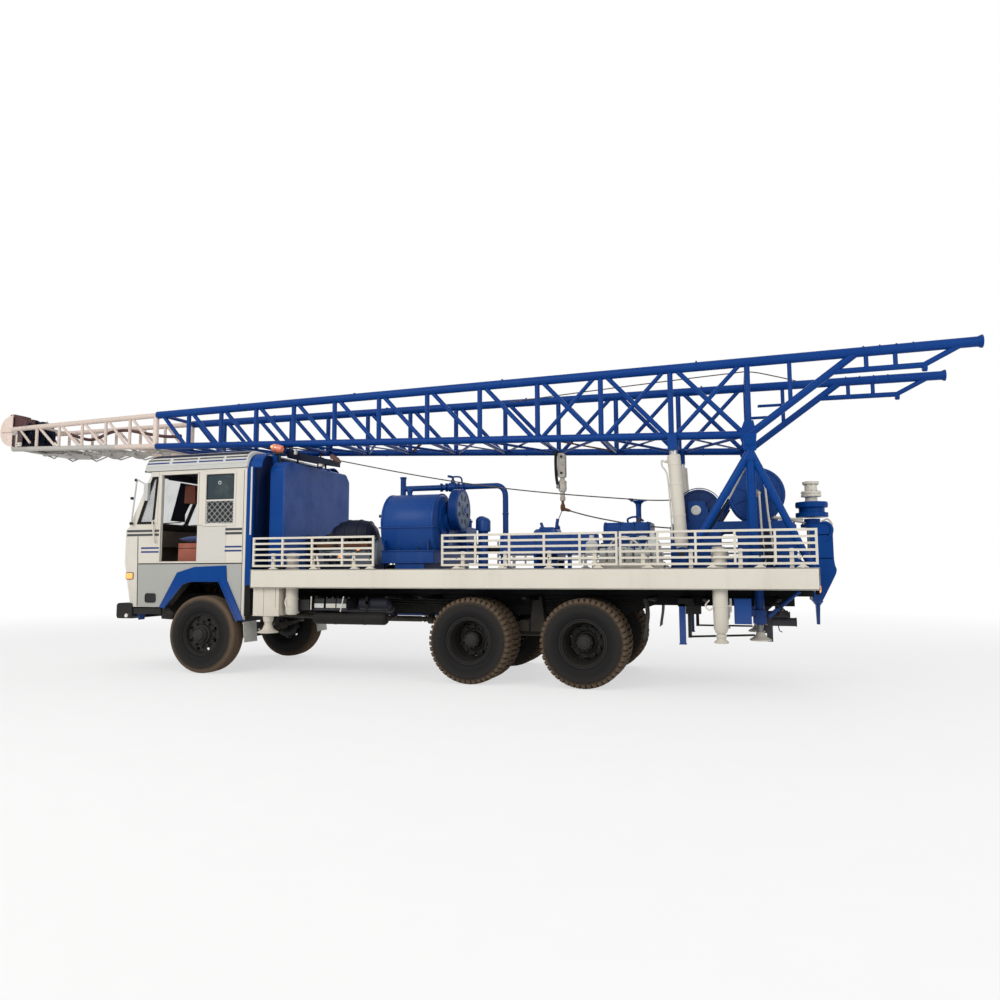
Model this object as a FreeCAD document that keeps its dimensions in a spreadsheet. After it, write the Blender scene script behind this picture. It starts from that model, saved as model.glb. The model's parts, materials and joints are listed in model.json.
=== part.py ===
# Truck-mounted rotary drilling rig, in millimetres.
# The truck points along -X, its left side along -Y, +Z is up and the ground is z = 0.
# Lengths along the truck are counted from the front axle. Every finished piece is then
# moved along X, so that the origin lies midway between the crown and the mast's feet.
import FreeCAD
import Part
import Sketcher
import math
import os
import re

doc = FreeCAD.newDocument("rotary_drilling_rig")
sheet = doc.addObject("Spreadsheet::Sheet", "Dims")

driving_sizes = {
    # wheels and axles
    "tyre_radius": 525, "tyre_half_width": 136, "bead_radius": 262, "bead_half_width": 100,
    "rim_flange_radius": 286, "rim_wall": 14, "flange_wall": 8, "hub_radius": 108,
    "hub_reach": 190, "dual_hub_reach": 210, "hub_cap_radius": 78,
    "spindle_radius": 40, "spindle_gap": 0.5, "wheelbase": 3850, "tandem_spacing": 1410,
    "wheel_outer_y": 1201, "dual_spacing": 320, "kingpin_y": 870, "kingpin_radius": 22,
    "eye_radius": 50, "eye_height": 126, "fork_wall": 35, "fork_gap": 1,
    "axle_beam_width": 90, "axle_beam_height": 80, "axle_drop": 85, "back_plate_radius": 200,
    "shaft_front_z": 740, "shaft_radius": 48, "shaft_flange_radius": 75,
    "axle_tube_radius": 75, "diff_radius": 195, "spring_width": 90, "leaf_wall": 14,
    "rear_leaf_wall": 16, "front_leaves": 7, "rear_leaves": 9, "front_spring_length": 1250,
    "front_spring_y": 390, "front_spring_rise": 98, "rear_spring_y": 480,
    # chassis
    "rail_bottom_z": 800, "rail_height": 260, "rail_width": 80, "rail_wall": 9,
    "rail_y": 350, "chassis_front_x": -1178, "chassis_rear_x": 7650, "crossmember_height": 150,
    "bumper_front_x": -1447, "bumper_depth": 250, "bumper_bottom_z": 720, "bumper_height": 210,
    "bumper_half_width": 1140, "bumper_wall": 20,
    "truck_engine_front_x": -820, "truck_engine_length": 1150, "truck_engine_width": 600,
    "truck_engine_bottom_z": 620, "truck_engine_height": 620,
    "tank_front_x": 1620, "tank_length": 1080, "tank_bottom_z": 680, "tank_height": 370,
    "tank_inner_y": 760, "tank_outer_y": 1150,
    "stand_gap": 581, "stand_y": 900, "stand_width": 60, "stand_bottom_z": 520,
    # cab
    "cab_half_width": 1150, "cab_wall": 40, "cab_nose_x": -1345, "cab_toe_x": -1230,
    "cab_bottom_z": 885, "cab_toe_rise": 50, "cab_rear_x": 640, "waist_z": 1990, "belt_z": 1500,
    "cab_head_z": 2790, "screen_base_x": -1300, "screen_top_x": -930, "screen_frame": 45,
    "screen_side": 75, "screen_sill": 85, "screen_header": 60,
    "roof_front_x": -1060, "roof_top_z": 3060, "roof_wall": 40, "cab_floor_z": 1280,
    "floor_wall": 40, "tunnel_rise": 290, "cab_mount_front_x": -1020, "cab_mount_rear_x": 480,
    "mirror_x": -1225, "mirror_y": 1190, "mirror_bar": 11, "mirror_height": 250,
    "door_front_x": -746, "door_rear_x": -150, "door_bottom_z": 1520, "door_top_z": 2740,
    "door_leaf_top_z": 2015, "door_leaf_wall": 16, "door_leaf_end_x": 330, "door_tongue": 130,
    "door_step": 15, "door_gap": 6, "seat_gap": 0.3, "rear_window_front_x": -10,
    "rear_window_rear_x": 440, "rear_window_bottom_z": 2035, "rear_window_top_z": 2720,
    "glass_wall": 8, "glass_inset": 24, "glass_sill_z": 2366,
    "back_panel_wall": 40, "back_panel_top_z": 3015, "back_panel_corner": 110,
    "back_panel_half_width": 1120, "arch_band_proud": 12, "arch_liner_y": 975,
    "seat_front_x": -430, "seat_rear_x": 80, "seat_z": 1790, "seat_cushion": 110,
    "seat_back_wall": 110, "seat_back_z": 2420, "wheel_y": 560, "wheel_radius": 225,
    "wheel_rim": 15, "wheel_lean": 53,
    # deck
    "deck_front_x": 785, "deck_rear_x": 7865, "deck_top_z": 1385, "deck_plate": 12,
    "deck_half_width": 1215, "beam_height": 220, "beam_width": 75, "board_wall": 15,
    "board_bottom_z": 1159, "board_height": 242,
    "guard_bottom_z": 1436, "guard_top_z": 1830, "guard_y": 1200, "guard_bar": 26,
    "guard_bars": 6, "guard_foot": 44, "guard_foot_rise": 180,
    # water tank and deck machinery
    "water_tank_front_x": 860, "water_tank_depth": 235, "water_tank_half_width": 950,
    "water_tank_top_z": 2900, "water_tank_chamfer": 190,
    "engine_front_x": 1200, "engine_length": 1000, "engine_half_width": 380, "engine_height": 620,
    "gearbox_front_x": 5380, "gearbox_length": 600, "gearbox_half_width": 300,
    "gearbox_height": 600, "gear_post_height": 300, "gear_post_radius": 35,
    "unit_front_x": 4450, "unit_length": 320, "unit_half_width": 260, "unit_height": 560,
    "pump_front_x": 2530, "pump_length": 770, "pump_y": -550, "pump_radius": 400,
    "pump_axis_z": 2000, "pump_saddle_z": 1640, "pump_base_z": 1476, "pump_foot_inset": 200,
    "guide_top_z": 2080, "fluid_inner_y": 400, "fluid_outer_y": 900,
    "fluid_top_z": 2010, "valve_pot_radius": 70, "valve_pot_rise": 130,
    "sheave_gap": 60, "sheave_width": 130, "sheave_radius": 290, "sheave_y": 330,
    "sheave_z": 2190, "sheave_shaft_radius": 40, "sheave_boss_radius": 60,
    "pipe_radius": 38, "pipe_post_radius": 42, "pipe_front_x": 2450, "pipe_rear_x": 3960,
    "pipe_top_z": 2560, "pipe_y": 150, "pipe_cap_z": 2740,
    # drawworks
    "drum_x": 7270, "drum_z": 2285, "drum_flange_radius": 330, "drum_radius": 150,
    "drum_half_width": 370, "drum_flange_wall": 30, "drum_shaft_radius": 45,
    "drum_shaft_proud": 20, "frame_wall": 40, "frame_half_width": 500, "frame_front_x": 6240,
    "frame_rear_x": 7700, "frame_top_z": 1960, "bearing_half_length": 130, "bearing_rise": 100,
    "frame_tie": 60, "frame_tie_height": 120,
    "brake_x": 6590, "brake_z": 2100, "brake_radius": 262, "brake_wall": 60, "brake_gap": 20,
    "brake_shaft_radius": 50, "brake_drum_radius": 110,
    # mast: counted from the hinge pin
    "hinge_x": 7200, "hinge_z": 2840, "hinge_pin_radius": 32, "pin_gap": 0.5,
    "mast_top_rise": 1012, "mast_top_slope": 7.7, "mast_low_rise": 124, "mast_low_slope": 38.3,
    "mast_hinge_half_width": 716, "mast_taper": 34.7, "foot_reach": 2455, "joint_reach": 8700,
    "crown_reach": 11670, "crown_drop": 35, "first_bay": 901, "bay_ratio": 0.9591,
    "blue_bays": 12, "crossed_bays": 3, "crown_bays": 5, "crown_first_post": 488,
    "top_chord_radius": 57, "low_chord_radius": 48, "post_radius": 33, "diagonal_radius": 30,
    "brace_radius": 22, "crown_chord_radius": 40, "crown_post_radius": 24, "joint_gap": 0.6,
    "leg_reach": 1214, "leg_knee": 0.76, "toe_reach": 1874, "heel_reach": 2286,
    "leg_post_radius": 25, "leg_tube_radius": 33, "foot_radius": 72, "foot_wall": 14,
    "lug_length": 120, "lug_width": 60, "lug_height": 190, "lug_drop": 60,
    "ear_length": 110, "ear_wall": 20, "ear_drop": 60, "ear_gap": 6,
    "crown_nose": 300, "crown_frame_depth": 330, "cheek_radius": 310, "cheek_rise": 120,
    "cheek_wall": 16, "cheek_half_width": 345, "crown_sheaves": 3, "crown_sheave_radius": 265,
    "crown_sheave_width": 56, "crown_sheave_gap": 6, "crown_shaft_radius": 45,
    "crown_socket_radius": 48,
    "block_reach": 2410, "block_top_z": 2960, "block_bottom_z": 2110, "block_half_width": 90,
    "block_neck": 350, "hook_radius": 35, "hook_length": 260, "hanger_radius": 20,
    # mast supports
    "support_y": 950, "support_radius": 50, "support_front_x": 6390, "support_rear_x": 7820,
    "support_top_z": 2740, "apex_height": 190, "apex_length": 140, "apex_half_wall": 30,
    "rest_x": 738, "rest_radius": 45, "rest_half_width": 620, "rest_beam_height": 90,
    # mast-raising cylinders
    "lift_base_x": 6395, "lift_base_z": 1560, "lift_eye_x": 6312, "lift_eye_rise": 40,
    "lift_barrel_radius": 80, "lift_barrel_length": 1210, "lift_rod_radius": 50,
    "lift_rod_gap": 0.5, "lift_eye_radius": 48, "lift_eye_half_width": 40,
    "trunnion_radius": 45, "trunnion_half_length": 88, "bracket_wall": 22, "bracket_gap": 6,
    # jacks
    "jack_y": 1080, "front_jack_x": 980, "rear_jack_x": 6822, "tail_jack_x": 7250,
    "tail_jack_y": 640, "jack_radius": 88, "jack_wall": 30, "jack_rod_radius": 50,
    "jack_rod_gap": 0.5, "front_jack_low_z": 700, "rear_jack_low_z": 670, "tail_jack_low_z": 740,
    "jack_foot_z": 560, "jack_foot_radius": 140, "jack_foot_wall": 28, "rear_jack_top_z": 1650,
    "jack_box_front_x": 1290, "jack_box_length": 250, "jack_box_bottom_z": 780,
    "jack_deck_gap": 8, "jack_ear_half_length": 60, "jack_ear_height": 140,
    # rotary head at the tail
    "rotary_x": 7915, "rotary_body_front_x": 7865, "rotary_body_rear_x": 8150,
    "rotary_half_width": 240, "rotary_body_low_z": 1000, "rotary_body_top_z": 1900,
    "rotary_tip_z": 705, "rotary_tip_half_length": 40, "rotary_neck_radius": 90,
    "rotary_table_z": 2010, "rotary_table_radius": 190, "rotary_table_wall": 60,
    "clamp_radius": 118, "clamp_height": 60, "clamp_rise": 260,
    "swivel_top_z": 2455, "swivel_radius": 100, "swivel_bore": 30, "swivel_wall": 43,
    "swivel_flange_wall": 35, "swivel_bolt_circle": 84, "swivel_bolt_radius": 8,
    "swivel_bolts": 8,
}

for row, (alias, size) in enumerate(driving_sizes.items(), start=1):
    sheet.set(f"A{row}", alias)
    sheet.set(f"B{row}", str(size))
    sheet.setAlias(f"B{row}", alias)
doc.recompute()


class SheetReader:
    """The sheet's numbers as attributes, for the shapes that are computed in code."""

    def __getattr__(self, alias):
        return float(sheet.get(alias))


dims = SheetReader()
middle_x = "(hinge_x + (foot_reach - crown_reach - crown_nose) / 2)"
parts = []


def formula(text):
    """An expression in which every plain word is an alias of the sheet."""
    return re.sub(r"\b([a-z][a-z0-9_]*)\b(?!\s*\()", r"Dims.\1", str(text))


def bind(piece, prop, text):
    piece.setExpression(prop, formula(text))


def put(piece, x="0", y="0", z="0"):
    bind(piece, "Placement.Base.x", x)
    bind(piece, "Placement.Base.y", y)
    bind(piece, "Placement.Base.z", z)
    return piece


def box(x, y, z):
    """A block between the low and high limits given for each direction."""
    piece = doc.addObject("Part::Box", "block")
    bind(piece, "Length", f"({x[1]}) - ({x[0]})")
    bind(piece, "Width", f"({y[1]}) - ({y[0]})")
    bind(piece, "Height", f"({z[1]}) - ({z[0]})")
    return put(piece, x[0], y[0], z[0])


turns = {"x": ((0, 1, 0), 90), "y": ((1, 0, 0), -90), "z": ((0, 0, 1), 0)}


def point_along(piece, direction):
    axis, angle = turns[direction]
    piece.Placement.Rotation = FreeCAD.Rotation(FreeCAD.Vector(*axis), angle)
    return piece


def cylinder(direction, x, y, z, radius, length):
    """A round bar that starts at x, y, z and runs along the given direction."""
    piece = doc.addObject("Part::Cylinder", "bar")
    point_along(piece, direction)
    bind(piece, "Radius", radius)
    bind(piece, "Height", length)
    return put(piece, x, y, z)


def leaning_bar(start, end, y, radius):
    """A round bar in an upright plane, from one (x, z) point to another."""
    rise, run = f"({end[1]}) - ({start[1]})", f"({end[0]}) - ({start[0]})"
    piece = doc.addObject("Part::Cylinder", "bar")
    piece.Placement.Rotation = FreeCAD.Rotation(FreeCAD.Vector(0, 1, 0), 10)
    bind(piece, "Placement.Rotation.Angle", f"atan2({run}; {rise})")
    bind(piece, "Radius", radius)
    bind(piece, "Height", f"hypot({run}; {rise})")
    return put(piece, start[0], y, start[1])


def fused(*pieces):
    piece = doc.addObject("Part::MultiFuse", "joined")
    piece.Shapes = list(pieces)
    piece.Refine = True
    return piece


def grouped(*pieces):
    piece = doc.addObject("Part::Compound", "group")
    piece.Links = list(pieces)
    return piece


def cut(base, *tools):
    piece = doc.addObject("Part::Cut", "cut")
    piece.Base = base
    piece.Tool = tools[0] if len(tools) == 1 else fused(*tools)
    return piece


def sketched(points):
    """A body with a closed outline drawn in its XZ plane; each corner is bound to the sheet."""
    body = doc.addObject("PartDesign::Body", "profile")
    sketch = body.newObject("Sketcher::SketchObject", "outline")
    plane = [item for item in body.Origin.OriginFeatures if item.Role == "XZ_Plane"][0]
    sketch.AttachmentSupport = [(plane, "")]
    sketch.MapMode = "FlatFace"
    numbers = [(measure(x), measure(z)) for x, z in points]
    count = len(points)
    for index in range(count):
        start, end = numbers[index], numbers[(index + 1) % count]
        line = Part.LineSegment(FreeCAD.Vector(*start, 0), FreeCAD.Vector(*end, 0))
        sketch.addGeometry(line, False)
    for index in range(count):
        sketch.addConstraint(Sketcher.Constraint("Coincident", index, 2, (index + 1) % count, 1))
        for kind, number, text in zip(("DistanceX", "DistanceY"), numbers[index], points[index]):
            place = sketch.addConstraint(Sketcher.Constraint(kind, -1, 1, index, 1, number))
            bind(sketch, f"Constraints[{place}]", text)
    return body, sketch


scratch = doc.addObject("App::FeaturePython", "Scratch")
scratch.addProperty("App::PropertyFloat", "Number")


def measure(text):
    """The present value of a formula, used to draw a sketch before it is bound."""
    scratch.setExpression("Number", formula(text))
    scratch.recompute()
    return scratch.Number


def prism(points, y_low, y_high):
    """An outline in the XZ plane, made solid between two values of Y."""
    body, sketch = sketched(points)
    pad = body.newObject("PartDesign::Pad", "pad")
    pad.Profile = sketch
    pad.Midplane = True
    bind(pad, "Length", f"({y_high}) - ({y_low})")
    return put(body, "0", f"(({y_high}) + ({y_low})) / 2")


def turned(points, direction, x, y, z):
    """A solid of revolution; each point is a radius and a distance along the axis."""
    body, sketch = sketched(points)
    spin = body.newObject("PartDesign::Revolution", "spin")
    spin.Profile = sketch
    spin.ReferenceAxis = (sketch, ["V_Axis"])
    spin.Angle = 360
    point_along(body, direction)
    return put(body, x, y, z)


def computed(shape):
    piece = doc.addObject("Part::Feature", "computed")
    piece.Shape = shape
    return piece


def node(name, piece):
    """Names a finished piece and moves it so that the origin is at the rig's middle."""
    if piece.TypeId == "Part::Feature":
        piece.Placement.Base.x -= measure(middle_x)
        finished = piece
    else:
        finished = grouped(piece) if piece.ExpressionEngine else piece
        bind(finished, "Placement.Base.x", f"-{middle_x}")
    finished.Label = name
    parts.append(finished)
    return finished


def both_sides(make):
    """The left and the right copy of something; make is given -1 and then +1."""
    return [make("-1"), make("1")]


def span(side, near, far):
    """Limits along Y of what lies between two distances out from the middle, on one side."""
    if side == "-1":
        return (f"-({far})", f"-({near})")
    return (near, far)


# ---------------------------------------------------------------- wheels and axles
axle_z = "tyre_radius"
front_wheel_y = "(wheel_outer_y - tyre_half_width)"
dual_y = "(wheel_outer_y - tyre_half_width - dual_spacing / 2)"
rear_axles_x = ["wheelbase", "wheelbase + tandem_spacing"]


def tyre(side, x, y):
    half = "tyre_half_width"
    outline = [("bead_radius", "-bead_half_width"), ("rim_flange_radius + 2", "-bead_half_width"),
               ("rim_flange_radius + 26", f"-{half} + 14"),
               ("tyre_radius - 110", f"-{half}"), ("tyre_radius - 30", f"-{half} + 18"),
               ("tyre_radius", f"-{half} + 42"), ("tyre_radius", f"{half} - 42"),
               ("tyre_radius - 30", f"{half} - 18"), ("tyre_radius - 110", half),
               ("rim_flange_radius + 26", f"{half} - 14"),
               ("rim_flange_radius + 2", "bead_half_width"), ("bead_radius", "bead_half_width")]
    return turned(outline, "y", x, f"{side} * {y}", axle_z)


def front_rim(side):
    """Rim, dished wheel disc and hub, as one outline turned about the axle."""
    flange = "(bead_half_width + flange_wall)"
    inner = "(bead_radius - rim_wall)"
    bore = "(spindle_radius + spindle_gap)"
    outline = [("0", "hub_reach"), ("hub_cap_radius", "hub_reach"), ("hub_radius", "hub_reach - 28"),
               (f"{inner} - 34", f"{flange} + 42"), (inner, f"{flange} - 4"), (inner, flange),
               ("rim_flange_radius", flange), ("rim_flange_radius", "bead_half_width"),
               ("bead_radius", "bead_half_width"), ("bead_radius", "-bead_half_width"),
               ("rim_flange_radius", "-bead_half_width"), ("rim_flange_radius", f"-{flange}"),
               (inner, f"-{flange}"), (inner, f"{flange} - 24"), (f"{inner} - 40", f"{flange} + 24"),
               ("hub_radius", f"{flange} + 24"), ("hub_radius", f"-{flange} / 2"),
               (bore, f"-{flange} / 2"), (bore, "hub_reach - 70"), ("0", "hub_reach - 70")]
    signed = [(radius, f"{side} * ({along})") for radius, along in outline]
    return turned(signed, "y", "0", f"{side} * {front_wheel_y}", axle_z)


def dual_rim(side, x):
    """The two rims of a twin wheel, their shared disc and the hub."""
    inner = "(bead_radius - rim_wall)"
    bore = "(spindle_radius + spindle_gap)"
    far, near = "(dual_spacing / 2 + bead_half_width)", "(dual_spacing / 2 - bead_half_width)"
    outer_half = [(inner, f"{near} + 2"), (inner, f"{far} + flange_wall"),
                  ("rim_flange_radius", f"{far} + flange_wall"), ("rim_flange_radius", far),
                  ("bead_radius", far), ("bead_radius", near), ("rim_flange_radius", near),
                  ("rim_flange_radius", f"{near} - flange_wall"),
                  ("bead_radius - 4", f"{near} - flange_wall"), ("bead_radius - 34", "10")]
    inner_half = [(radius, f"-({along})") for radius, along in reversed(outer_half)]
    outline = ([("0", "dual_hub_reach"), ("hub_cap_radius", "dual_hub_reach"),
                ("hub_radius", "dual_hub_reach - 30"), ("hub_radius", "18"), (f"{inner} - 36", "18")]
               + outer_half + inner_half
               + [(f"{inner} - 36", "-18"), ("hub_radius", "-18"), ("hub_radius", "-120"),
                  (bore, "-120"), (bore, "dual_hub_reach - 60"), ("0", "dual_hub_reach - 60")])
    signed = [(radius, f"{side} * ({along})") for radius, along in outline]
    return turned(signed, "y", x, f"{side} * {dual_y}", axle_z)


for word, side in (("left", "-1"), ("right", "1")):
    node(f"front_tyre_{word}", tyre(side, "0", front_wheel_y))
    node(f"front_rim_{word}", front_rim(side))
    for number, x in enumerate(rear_axles_x, start=1):
        pair = [tyre(side, x, f"({dual_y} {sign} dual_spacing / 2)") for sign in "+-"]
        node(f"rear_tyres_{number}_{word}", grouped(*pair))
        node(f"rear_rims_{number}_{word}", dual_rim(side, x))


def knuckle(side):
    """Forked steering knuckle with its kingpin, backing plate and spindle."""
    fork_low = f"{axle_z} - eye_height / 2 - fork_wall - fork_gap"
    pin_y = f"{side} * kingpin_y"
    pieces = []
    for low in (fork_low, f"{axle_z} + eye_height / 2 + fork_gap"):
        pieces.append(box(("-eye_radius", "eye_radius"), span(side, "kingpin_y", "kingpin_y + 75"),
                          (low, f"{low} + fork_wall")))
        pieces.append(cylinder("z", "0", pin_y, low, "eye_radius", "fork_wall"))
    pieces.append(cylinder("z", "0", pin_y, fork_low, "kingpin_radius",
                           "eye_height + 2 * (fork_wall + fork_gap)"))
    pieces.append(box(("-eye_radius", "eye_radius"), span(side, "kingpin_y + 56", "kingpin_y + 76"),
                      (fork_low, f"{axle_z} + eye_height / 2 + fork_wall + fork_gap")))
    plate_y = span(side, "kingpin_y + 70", "kingpin_y + 84")
    pieces.append(cylinder("y", "0", plate_y[0], axle_z, "back_plate_radius", "14"))
    spindle_y = span(side, "kingpin_y + 76", f"{front_wheel_y} + hub_reach - 80")
    pieces.append(cylinder("y", "0", spindle_y[0], axle_z, "spindle_radius",
                           f"{spindle_y[1]} - ({spindle_y[0]})"))
    return fused(*pieces)


node("knuckle_left", knuckle("-1"))
node("knuckle_right", knuckle("1"))

beam_top = "(tyre_radius - axle_drop + axle_beam_height / 2)"
beam_low = "(tyre_radius - axle_drop - axle_beam_height / 2)"
beam = box(("-axle_beam_width / 2", "axle_beam_width / 2"),
           ("-(kingpin_y - 120)", "kingpin_y - 120"), (beam_low, beam_top))
eyes = []
for side in ("-1", "1"):
    eyes.append(cylinder("z", "0", f"{side} * kingpin_y", f"{axle_z} - eye_height / 2",
                         "eye_radius", "eye_height"))
    eyes.append(box(("-eye_radius + 10", "eye_radius - 10"),
                    span(side, "kingpin_y - 150", "kingpin_y - 30"),
                    (f"{axle_z} - eye_height / 2", f"{axle_z} + eye_height / 2")))
pin_holes = both_sides(lambda side: cylinder("z", "0", f"{side} * kingpin_y", beam_low,
                                             "kingpin_radius + spindle_gap", "300"))
node("front_axle", cut(fused(beam, *eyes), *pin_holes))

axle_pieces = []
tube_end = f"({dual_y} - 120 - fork_gap)"
spindle_end = f"({dual_y} + dual_hub_reach - 80)"
for x in rear_axles_x:
    axle_pieces.append(cylinder("y", x, f"-{tube_end}", axle_z, "axle_tube_radius",
                                f"2 * {tube_end}"))
    axle_pieces.append(cylinder("y", x, f"-{spindle_end}", axle_z, "spindle_radius",
                                f"2 * {spindle_end}"))
    bulb = doc.addObject("Part::Sphere", "bulb")
    bind(bulb, "Radius", "diff_radius")
    axle_pieces.append(put(bulb, x, "0", axle_z))
axle_pieces.append(cylinder("x", "wheelbase", "0", axle_z, "shaft_radius", "tandem_spacing"))
engine_back = "(truck_engine_front_x + truck_engine_length)"
axle_pieces.append(cylinder("x", f"{engine_back} + seat_gap", "0", "shaft_front_z",
                            "shaft_flange_radius", "70"))
axle_pieces.append(leaning_bar((f"{engine_back} + 35", "shaft_front_z"),
                               ("wheelbase - 100", axle_z), "0", "shaft_radius"))
node("rear_axles", fused(*axle_pieces))


def leaf_pack(x, y, base_z, length, wall, leaves, upwards):
    """Stacked leaves, each shorter than the one it bears on."""
    stack = []
    for index in range(int(measure(leaves))):
        half = f"({length}) / 2 * (1 - 0.8 * {index} / {leaves})"
        low = f"{base_z} + {index} * {wall}" if upwards else f"{base_z} - {index + 1} * {wall}"
        stack.append(box((f"{x} - {half}", f"{x} + {half}"),
                         (f"{y} - spring_width / 2", f"{y} + spring_width / 2"),
                         (low, f"{low} + {wall}")))
    return fused(*stack)


springs = []
for side in ("-1", "1"):
    front_y = f"{side} * front_spring_y"
    pack = leaf_pack("0", front_y, f"({beam_top} + front_spring_rise)",
                     "front_spring_length", "leaf_wall", "front_leaves", False)
    shackles = [box((f"{end} * (front_spring_length / 2 - 30) - 25",
                     f"{end} * (front_spring_length / 2 - 30) + 25"),
                    (f"{front_y} - 30", f"{front_y} + 30"),
                    (f"{beam_top} + front_spring_rise", "rail_bottom_z")) for end in ("-1", "1")]
    springs.append(fused(pack, *shackles))
    mid_x = "(wheelbase + tandem_spacing / 2)"
    pack = leaf_pack(mid_x, f"{side} * rear_spring_y", "(tyre_radius + axle_tube_radius)",
                     "tandem_spacing + 120", "rear_leaf_wall", "rear_leaves", True)
    hanger = box((f"{mid_x} - 90", f"{mid_x} + 90"),
                 span(side, "rail_y + rail_width", "rear_spring_y + spring_width / 2"),
                 ("tyre_radius + axle_tube_radius + rear_leaves * rear_leaf_wall",
                  "rail_bottom_z + rail_height"))
    springs.append(fused(pack, hanger))
node("leaf_springs", grouped(*springs))

# ---------------------------------------------------------------- chassis
rail_top = "(rail_bottom_z + rail_height)"


def channel(side):
    whole = box(("chassis_front_x", "chassis_rear_x"),
                span(side, "rail_y", "rail_y + rail_width"), ("rail_bottom_z", rail_top))
    hollow = box(("chassis_front_x - 5", "chassis_rear_x + 5"),
                 span(side, "rail_y - 5", "rail_y + rail_width - rail_wall"),
                 ("rail_bottom_z + rail_wall", f"{rail_top} - rail_wall"))
    return cut(whole, hollow)


stand_x = "(wheelbase + tandem_spacing + tyre_radius + stand_gap)"


def stand(side):
    """A hanging post behind the last wheel, with its arm from the rail."""
    post_y = span(side, "stand_y - stand_width / 2", "stand_y + stand_width / 2")
    post = box((f"{stand_x} - stand_width / 2", f"{stand_x} + stand_width / 2"), post_y,
               ("stand_bottom_z", "rail_bottom_z + 140"))
    arm = box((f"{stand_x} - stand_width / 2", f"{stand_x} + stand_width / 2"),
              span(side, "rail_y + rail_width - rail_wall", "stand_y"),
              ("rail_bottom_z + 60", "rail_bottom_z + 140"))
    shoe = box((f"{stand_x} - stand_width", f"{stand_x} + stand_width * 2"), post_y,
               ("stand_bottom_z", "stand_bottom_z + 30"))
    return [post, arm, shoe]


crossmembers = []
for x in ("chassis_front_x + 40", f"{engine_back} + 160", "tank_front_x + tank_length",
          "wheelbase - 420", "wheelbase + tandem_spacing + 420", "chassis_rear_x - 60"):
    crossmembers.append(box((f"{x} - 35", f"{x} + 35"),
                            ("-(rail_y + rail_width - rail_wall)",
                             "rail_y + rail_width - rail_wall"),
                            (f"{rail_top} - crossmember_height", rail_top)))
node("chassis_frame", fused(channel("-1"), channel("1"), *crossmembers,
                            *stand("-1"), *stand("1")))

bumper = box(("bumper_front_x", "bumper_front_x + bumper_depth"),
             ("-bumper_half_width", "bumper_half_width"),
             ("bumper_bottom_z", "bumper_bottom_z + bumper_height"))
bumper_back = box(("bumper_front_x + 3 * bumper_wall", "bumper_front_x + bumper_depth + 5"),
                  ("-(bumper_half_width - 3 * bumper_wall)",
                   "bumper_half_width - 3 * bumper_wall"),
                  ("bumper_bottom_z + bumper_wall",
                   "bumper_bottom_z + bumper_height - bumper_wall"))
horns = both_sides(lambda side: box(("bumper_front_x + 50", "chassis_front_x"),
                                    span(side, "rail_y", "rail_y + rail_width"),
                                    ("rail_bottom_z", "bumper_bottom_z + bumper_height")))
node("front_bumper", fused(cut(bumper, bumper_back), *horns))

node("truck_engine", box(("truck_engine_front_x", engine_back),
                         ("-truck_engine_width / 2", "truck_engine_width / 2"),
                         ("truck_engine_bottom_z",
                          "truck_engine_bottom_z + truck_engine_height")))


def side_tank(side):
    body = box(("tank_front_x", "tank_front_x + tank_length"),
               span(side, "tank_inner_y", "tank_outer_y"),
               ("tank_bottom_z", "tank_bottom_z + tank_height"))
    arms = [box((f"{x} - 30", f"{x} + 30"), span(side, "rail_y + rail_width", "tank_inner_y"),
                ("tank_bottom_z + 120", "tank_bottom_z + 200"))
            for x in ("tank_front_x + 200", "tank_front_x + tank_length - 200")]
    return fused(body, *arms)


node("side_tanks", grouped(*both_sides(side_tank)))

# ---------------------------------------------------------------- cab
inner_y = "(cab_half_width - cab_wall)"
toe_z = "(cab_bottom_z + cab_toe_rise)"
front_outline = [("cab_toe_x", toe_z), ("cab_nose_x", "belt_z"),
                 ("cab_nose_x", "waist_z - 20"), ("screen_base_x", "waist_z + 15"),
                 ("screen_top_x", "cab_head_z"), ("screen_top_x + screen_frame", "cab_head_z"),
                 ("screen_base_x + screen_frame", "waist_z + 10"),
                 ("cab_nose_x + screen_frame", "waist_z - 30"),
                 ("cab_nose_x + screen_frame", "belt_z"), ("cab_toe_x + screen_frame", toe_z)]
front_shell = prism(front_outline, "-cab_half_width", "cab_half_width")
screen_hole = box(("cab_nose_x", "0"),
                  ("-(cab_half_width - screen_side)", "cab_half_width - screen_side"),
                  ("waist_z + screen_sill", "cab_head_z - screen_header"))


def mirror(side):
    """Hooped arm beside the windscreen pillar with a mirror head hanging from it."""
    y = f"{side} * mirror_y"
    foot_y = span(side, "cab_half_width", "mirror_y")
    low_x, foot_z, bend_z = "mirror_x", "waist_z + 60", "cab_head_z - 100"
    foot = box((f"{low_x} - 12", f"{low_x} + 12"), foot_y, (f"{foot_z} - 12", f"{foot_z} + 12"))
    arm = leaning_bar((low_x, foot_z), (f"{low_x} + 70", bend_z), y, "mirror_bar")
    hoop = leaning_bar((f"{low_x} + 70", bend_z), (f"{low_x} + 250", f"{bend_z} - 90"), y,
                       "mirror_bar")
    head = box((f"{low_x} + 215", f"{low_x} + 285"), (f"{y} - 25", f"{y} + 25"),
               (f"{bend_z} - 60 - mirror_height", f"{bend_z} - 60"))
    return fused(foot, arm, hoop, head)


node("cab_front", fused(cut(front_shell, screen_hole), *both_sides(mirror)))

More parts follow.
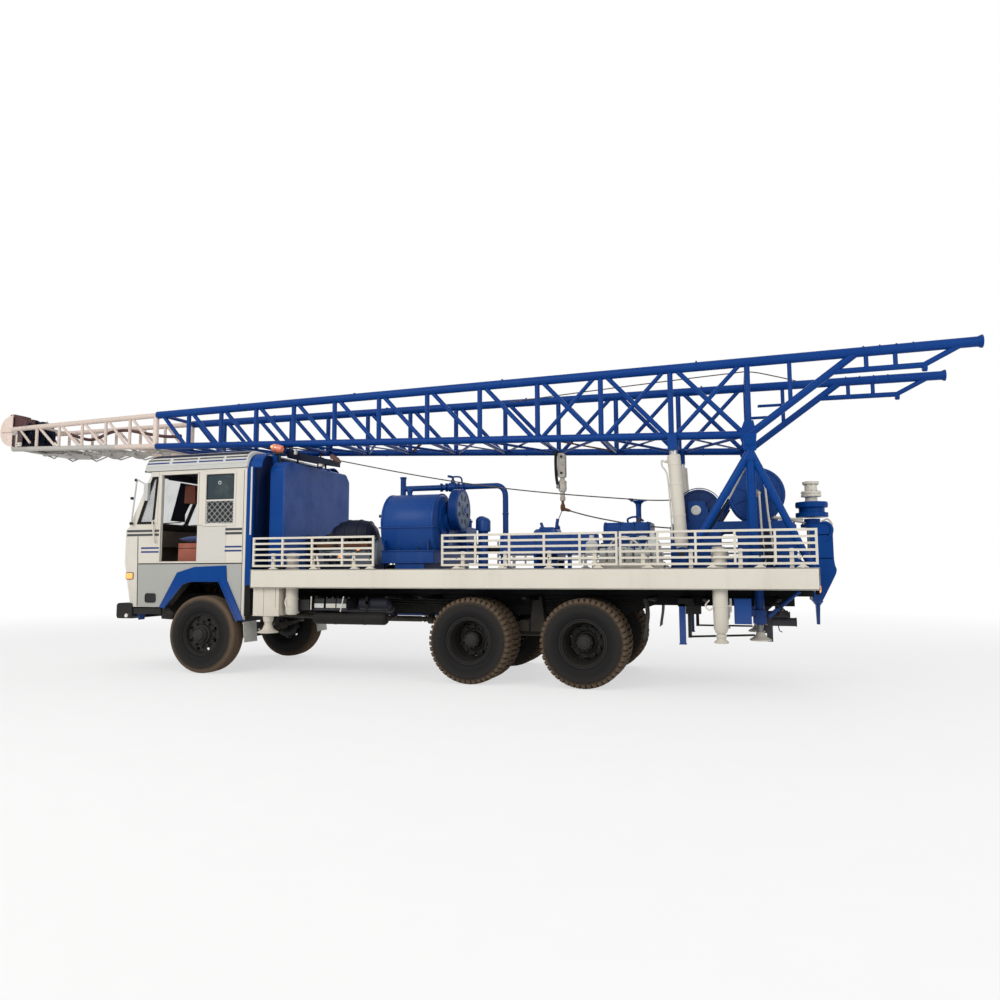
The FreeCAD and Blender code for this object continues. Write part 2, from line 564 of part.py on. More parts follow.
arch_outer = [("-714", "885"), ("-433", "1358"), ("-156", "1433"), ("344", "1451"),
              ("359", "1261"), ("636", "727")]
arch_inner = [("558", "726"), ("255", "1261"), ("-231", "1261"), ("-361", "1220"),
              ("-663", "887")]
arch_liner = [("-680", "895"), ("-371", "1232"), ("-235", "1276"), ("263", "1276"),
              ("441", "965"), ("425", "960")] + arch_inner[1:]
quarter_window = [("-1130", "2070"), ("-885", "2070"), ("-835", "2700"), ("-900", "2700")]


def cab_side(side):
    """Side wall with its door opening, windows, wheel arch and the recess for the sliding leaf."""
    back = "(screen_base_x + screen_frame)"
    outline = ([("cab_toe_x + 46", "cab_bottom_z"), ("cab_toe_x + 46", toe_z),
                ("cab_nose_x + 46", "belt_z"),
                ("cab_nose_x + 46", "waist_z - 30"), (f"{back} + 1", "waist_z + 10"),
                ("screen_top_x + screen_frame + 1", "cab_head_z"), ("cab_rear_x", "cab_head_z"),
                ("cab_rear_x", "727")] + arch_inner + [("-664", "cab_bottom_z")])
    wall = prism(outline, *span(side, inner_y, "cab_half_width"))
    band = prism(arch_outer + arch_inner, *span(side, inner_y, "cab_half_width + arch_band_proud"))
    liner = prism(arch_liner, *span(side, "arch_liner_y", f"{inner_y} + 5"))
    through = span(side, f"{inner_y} - 20", "cab_half_width + 20")
    door = box(("door_front_x", "door_rear_x"), through, ("door_bottom_z", "door_top_z"))
    window = box(("rear_window_front_x", "rear_window_rear_x"), through,
                 ("rear_window_bottom_z", "rear_window_top_z"))
    quarter = prism(quarter_window, *through)
    leaf_z = ("door_bottom_z - door_step", "door_leaf_top_z + door_gap")
    leaf_inner_y = "cab_half_width - door_leaf_wall - 2 * door_gap"
    recess = box(("door_front_x - door_gap", "door_leaf_end_x + 4"),
                 span(side, leaf_inner_y, "cab_half_width + 5"), leaf_z)
    pocket = box(("door_leaf_end_x", "door_leaf_end_x + door_tongue + door_gap"),
                 span(side, leaf_inner_y, "cab_half_width - door_gap"), leaf_z)
    return fused(cut(wall, door, window, quarter, recess, pocket), band, liner)


node("cab_left_side", cab_side("-1"))
node("cab_right_side", cab_side("1"))


def door_leaf(side):
    """Low sliding leaf, drawn slid open; its tongue stays inside the side wall's pocket."""
    height = ("door_bottom_z - door_step + seat_gap", "door_leaf_top_z")
    outer = "(cab_half_width - door_gap)"
    leaf = box(("door_rear_x + 4", "door_leaf_end_x - 3"),
               span(side, f"{outer} - door_leaf_wall", outer), height)
    tongue = box(("door_leaf_end_x - 5", "door_leaf_end_x + door_tongue"),
                 span(side, f"{outer} - door_leaf_wall", f"{outer} - door_gap"), height)
    return fused(leaf, tongue)


node("door_left", door_leaf("-1"))
node("door_right", door_leaf("1"))

roof_outline = [("roof_front_x", "cab_head_z"), ("roof_front_x", "roof_top_z - 60"),
                ("roof_front_x + 22", "roof_top_z - 22"), ("roof_front_x + 80", "roof_top_z"),
                ("cab_rear_x", "roof_top_z"), ("cab_rear_x", "cab_head_z")]
roof_hollow = [("roof_front_x + roof_wall", "cab_head_z - 1"),
               ("roof_front_x + roof_wall", "roof_top_z - 100"),
               ("roof_front_x + 120", "roof_top_z - roof_wall"),
               ("cab_rear_x - roof_wall", "roof_top_z - roof_wall"),
               ("cab_rear_x - roof_wall", "cab_head_z - 1")]
roof = cut(prism(roof_outline, "-cab_half_width", "cab_half_width"),
           prism(roof_hollow, f"-({inner_y} - 20)", f"{inner_y} - 20"))
node("cab_roof", roof)

back_half = "back_panel_half_width"
panel_x = ("cab_rear_x", "cab_rear_x + back_panel_wall")
panel_low = f"{rail_top} + door_gap"
back_panel = fused(box(panel_x, (f"-{back_half}", back_half),
                       (panel_low, "back_panel_top_z - back_panel_corner")),
                   box(panel_x, (f"-({back_half} - back_panel_corner)",
                                 f"{back_half} - back_panel_corner"),
                       (panel_low, "back_panel_top_z")),
                   *both_sides(lambda side: cylinder(
                       "x", "cab_rear_x", f"{side} * ({back_half} - back_panel_corner)",
                       "back_panel_top_z - back_panel_corner", "back_panel_corner",
                       "back_panel_wall")))
inner_panel = box(("cab_rear_x - 30", "cab_rear_x"), (f"-{inner_y}", inner_y),
                  ("cab_floor_z", "cab_head_z"))
node("cab_rear_wall", fused(back_panel, inner_panel))

floor_top = "(cab_floor_z + floor_wall)"
floor = box(("cab_nose_x + screen_frame + 60", "cab_rear_x - 30"), (f"-{inner_y}", inner_y),
            ("cab_floor_z", floor_top))
tunnel = box(("truck_engine_front_x - 40", f"{engine_back} - 60"),
             ("-(truck_engine_width / 2 + 40)", "truck_engine_width / 2 + 40"),
             (floor_top, f"{floor_top} + tunnel_rise"))
mounts = [box((f"{x} - 60", f"{x} + 60"), span(side, "rail_y", "rail_y + rail_width"),
              (rail_top, "cab_floor_z"))
          for x in ("cab_mount_front_x", "cab_mount_rear_x") for side in ("-1", "1")]
node("cab_floor", fused(floor, tunnel, *mounts))


def seat(side):
    y = span(side, "truck_engine_width / 2 + 60", f"{inner_y} - 60")
    base = box(("seat_front_x", "seat_rear_x"), y, (floor_top, "seat_z"))
    cushion = box(("seat_front_x", "seat_rear_x"), y, ("seat_z", "seat_z + seat_cushion"))
    back = box(("seat_rear_x", "seat_rear_x + seat_back_wall"), y, (floor_top, "seat_back_z"))
    return fused(base, cushion, back)


node("seats", grouped(*both_sides(seat)))

dash_front, dash_rear = "(cab_nose_x + 165)", "(cab_nose_x + 385)"
dash_y = (f"-({inner_y} - 5)", f"{inner_y} - 5")
dash = box((dash_front, dash_rear), dash_y, ("waist_z - 260", "waist_z - 30"))
dash_leg = box((dash_front, f"{dash_front} + 80"), dash_y, (floor_top, "waist_z - 260"))
column = leaning_bar((dash_rear, "waist_z - 120"), (f"{dash_rear} + 200", "waist_z + 30"),
                     "wheel_y", "28")
rim = doc.addObject("Part::Torus", "ring")
rim.Placement.Rotation = FreeCAD.Rotation(FreeCAD.Vector(0, 1, 0), dims.wheel_lean)
bind(rim, "Radius1", "wheel_radius")
bind(rim, "Radius2", "wheel_rim")
put(rim, f"{dash_rear} + 205", "wheel_y", "waist_z + 34")
spoke = box(("-12", "12"), ("-(wheel_radius - 3)", "wheel_radius - 3"), ("-9", "9"))
spoke.Placement.Rotation = FreeCAD.Rotation(FreeCAD.Vector(0, 1, 0), dims.wheel_lean)
put(spoke, f"{dash_rear} + 195", "wheel_y - (wheel_radius - 3)", "waist_z + 34")
node("dashboard", fused(dash, dash_leg, column, rim, spoke))

screen_low = "waist_z + screen_sill + seat_gap"
screen_high = "cab_head_z - screen_header - seat_gap"
screen_half = "(cab_half_width - screen_side - seat_gap)"
panes = [prism([("screen_base_x + 52", screen_low), ("screen_top_x - 18", screen_high),
                ("screen_top_x - 8", screen_high), ("screen_base_x + 62", screen_low)],
               f"-{screen_half}", screen_half)]
for side in ("-1", "1"):
    pane_y = span(side, "cab_half_width - glass_inset",
                  "cab_half_width - glass_inset + glass_wall")
    panes.append(box(("rear_window_front_x", "rear_window_rear_x"), pane_y,
                     ("glass_sill_z", "rear_window_top_z")))
    panes.append(prism(quarter_window, *pane_y))
node("cab_glass", grouped(*panes))

# ---------------------------------------------------------------- deck
plate = box(("deck_front_x", "deck_rear_x"), ("-deck_half_width", "deck_half_width"),
            ("deck_top_z - deck_plate", "deck_top_z"))
beam_low_z = "(deck_top_z - beam_height)"
beams = []
for x in ("deck_front_x", "front_jack_x + 225", "jack_box_front_x + jack_box_length + 200",
          "wheelbase - 900", "wheelbase", "wheelbase + tandem_spacing / 2",
          "wheelbase + tandem_spacing", "rear_jack_x - 500", "rear_jack_x + 180",
          "deck_rear_x - beam_width"):
    beams.append(box((x, f"{x} + beam_width"), ("-deck_half_width", "deck_half_width"),
                     (beam_low_z, "deck_top_z - deck_plate")))
bearers = both_sides(lambda side: box(("deck_front_x", "deck_rear_x"),
                                      span(side, "rail_y", "rail_y + rail_width"),
                                      (rail_top, beam_low_z)))
jack_holes = both_sides(lambda side: cylinder("z", "rear_jack_x", f"{side} * jack_y",
                                              "deck_top_z - 100", "jack_radius + jack_deck_gap",
                                              "200"))
node("deck", cut(fused(plate, *beams, *bearers), *jack_holes))

node("side_boards", grouped(*both_sides(
    lambda side: box(("deck_front_x", "deck_rear_x"),
                     span(side, "deck_half_width", "deck_half_width + board_wall"),
                     ("board_bottom_z", "board_bottom_z + board_height")))))


def guard(side, front, rear, posts, feet):
    """One guard rail: long bars, upright bars and short feet on the deck's edge."""
    y = span(side, "guard_y - guard_bar", "guard_y")
    pieces = []
    for bar in range(int(dims.guard_bars)):
        low = (f"guard_bottom_z + {bar} * (guard_top_z - guard_bottom_z - guard_bar)"
               " / (guard_bars - 1)")
        pieces.append(box((front, rear), y, (low, f"{low} + guard_bar")))
    for post in range(posts):
        x = f"{front} + {post} * (({rear}) - ({front}) - guard_bar) / {posts - 1}"
        pieces.append(box((x, f"{x} + guard_bar"), y, ("guard_bottom_z", "guard_top_z")))
    for foot in range(feet):
        x = f"{front} + {foot + 0.5} * (({rear}) - ({front})) / {feet}"
        pieces.append(box((f"{x} - guard_foot / 2", f"{x} + guard_foot / 2"),
                          span(side, "guard_y - 60", "guard_y - guard_bar"),
                          ("deck_top_z", "guard_bottom_z + guard_foot_rise")))
    return fused(*pieces)


pump_rear = "(pump_front_x + pump_length)"
guard_split = "(support_front_x - 690)"
guards = []
for side in ("-1", "1"):
    guards.append(guard(side, "deck_front_x + 5", "pump_front_x + 50", 5, 3))
    guards.append(guard(side, f"{pump_rear} + 200", f"{guard_split} - 10", 6, 4))
    guards.append(guard(side, f"{guard_split} + 10", "deck_rear_x - 5", 6, 4))
node("deck_guards", grouped(*guards))

# ---------------------------------------------------------------- water tank


def across(points, x_low, x_high):
    """An outline in the YZ plane, made solid between two values of X."""
    body, sketch = sketched(points)
    pad = body.newObject("PartDesign::Pad", "pad")
    pad.Profile = sketch
    pad.Midplane = True
    bind(pad, "Length", f"({x_high}) - ({x_low})")
    body.Placement.Rotation = FreeCAD.Rotation(FreeCAD.Vector(0, 0, 1), 90)
    return put(body, f"(({x_high}) + ({x_low})) / 2")


shoulder_y = "(water_tank_half_width - water_tank_chamfer)"
shoulder_z = "(water_tank_top_z - water_tank_chamfer)"
tank_outline = [("-water_tank_half_width", "deck_top_z"), ("water_tank_half_width", "deck_top_z"),
                ("water_tank_half_width", shoulder_z), (shoulder_y, "water_tank_top_z"),
                (f"-{shoulder_y}", "water_tank_top_z"), ("-water_tank_half_width", shoulder_z)]
node("water_tank", across(tank_outline, "water_tank_front_x",
                          "water_tank_front_x + water_tank_depth"))

# ---------------------------------------------------------------- deck machinery
engine = box(("engine_front_x", "engine_front_x + engine_length"),
             ("-engine_half_width", "engine_half_width"),
             ("deck_top_z", "deck_top_z + engine_height"))
gearbox_top = "(deck_top_z + gearbox_height)"
gearbox = box(("gearbox_front_x", "gearbox_front_x + gearbox_length"),
              ("-gearbox_half_width", "gearbox_half_width"), ("deck_top_z", gearbox_top))
gear_post = cylinder("z", "gearbox_front_x + 0.7 * gearbox_length", "0", gearbox_top,
                     "gear_post_radius", "gear_post_height")
unit = box(("unit_front_x", "unit_front_x + unit_length"),
           ("-unit_half_width", "unit_half_width"), ("deck_top_z", "deck_top_z + unit_height"))
node("deck_engine", grouped(engine, fused(gearbox, gear_post), unit))

guide_x = ("pump_front_x + 110", f"{pump_rear} - 110")
saddle_y = ("pump_y - pump_radius + 60", "fluid_outer_y - 30")
power_end = cylinder("x", "pump_front_x", "pump_y", "pump_axis_z", "pump_radius", "pump_length")
under = box(("pump_front_x - 5", f"{pump_rear} + 5"),
            ("pump_y - pump_radius - 5", "pump_y + pump_radius + 5"),
            ("pump_axis_z - pump_radius - 5", "pump_saddle_z"))
guide = box(guide_x, ("pump_y", "fluid_inner_y"), ("pump_saddle_z - 1", "guide_top_z"))
fluid_x = ("pump_front_x + 90", f"{pump_rear} - 20")
fluid_end = box(fluid_x, ("fluid_inner_y", "fluid_outer_y"), ("pump_saddle_z - 1", "fluid_top_z"))
pots = []
for place in (0.18, 0.5, 0.82):
    for y in ("fluid_inner_y + 120", "fluid_outer_y - 120"):
        pots.append(cylinder("z", f"{fluid_x[0]} + {place} * ({fluid_x[1]} - ({fluid_x[0]}))", y,
                             "fluid_top_z - 5", "valve_pot_radius", "valve_pot_rise + 5"))
pump_base = box(("pump_front_x + 20", f"{pump_rear} - 20"), saddle_y,
                ("pump_base_z", "pump_saddle_z"))
pump_foot = box(("pump_front_x + pump_foot_inset", f"{pump_rear} - pump_foot_inset + 50"),
                saddle_y, ("deck_top_z", "pump_base_z"))
sheave_boss = cylinder("x", f"{pump_rear} - 60", "-sheave_y", "sheave_z", "sheave_boss_radius",
                       "sheave_gap + 60 - fork_gap")
sheave_axle = cylinder("x", f"{pump_rear} - 60", "-sheave_y", "sheave_z", "sheave_shaft_radius",
                       "sheave_gap + sheave_width + 80")
post = cylinder("z", "pipe_front_x", "pipe_y", "deck_top_z", "pipe_post_radius",
                "pipe_cap_z - deck_top_z")
run = cylinder("x", "pipe_front_x", "pipe_y", "pipe_top_z", "pipe_radius",
               "pipe_rear_x - pipe_front_x")
drop = cylinder("z", "pipe_rear_x", "pipe_y", "deck_top_z", "pipe_post_radius",
                "pipe_top_z - deck_top_z + pipe_post_radius + 4")
node("mud_pump", grouped(fused(cut(power_end, under), guide, fluid_end, *pots, pump_base,
                               pump_foot, sheave_boss, sheave_axle), fused(post, run, drop)))

sheave_front = f"{pump_rear} + sheave_gap"
sheave = cut(cylinder("x", sheave_front, "-sheave_y", "sheave_z", "sheave_radius",
                      "sheave_width"),
             cylinder("x", f"{sheave_front} - 5", "-sheave_y", "sheave_z",
                      "sheave_shaft_radius + spindle_gap", "sheave_width + 10"))
node("pump_sheave", sheave)

# ---------------------------------------------------------------- drawworks
frame_inner_y = "(frame_half_width - frame_wall)"
cheeks = []
for side in ("-1", "1"):
    y = span(side, frame_inner_y, "frame_half_width")
    cheeks.append(box(("frame_front_x", "frame_rear_x"), y, ("deck_top_z", "frame_top_z")))
    for x, z in (("drum_x", "drum_z"), ("brake_x", "brake_z")):
        cheeks.append(box((f"{x} - bearing_half_length", f"{x} + bearing_half_length"), y,
                          ("frame_top_z - 50", f"{z} + bearing_rise")))
for x in ("frame_front_x", "brake_x + 300", "frame_rear_x - frame_tie"):
    cheeks.append(box((x, f"{x} + frame_tie"), ("-frame_half_width", "frame_half_width"),
                      ("deck_top_z", "deck_top_z + frame_tie_height")))
disc_y = f"({frame_inner_y} - brake_gap)"
for y in (f"-{disc_y}", f"{disc_y} - brake_wall"):
    cheeks.append(cylinder("y", "brake_x", y, "brake_z", "brake_radius", "brake_wall"))
cheeks.append(cylinder("y", "brake_x", f"-{frame_inner_y} - 5", "brake_z", "brake_shaft_radius",
                       f"2 * ({frame_inner_y} + 5)"))
cheeks.append(cylinder("y", "brake_x", f"-{disc_y}", "brake_z", "brake_drum_radius",
                       f"2 * {disc_y}"))
shaft_hole = cylinder("y", "drum_x", "-frame_half_width - 10", "drum_z",
                      "drum_shaft_radius + spindle_gap", "2 * frame_half_width + 20")
node("drawworks", cut(fused(*cheeks), shaft_hole))

drum = [cylinder("y", "drum_x", "-drum_half_width", "drum_z", "drum_radius",
                 "2 * drum_half_width"),
        cylinder("y", "drum_x", "-frame_half_width - drum_shaft_proud", "drum_z",
                 "drum_shaft_radius", "2 * (frame_half_width + drum_shaft_proud)")]
for y in ("-drum_half_width", "drum_half_width - drum_flange_wall"):
    drum.append(cylinder("y", "drum_x", y, "drum_z", "drum_flange_radius", "drum_flange_wall"))
node("winch_drum", fused(*drum))

# ---------------------------------------------------------------- rotary head at the tail
rotary_body = box(("rotary_body_front_x", "rotary_body_rear_x"),
                  ("-rotary_half_width", "rotary_half_width"),
                  ("rotary_body_low_z", "rotary_body_top_z"))
tip = "rotary_tip_half_length"
tongue = prism([("rotary_body_front_x", "rotary_body_low_z"),
                ("rotary_body_rear_x - 30", "rotary_body_low_z"),
                (f"rotary_x + {tip}", "rotary_tip_z"), (f"rotary_x - {tip}", "rotary_tip_z")],
               f"-{tip}", tip)
neck = cylinder("z", "rotary_x", "0", "rotary_body_top_z", "rotary_neck_radius",
                "rotary_table_z - rotary_body_top_z - seat_gap")
bore = cylinder("z", "rotary_x", "0", "rotary_body_low_z + 200", "swivel_bore", "1500")
node("rotary_gearbox", cut(fused(rotary_body, tongue, neck), bore))
table = [cylinder("z", "rotary_x", "0", "rotary_table_z", "rotary_table_radius",
                  "rotary_table_wall"),
         cylinder("z", "rotary_x", "0", "rotary_table_z", "swivel_bore + swivel_wall",
                  "swivel_top_z - rotary_table_z"),
         cylinder("z", "rotary_x", "0", "rotary_table_z + clamp_rise", "clamp_radius",
                  "clamp_height"),
         cylinder("z", "rotary_x", "0", "swivel_top_z - swivel_flange_wall", "swivel_radius",
                  "swivel_flange_wall")]
table_bore = cylinder("z", "rotary_x", "0", "rotary_table_z - 10", "swivel_bore", "1000")
bolt_holes = []
for index in range(int(dims.swivel_bolts)):
    turn = f"{index} * 360 / swivel_bolts"
    bolt_holes.append(cylinder("z", f"rotary_x + swivel_bolt_circle * cos({turn})",
                               f"swivel_bolt_circle * sin({turn})",
                               "swivel_top_z - swivel_flange_wall - 1", "swivel_bolt_radius",
                               "swivel_flange_wall + 10"))
node("rotary_table", cut(fused(*table), table_bore, *bolt_holes))

# ---------------------------------------------------------------- mast supports
lift_y = "(mast_hinge_half_width - mast_taper * (hinge_x - lift_eye_x) / 1000)"
supports = []
for side in ("-1", "1"):
    y = f"{side} * support_y"
    apex = ("hinge_x", "support_top_z")
    legs = [leaning_bar(("hinge_x", "deck_top_z"), apex, y, "support_radius"),
            leaning_bar(("support_front_x", "deck_top_z"), apex, y, "support_radius - 4"),
            leaning_bar(("support_rear_x", "deck_top_z"), apex, y, "support_radius - 8")]
    plate = box(("hinge_x - apex_length / 2", "hinge_x + apex_length / 2"),
                span(side, "support_y - apex_half_wall", "support_y + apex_half_wall"),
                ("hinge_z - apex_height / 2", "hinge_z + apex_height / 2"))
    pin_y = span(side, "mast_hinge_half_width - 40", "support_y")
    pin = cylinder("y", "hinge_x", pin_y[0], "hinge_z", "hinge_pin_radius",
                   f"{pin_y[1]} - ({pin_y[0]})")
    ground = box(("support_front_x - 200", "deck_rear_x"),
                 span(side, "support_y - 120", "support_y + 120"),
                 ("deck_top_z - 200", "deck_top_z"))
    supports.append(cut(fused(*legs, plate, pin), ground))
    for offset in ("-(lift_eye_half_width + bracket_gap + bracket_wall)",
                   "lift_eye_half_width + bracket_gap"):
        low = f"{side} * {lift_y} + ({offset})"
        ear = fused(box(("lift_base_x - 90", "lift_base_x + 90"), (low, f"{low} + bracket_wall"),
                        ("deck_top_z", "lift_base_z")),
                    cylinder("y", "lift_base_x", low, "lift_base_z", "90", "bracket_wall"))
        supports.append(cut(ear, cylinder("y", "lift_base_x", f"{low} - 5", "lift_base_z",
                                          "trunnion_radius + pin_gap", "bracket_wall + 10")))
rest_top = ("(hinge_z + mast_low_rise + mast_low_slope * (hinge_x - rest_x - rest_radius) / 1000"
            " - low_chord_radius - seat_gap)")
rest_posts = both_sides(lambda side: cylinder("z", "rest_x", f"{side} * rest_half_width",
                                              beam_low_z, "rest_radius",
                                              f"{rest_top} - {beam_low_z} - 60"))
rest_beam = box(("rest_x - rest_radius + 5", "rest_x + rest_radius - 5"),
                ("-rest_half_width - 60", "rest_half_width + 60"),
                (f"{rest_top} - rest_beam_height", rest_top))
rest_feet = both_sides(lambda side: box(("rest_x - rest_radius + 5", "deck_front_x"),
                                        span(side, "rest_half_width - 60",
                                             "rest_half_width + 60"),
                                        (beam_low_z, f"{beam_low_z} + 150")))
node("mast_supports", grouped(*supports, fused(*rest_posts, rest_beam, *rest_feet)))

# ---------------------------------------------------------------- mast


def tube(start, end, radius):
    axis = end - start
    return Part.makeCylinder(radius, axis.Length, start, axis)


def mast_half_width(x):
    return dims.mast_hinge_half_width + dims.mast_taper * (x - dims.hinge_x) / 1000


def low_z(x):
    return dims.hinge_z + dims.mast_low_rise - dims.mast_low_slope * (x - dims.hinge_x) / 1000


joint_x = dims.hinge_x - dims.joint_reach
crown_x = dims.hinge_x - dims.crown_reach
foot_x = dims.hinge_x + dims.foot_reach


def top_z(x):
    """The top chord falls very slowly towards the joint, and faster along the crown section."""
    slope = dims.mast_top_slope / 1000
    at_joint = dims.hinge_z + dims.mast_top_rise - slope * dims.joint_reach
    if x >= joint_x:
        return dims.hinge_z + dims.mast_top_rise + slope * (min(x, dims.hinge_x) - dims.hinge_x)
    return at_joint - dims.crown_drop * (joint_x - x) / (joint_x - crown_x)


def on_low(x, side):
    return FreeCAD.Vector(x, side * mast_half_width(x), low_z(x))


def on_top(x, side):
    return FreeCAD.Vector(x, side * mast_half_width(x), top_z(x))


bay_ends = [dims.hinge_x]
for bay in range(int(dims.blue_bays)):
    bay_ends.append(bay_ends[-1] - dims.first_bay * dims.bay_ratio ** bay)
bay_ends[-1] = joint_x + 40
frame_back_x = crown_x + dims.crown_frame_depth
crown_bay = (joint_x - 60 - crown_x - dims.crown_first_post) / dims.crown_bays
crown_ends = [joint_x - 60 - crown_bay * bay for bay in range(int(dims.crown_bays) + 1)]
offset = FreeCAD.Vector(45, 0, 0)


def mast_leg(side):
    """The slanted leg behind the hinge, its lower tube and the posts up to the top chord."""
    leg_low, leg_top = on_low(dims.hinge_x, side), on_top(dims.hinge_x + dims.leg_reach, side)
    knee = leg_low + (leg_top - leg_low) * dims.leg_knee
    toe_x = dims.hinge_x + dims.toe_reach
    toe = FreeCAD.Vector(toe_x, side * mast_half_width(toe_x), knee.z)
    members = [tube(leg_low, leg_top, dims.low_chord_radius - 4),
               tube(knee, toe, dims.leg_tube_radius),
               tube(toe, on_top(dims.hinge_x + dims.heel_reach, side), dims.leg_tube_radius - 2)]
    for reach in (0.39 * dims.leg_reach, 0.69 * dims.toe_reach, 0.85 * dims.toe_reach):
        x = dims.hinge_x + reach
        rise = min(reach / dims.leg_reach, dims.leg_knee)
        foot = FreeCAD.Vector(x, side * mast_half_width(x),
                              leg_low.z + (leg_top.z - leg_low.z) * rise)
        members.append(tube(foot, on_top(x, side), dims.leg_post_radius))
    return members


def rod_ears(side):
    """Two plates under the low chord that take the raising cylinder's rod eye."""
    x = dims.lift_eye_x
    plates = []
    reach = dims.lift_eye_half_width + dims.ear_gap + dims.lift_rod_radius / 2
    for inner in (-reach - dims.ear_wall, reach):
        corner = FreeCAD.Vector(x - dims.ear_length / 2, side * mast_half_width(x) + inner,
                                dims.hinge_z + dims.lift_eye_rise - dims.ear_drop)
        plates.append(Part.makeBox(dims.ear_length, dims.ear_wall,
                                   low_z(x) + 20 - corner.z, corner))
    corner = FreeCAD.Vector(x - dims.ear_length / 2,
                            side * mast_half_width(x) - reach - dims.ear_wall, low_z(x) - 20)
    plates.append(Part.makeBox(dims.ear_length, 2 * (reach + dims.ear_wall), 40, corner))
    return plates


def truss_side(side):
    """One side of the blue mast: chords, posts, diagonals, leg, hinge lug and rod ears."""
    members = [tube(on_top(joint_x, side), on_top(foot_x - 5, side), dims.top_chord_radius)]
    for bay, x in enumerate(bay_ends[:-1]):
        ahead = bay_ends[bay + 1]
        members.append(tube(on_low(x, side), on_top(x, side), dims.post_radius))
        members.append(tube(on_top(ahead, side) + offset, on_low(x, side) - offset,
                            dims.diagonal_radius))
        if bay < dims.crossed_bays:
            members.append(tube(on_low(ahead, side) + offset, on_top(x, side) - offset,
                                dims.diagonal_radius - 3))
    members.append(Part.makeCylinder(dims.foot_radius, dims.foot_wall,
                                     on_top(foot_x - dims.foot_wall, side),
                                     FreeCAD.Vector(1, 0, 0)))
    half_width = dims.mast_hinge_half_width
    corner = FreeCAD.Vector(dims.hinge_x - dims.lug_length / 2,
                            side * half_width - dims.lug_width / 2,
                            dims.hinge_z - dims.lug_drop)
    members.append(Part.makeBox(dims.lug_length, dims.lug_width, dims.lug_height, corner))
    low_chord = tube(on_low(joint_x, side), on_low(dims.hinge_x, side), dims.low_chord_radius)
    shape = low_chord.multiFuse(members + mast_leg(side) + rod_ears(side))
    bore_start = FreeCAD.Vector(dims.hinge_x, side * half_width - 100, dims.hinge_z)
    return shape.cut(Part.makeCylinder(dims.hinge_pin_radius + dims.pin_gap, 200, bore_start,
                                       FreeCAD.Vector(0, 1, 0)))


node("mast_left_side", computed(truss_side(-1)))
node("mast_right_side", computed(truss_side(1)))


def cross_bar(x, height_at, chord_radius, radius):
    """A strut across the mast whose ends sink just into the two chords."""
    reach = mast_half_width(x) - chord_radius + 8
    z = height_at(x)
    return tube(FreeCAD.Vector(x, -reach, z), FreeCAD.Vector(x, reach, z), radius)


def cross_brace(front, rear, height_at, chord_radius, radius, side):
    """One slanted brace in a bay, clear of the struts at its ends."""
    front, rear = front + 75, rear - 75
    near = mast_half_width(front) - chord_radius + 4
    far = mast_half_width(rear) - chord_radius + 4
    return tube(FreeCAD.Vector(front, -side * near, height_at(front)),
                FreeCAD.Vector(rear, side * far, height_at(rear)), radius)


bracing = []
for x in bay_ends:
    for height_at, chord in ((low_z, dims.low_chord_radius), (top_z, dims.top_chord_radius)):
        bracing.append(cross_bar(x, height_at, chord, dims.post_radius - 5))
for rear, front in zip(bay_ends[:-1], bay_ends[1:]):
    for height_at, chord in ((low_z, dims.low_chord_radius), (top_z, dims.top_chord_radius)):
        arms = [cross_brace(front, rear, height_at, chord, dims.brace_radius - thinner, side)
                for side, thinner in ((1, 0), (-1, 3))]
        bracing.append(arms[0].fuse(arms[1]))
for x in crown_ends:
    for height_at in (low_z, top_z):
        bracing.append(cross_bar(x, height_at, dims.crown_chord_radius,
                                 dims.crown_post_radius - 3))
for bay, (rear, front) in enumerate(zip(crown_ends[:-1], crown_ends[1:])):
    bracing.append(cross_brace(front, rear, low_z, dims.crown_chord_radius,
                               dims.crown_post_radius - 6, (-1) ** bay))
node("mast_bracing", computed(Part.makeCompound(bracing)))


def crown_side(side):
    start_x, end_x = frame_back_x + 4, joint_x - dims.joint_gap
    low_chord = tube(on_low(start_x, side), on_low(end_x, side), dims.crown_chord_radius)
    members = [tube(on_top(start_x, side), on_top(end_x, side), dims.crown_chord_radius)]
    for rear, front in zip(crown_ends[:-1], crown_ends[1:]):
        members.append(tube(on_low(rear, side), on_top(rear, side), dims.crown_post_radius))
        members.append(tube(on_top(front, side) + offset * 0.7, on_low(rear, side) - offset * 0.7,
                            dims.crown_post_radius - 3))
    last_x = crown_ends[-1]
    members.append(tube(on_low(last_x, side), on_top(last_x, side), dims.crown_post_radius))
    return low_chord.multiFuse(members)


node("crown_section", computed(Part.makeCompound([crown_side(-1), crown_side(1)])))

along_y = FreeCAD.Vector(0, 1, 0)
wheel_x = crown_x + dims.cheek_radius - dims.crown_nose
crown_z = (low_z(crown_x) + top_z(crown_x)) / 2 + dims.cheek_rise
cheek_half = dims.cheek_half_width
frame_half = mast_half_width(frame_back_x) + dims.crown_socket_radius
plates = []
for low_y in (-cheek_half, cheek_half - dims.cheek_wall):
    plates.append(Part.makeCylinder(dims.cheek_radius, dims.cheek_wall,
                                    FreeCAD.Vector(wheel_x, low_y, crown_z), along_y))
    plates.append(Part.makeBox(frame_back_x - wheel_x, dims.cheek_wall, 2 * dims.cheek_radius,
                               FreeCAD.Vector(wheel_x, low_y, crown_z - dims.cheek_radius)))
plates.append(Part.makeBox(40, 2 * frame_half, top_z(crown_x) - low_z(crown_x) + 90,
                           FreeCAD.Vector(frame_back_x - 40, -frame_half,
                                          low_z(crown_x) - 45)))
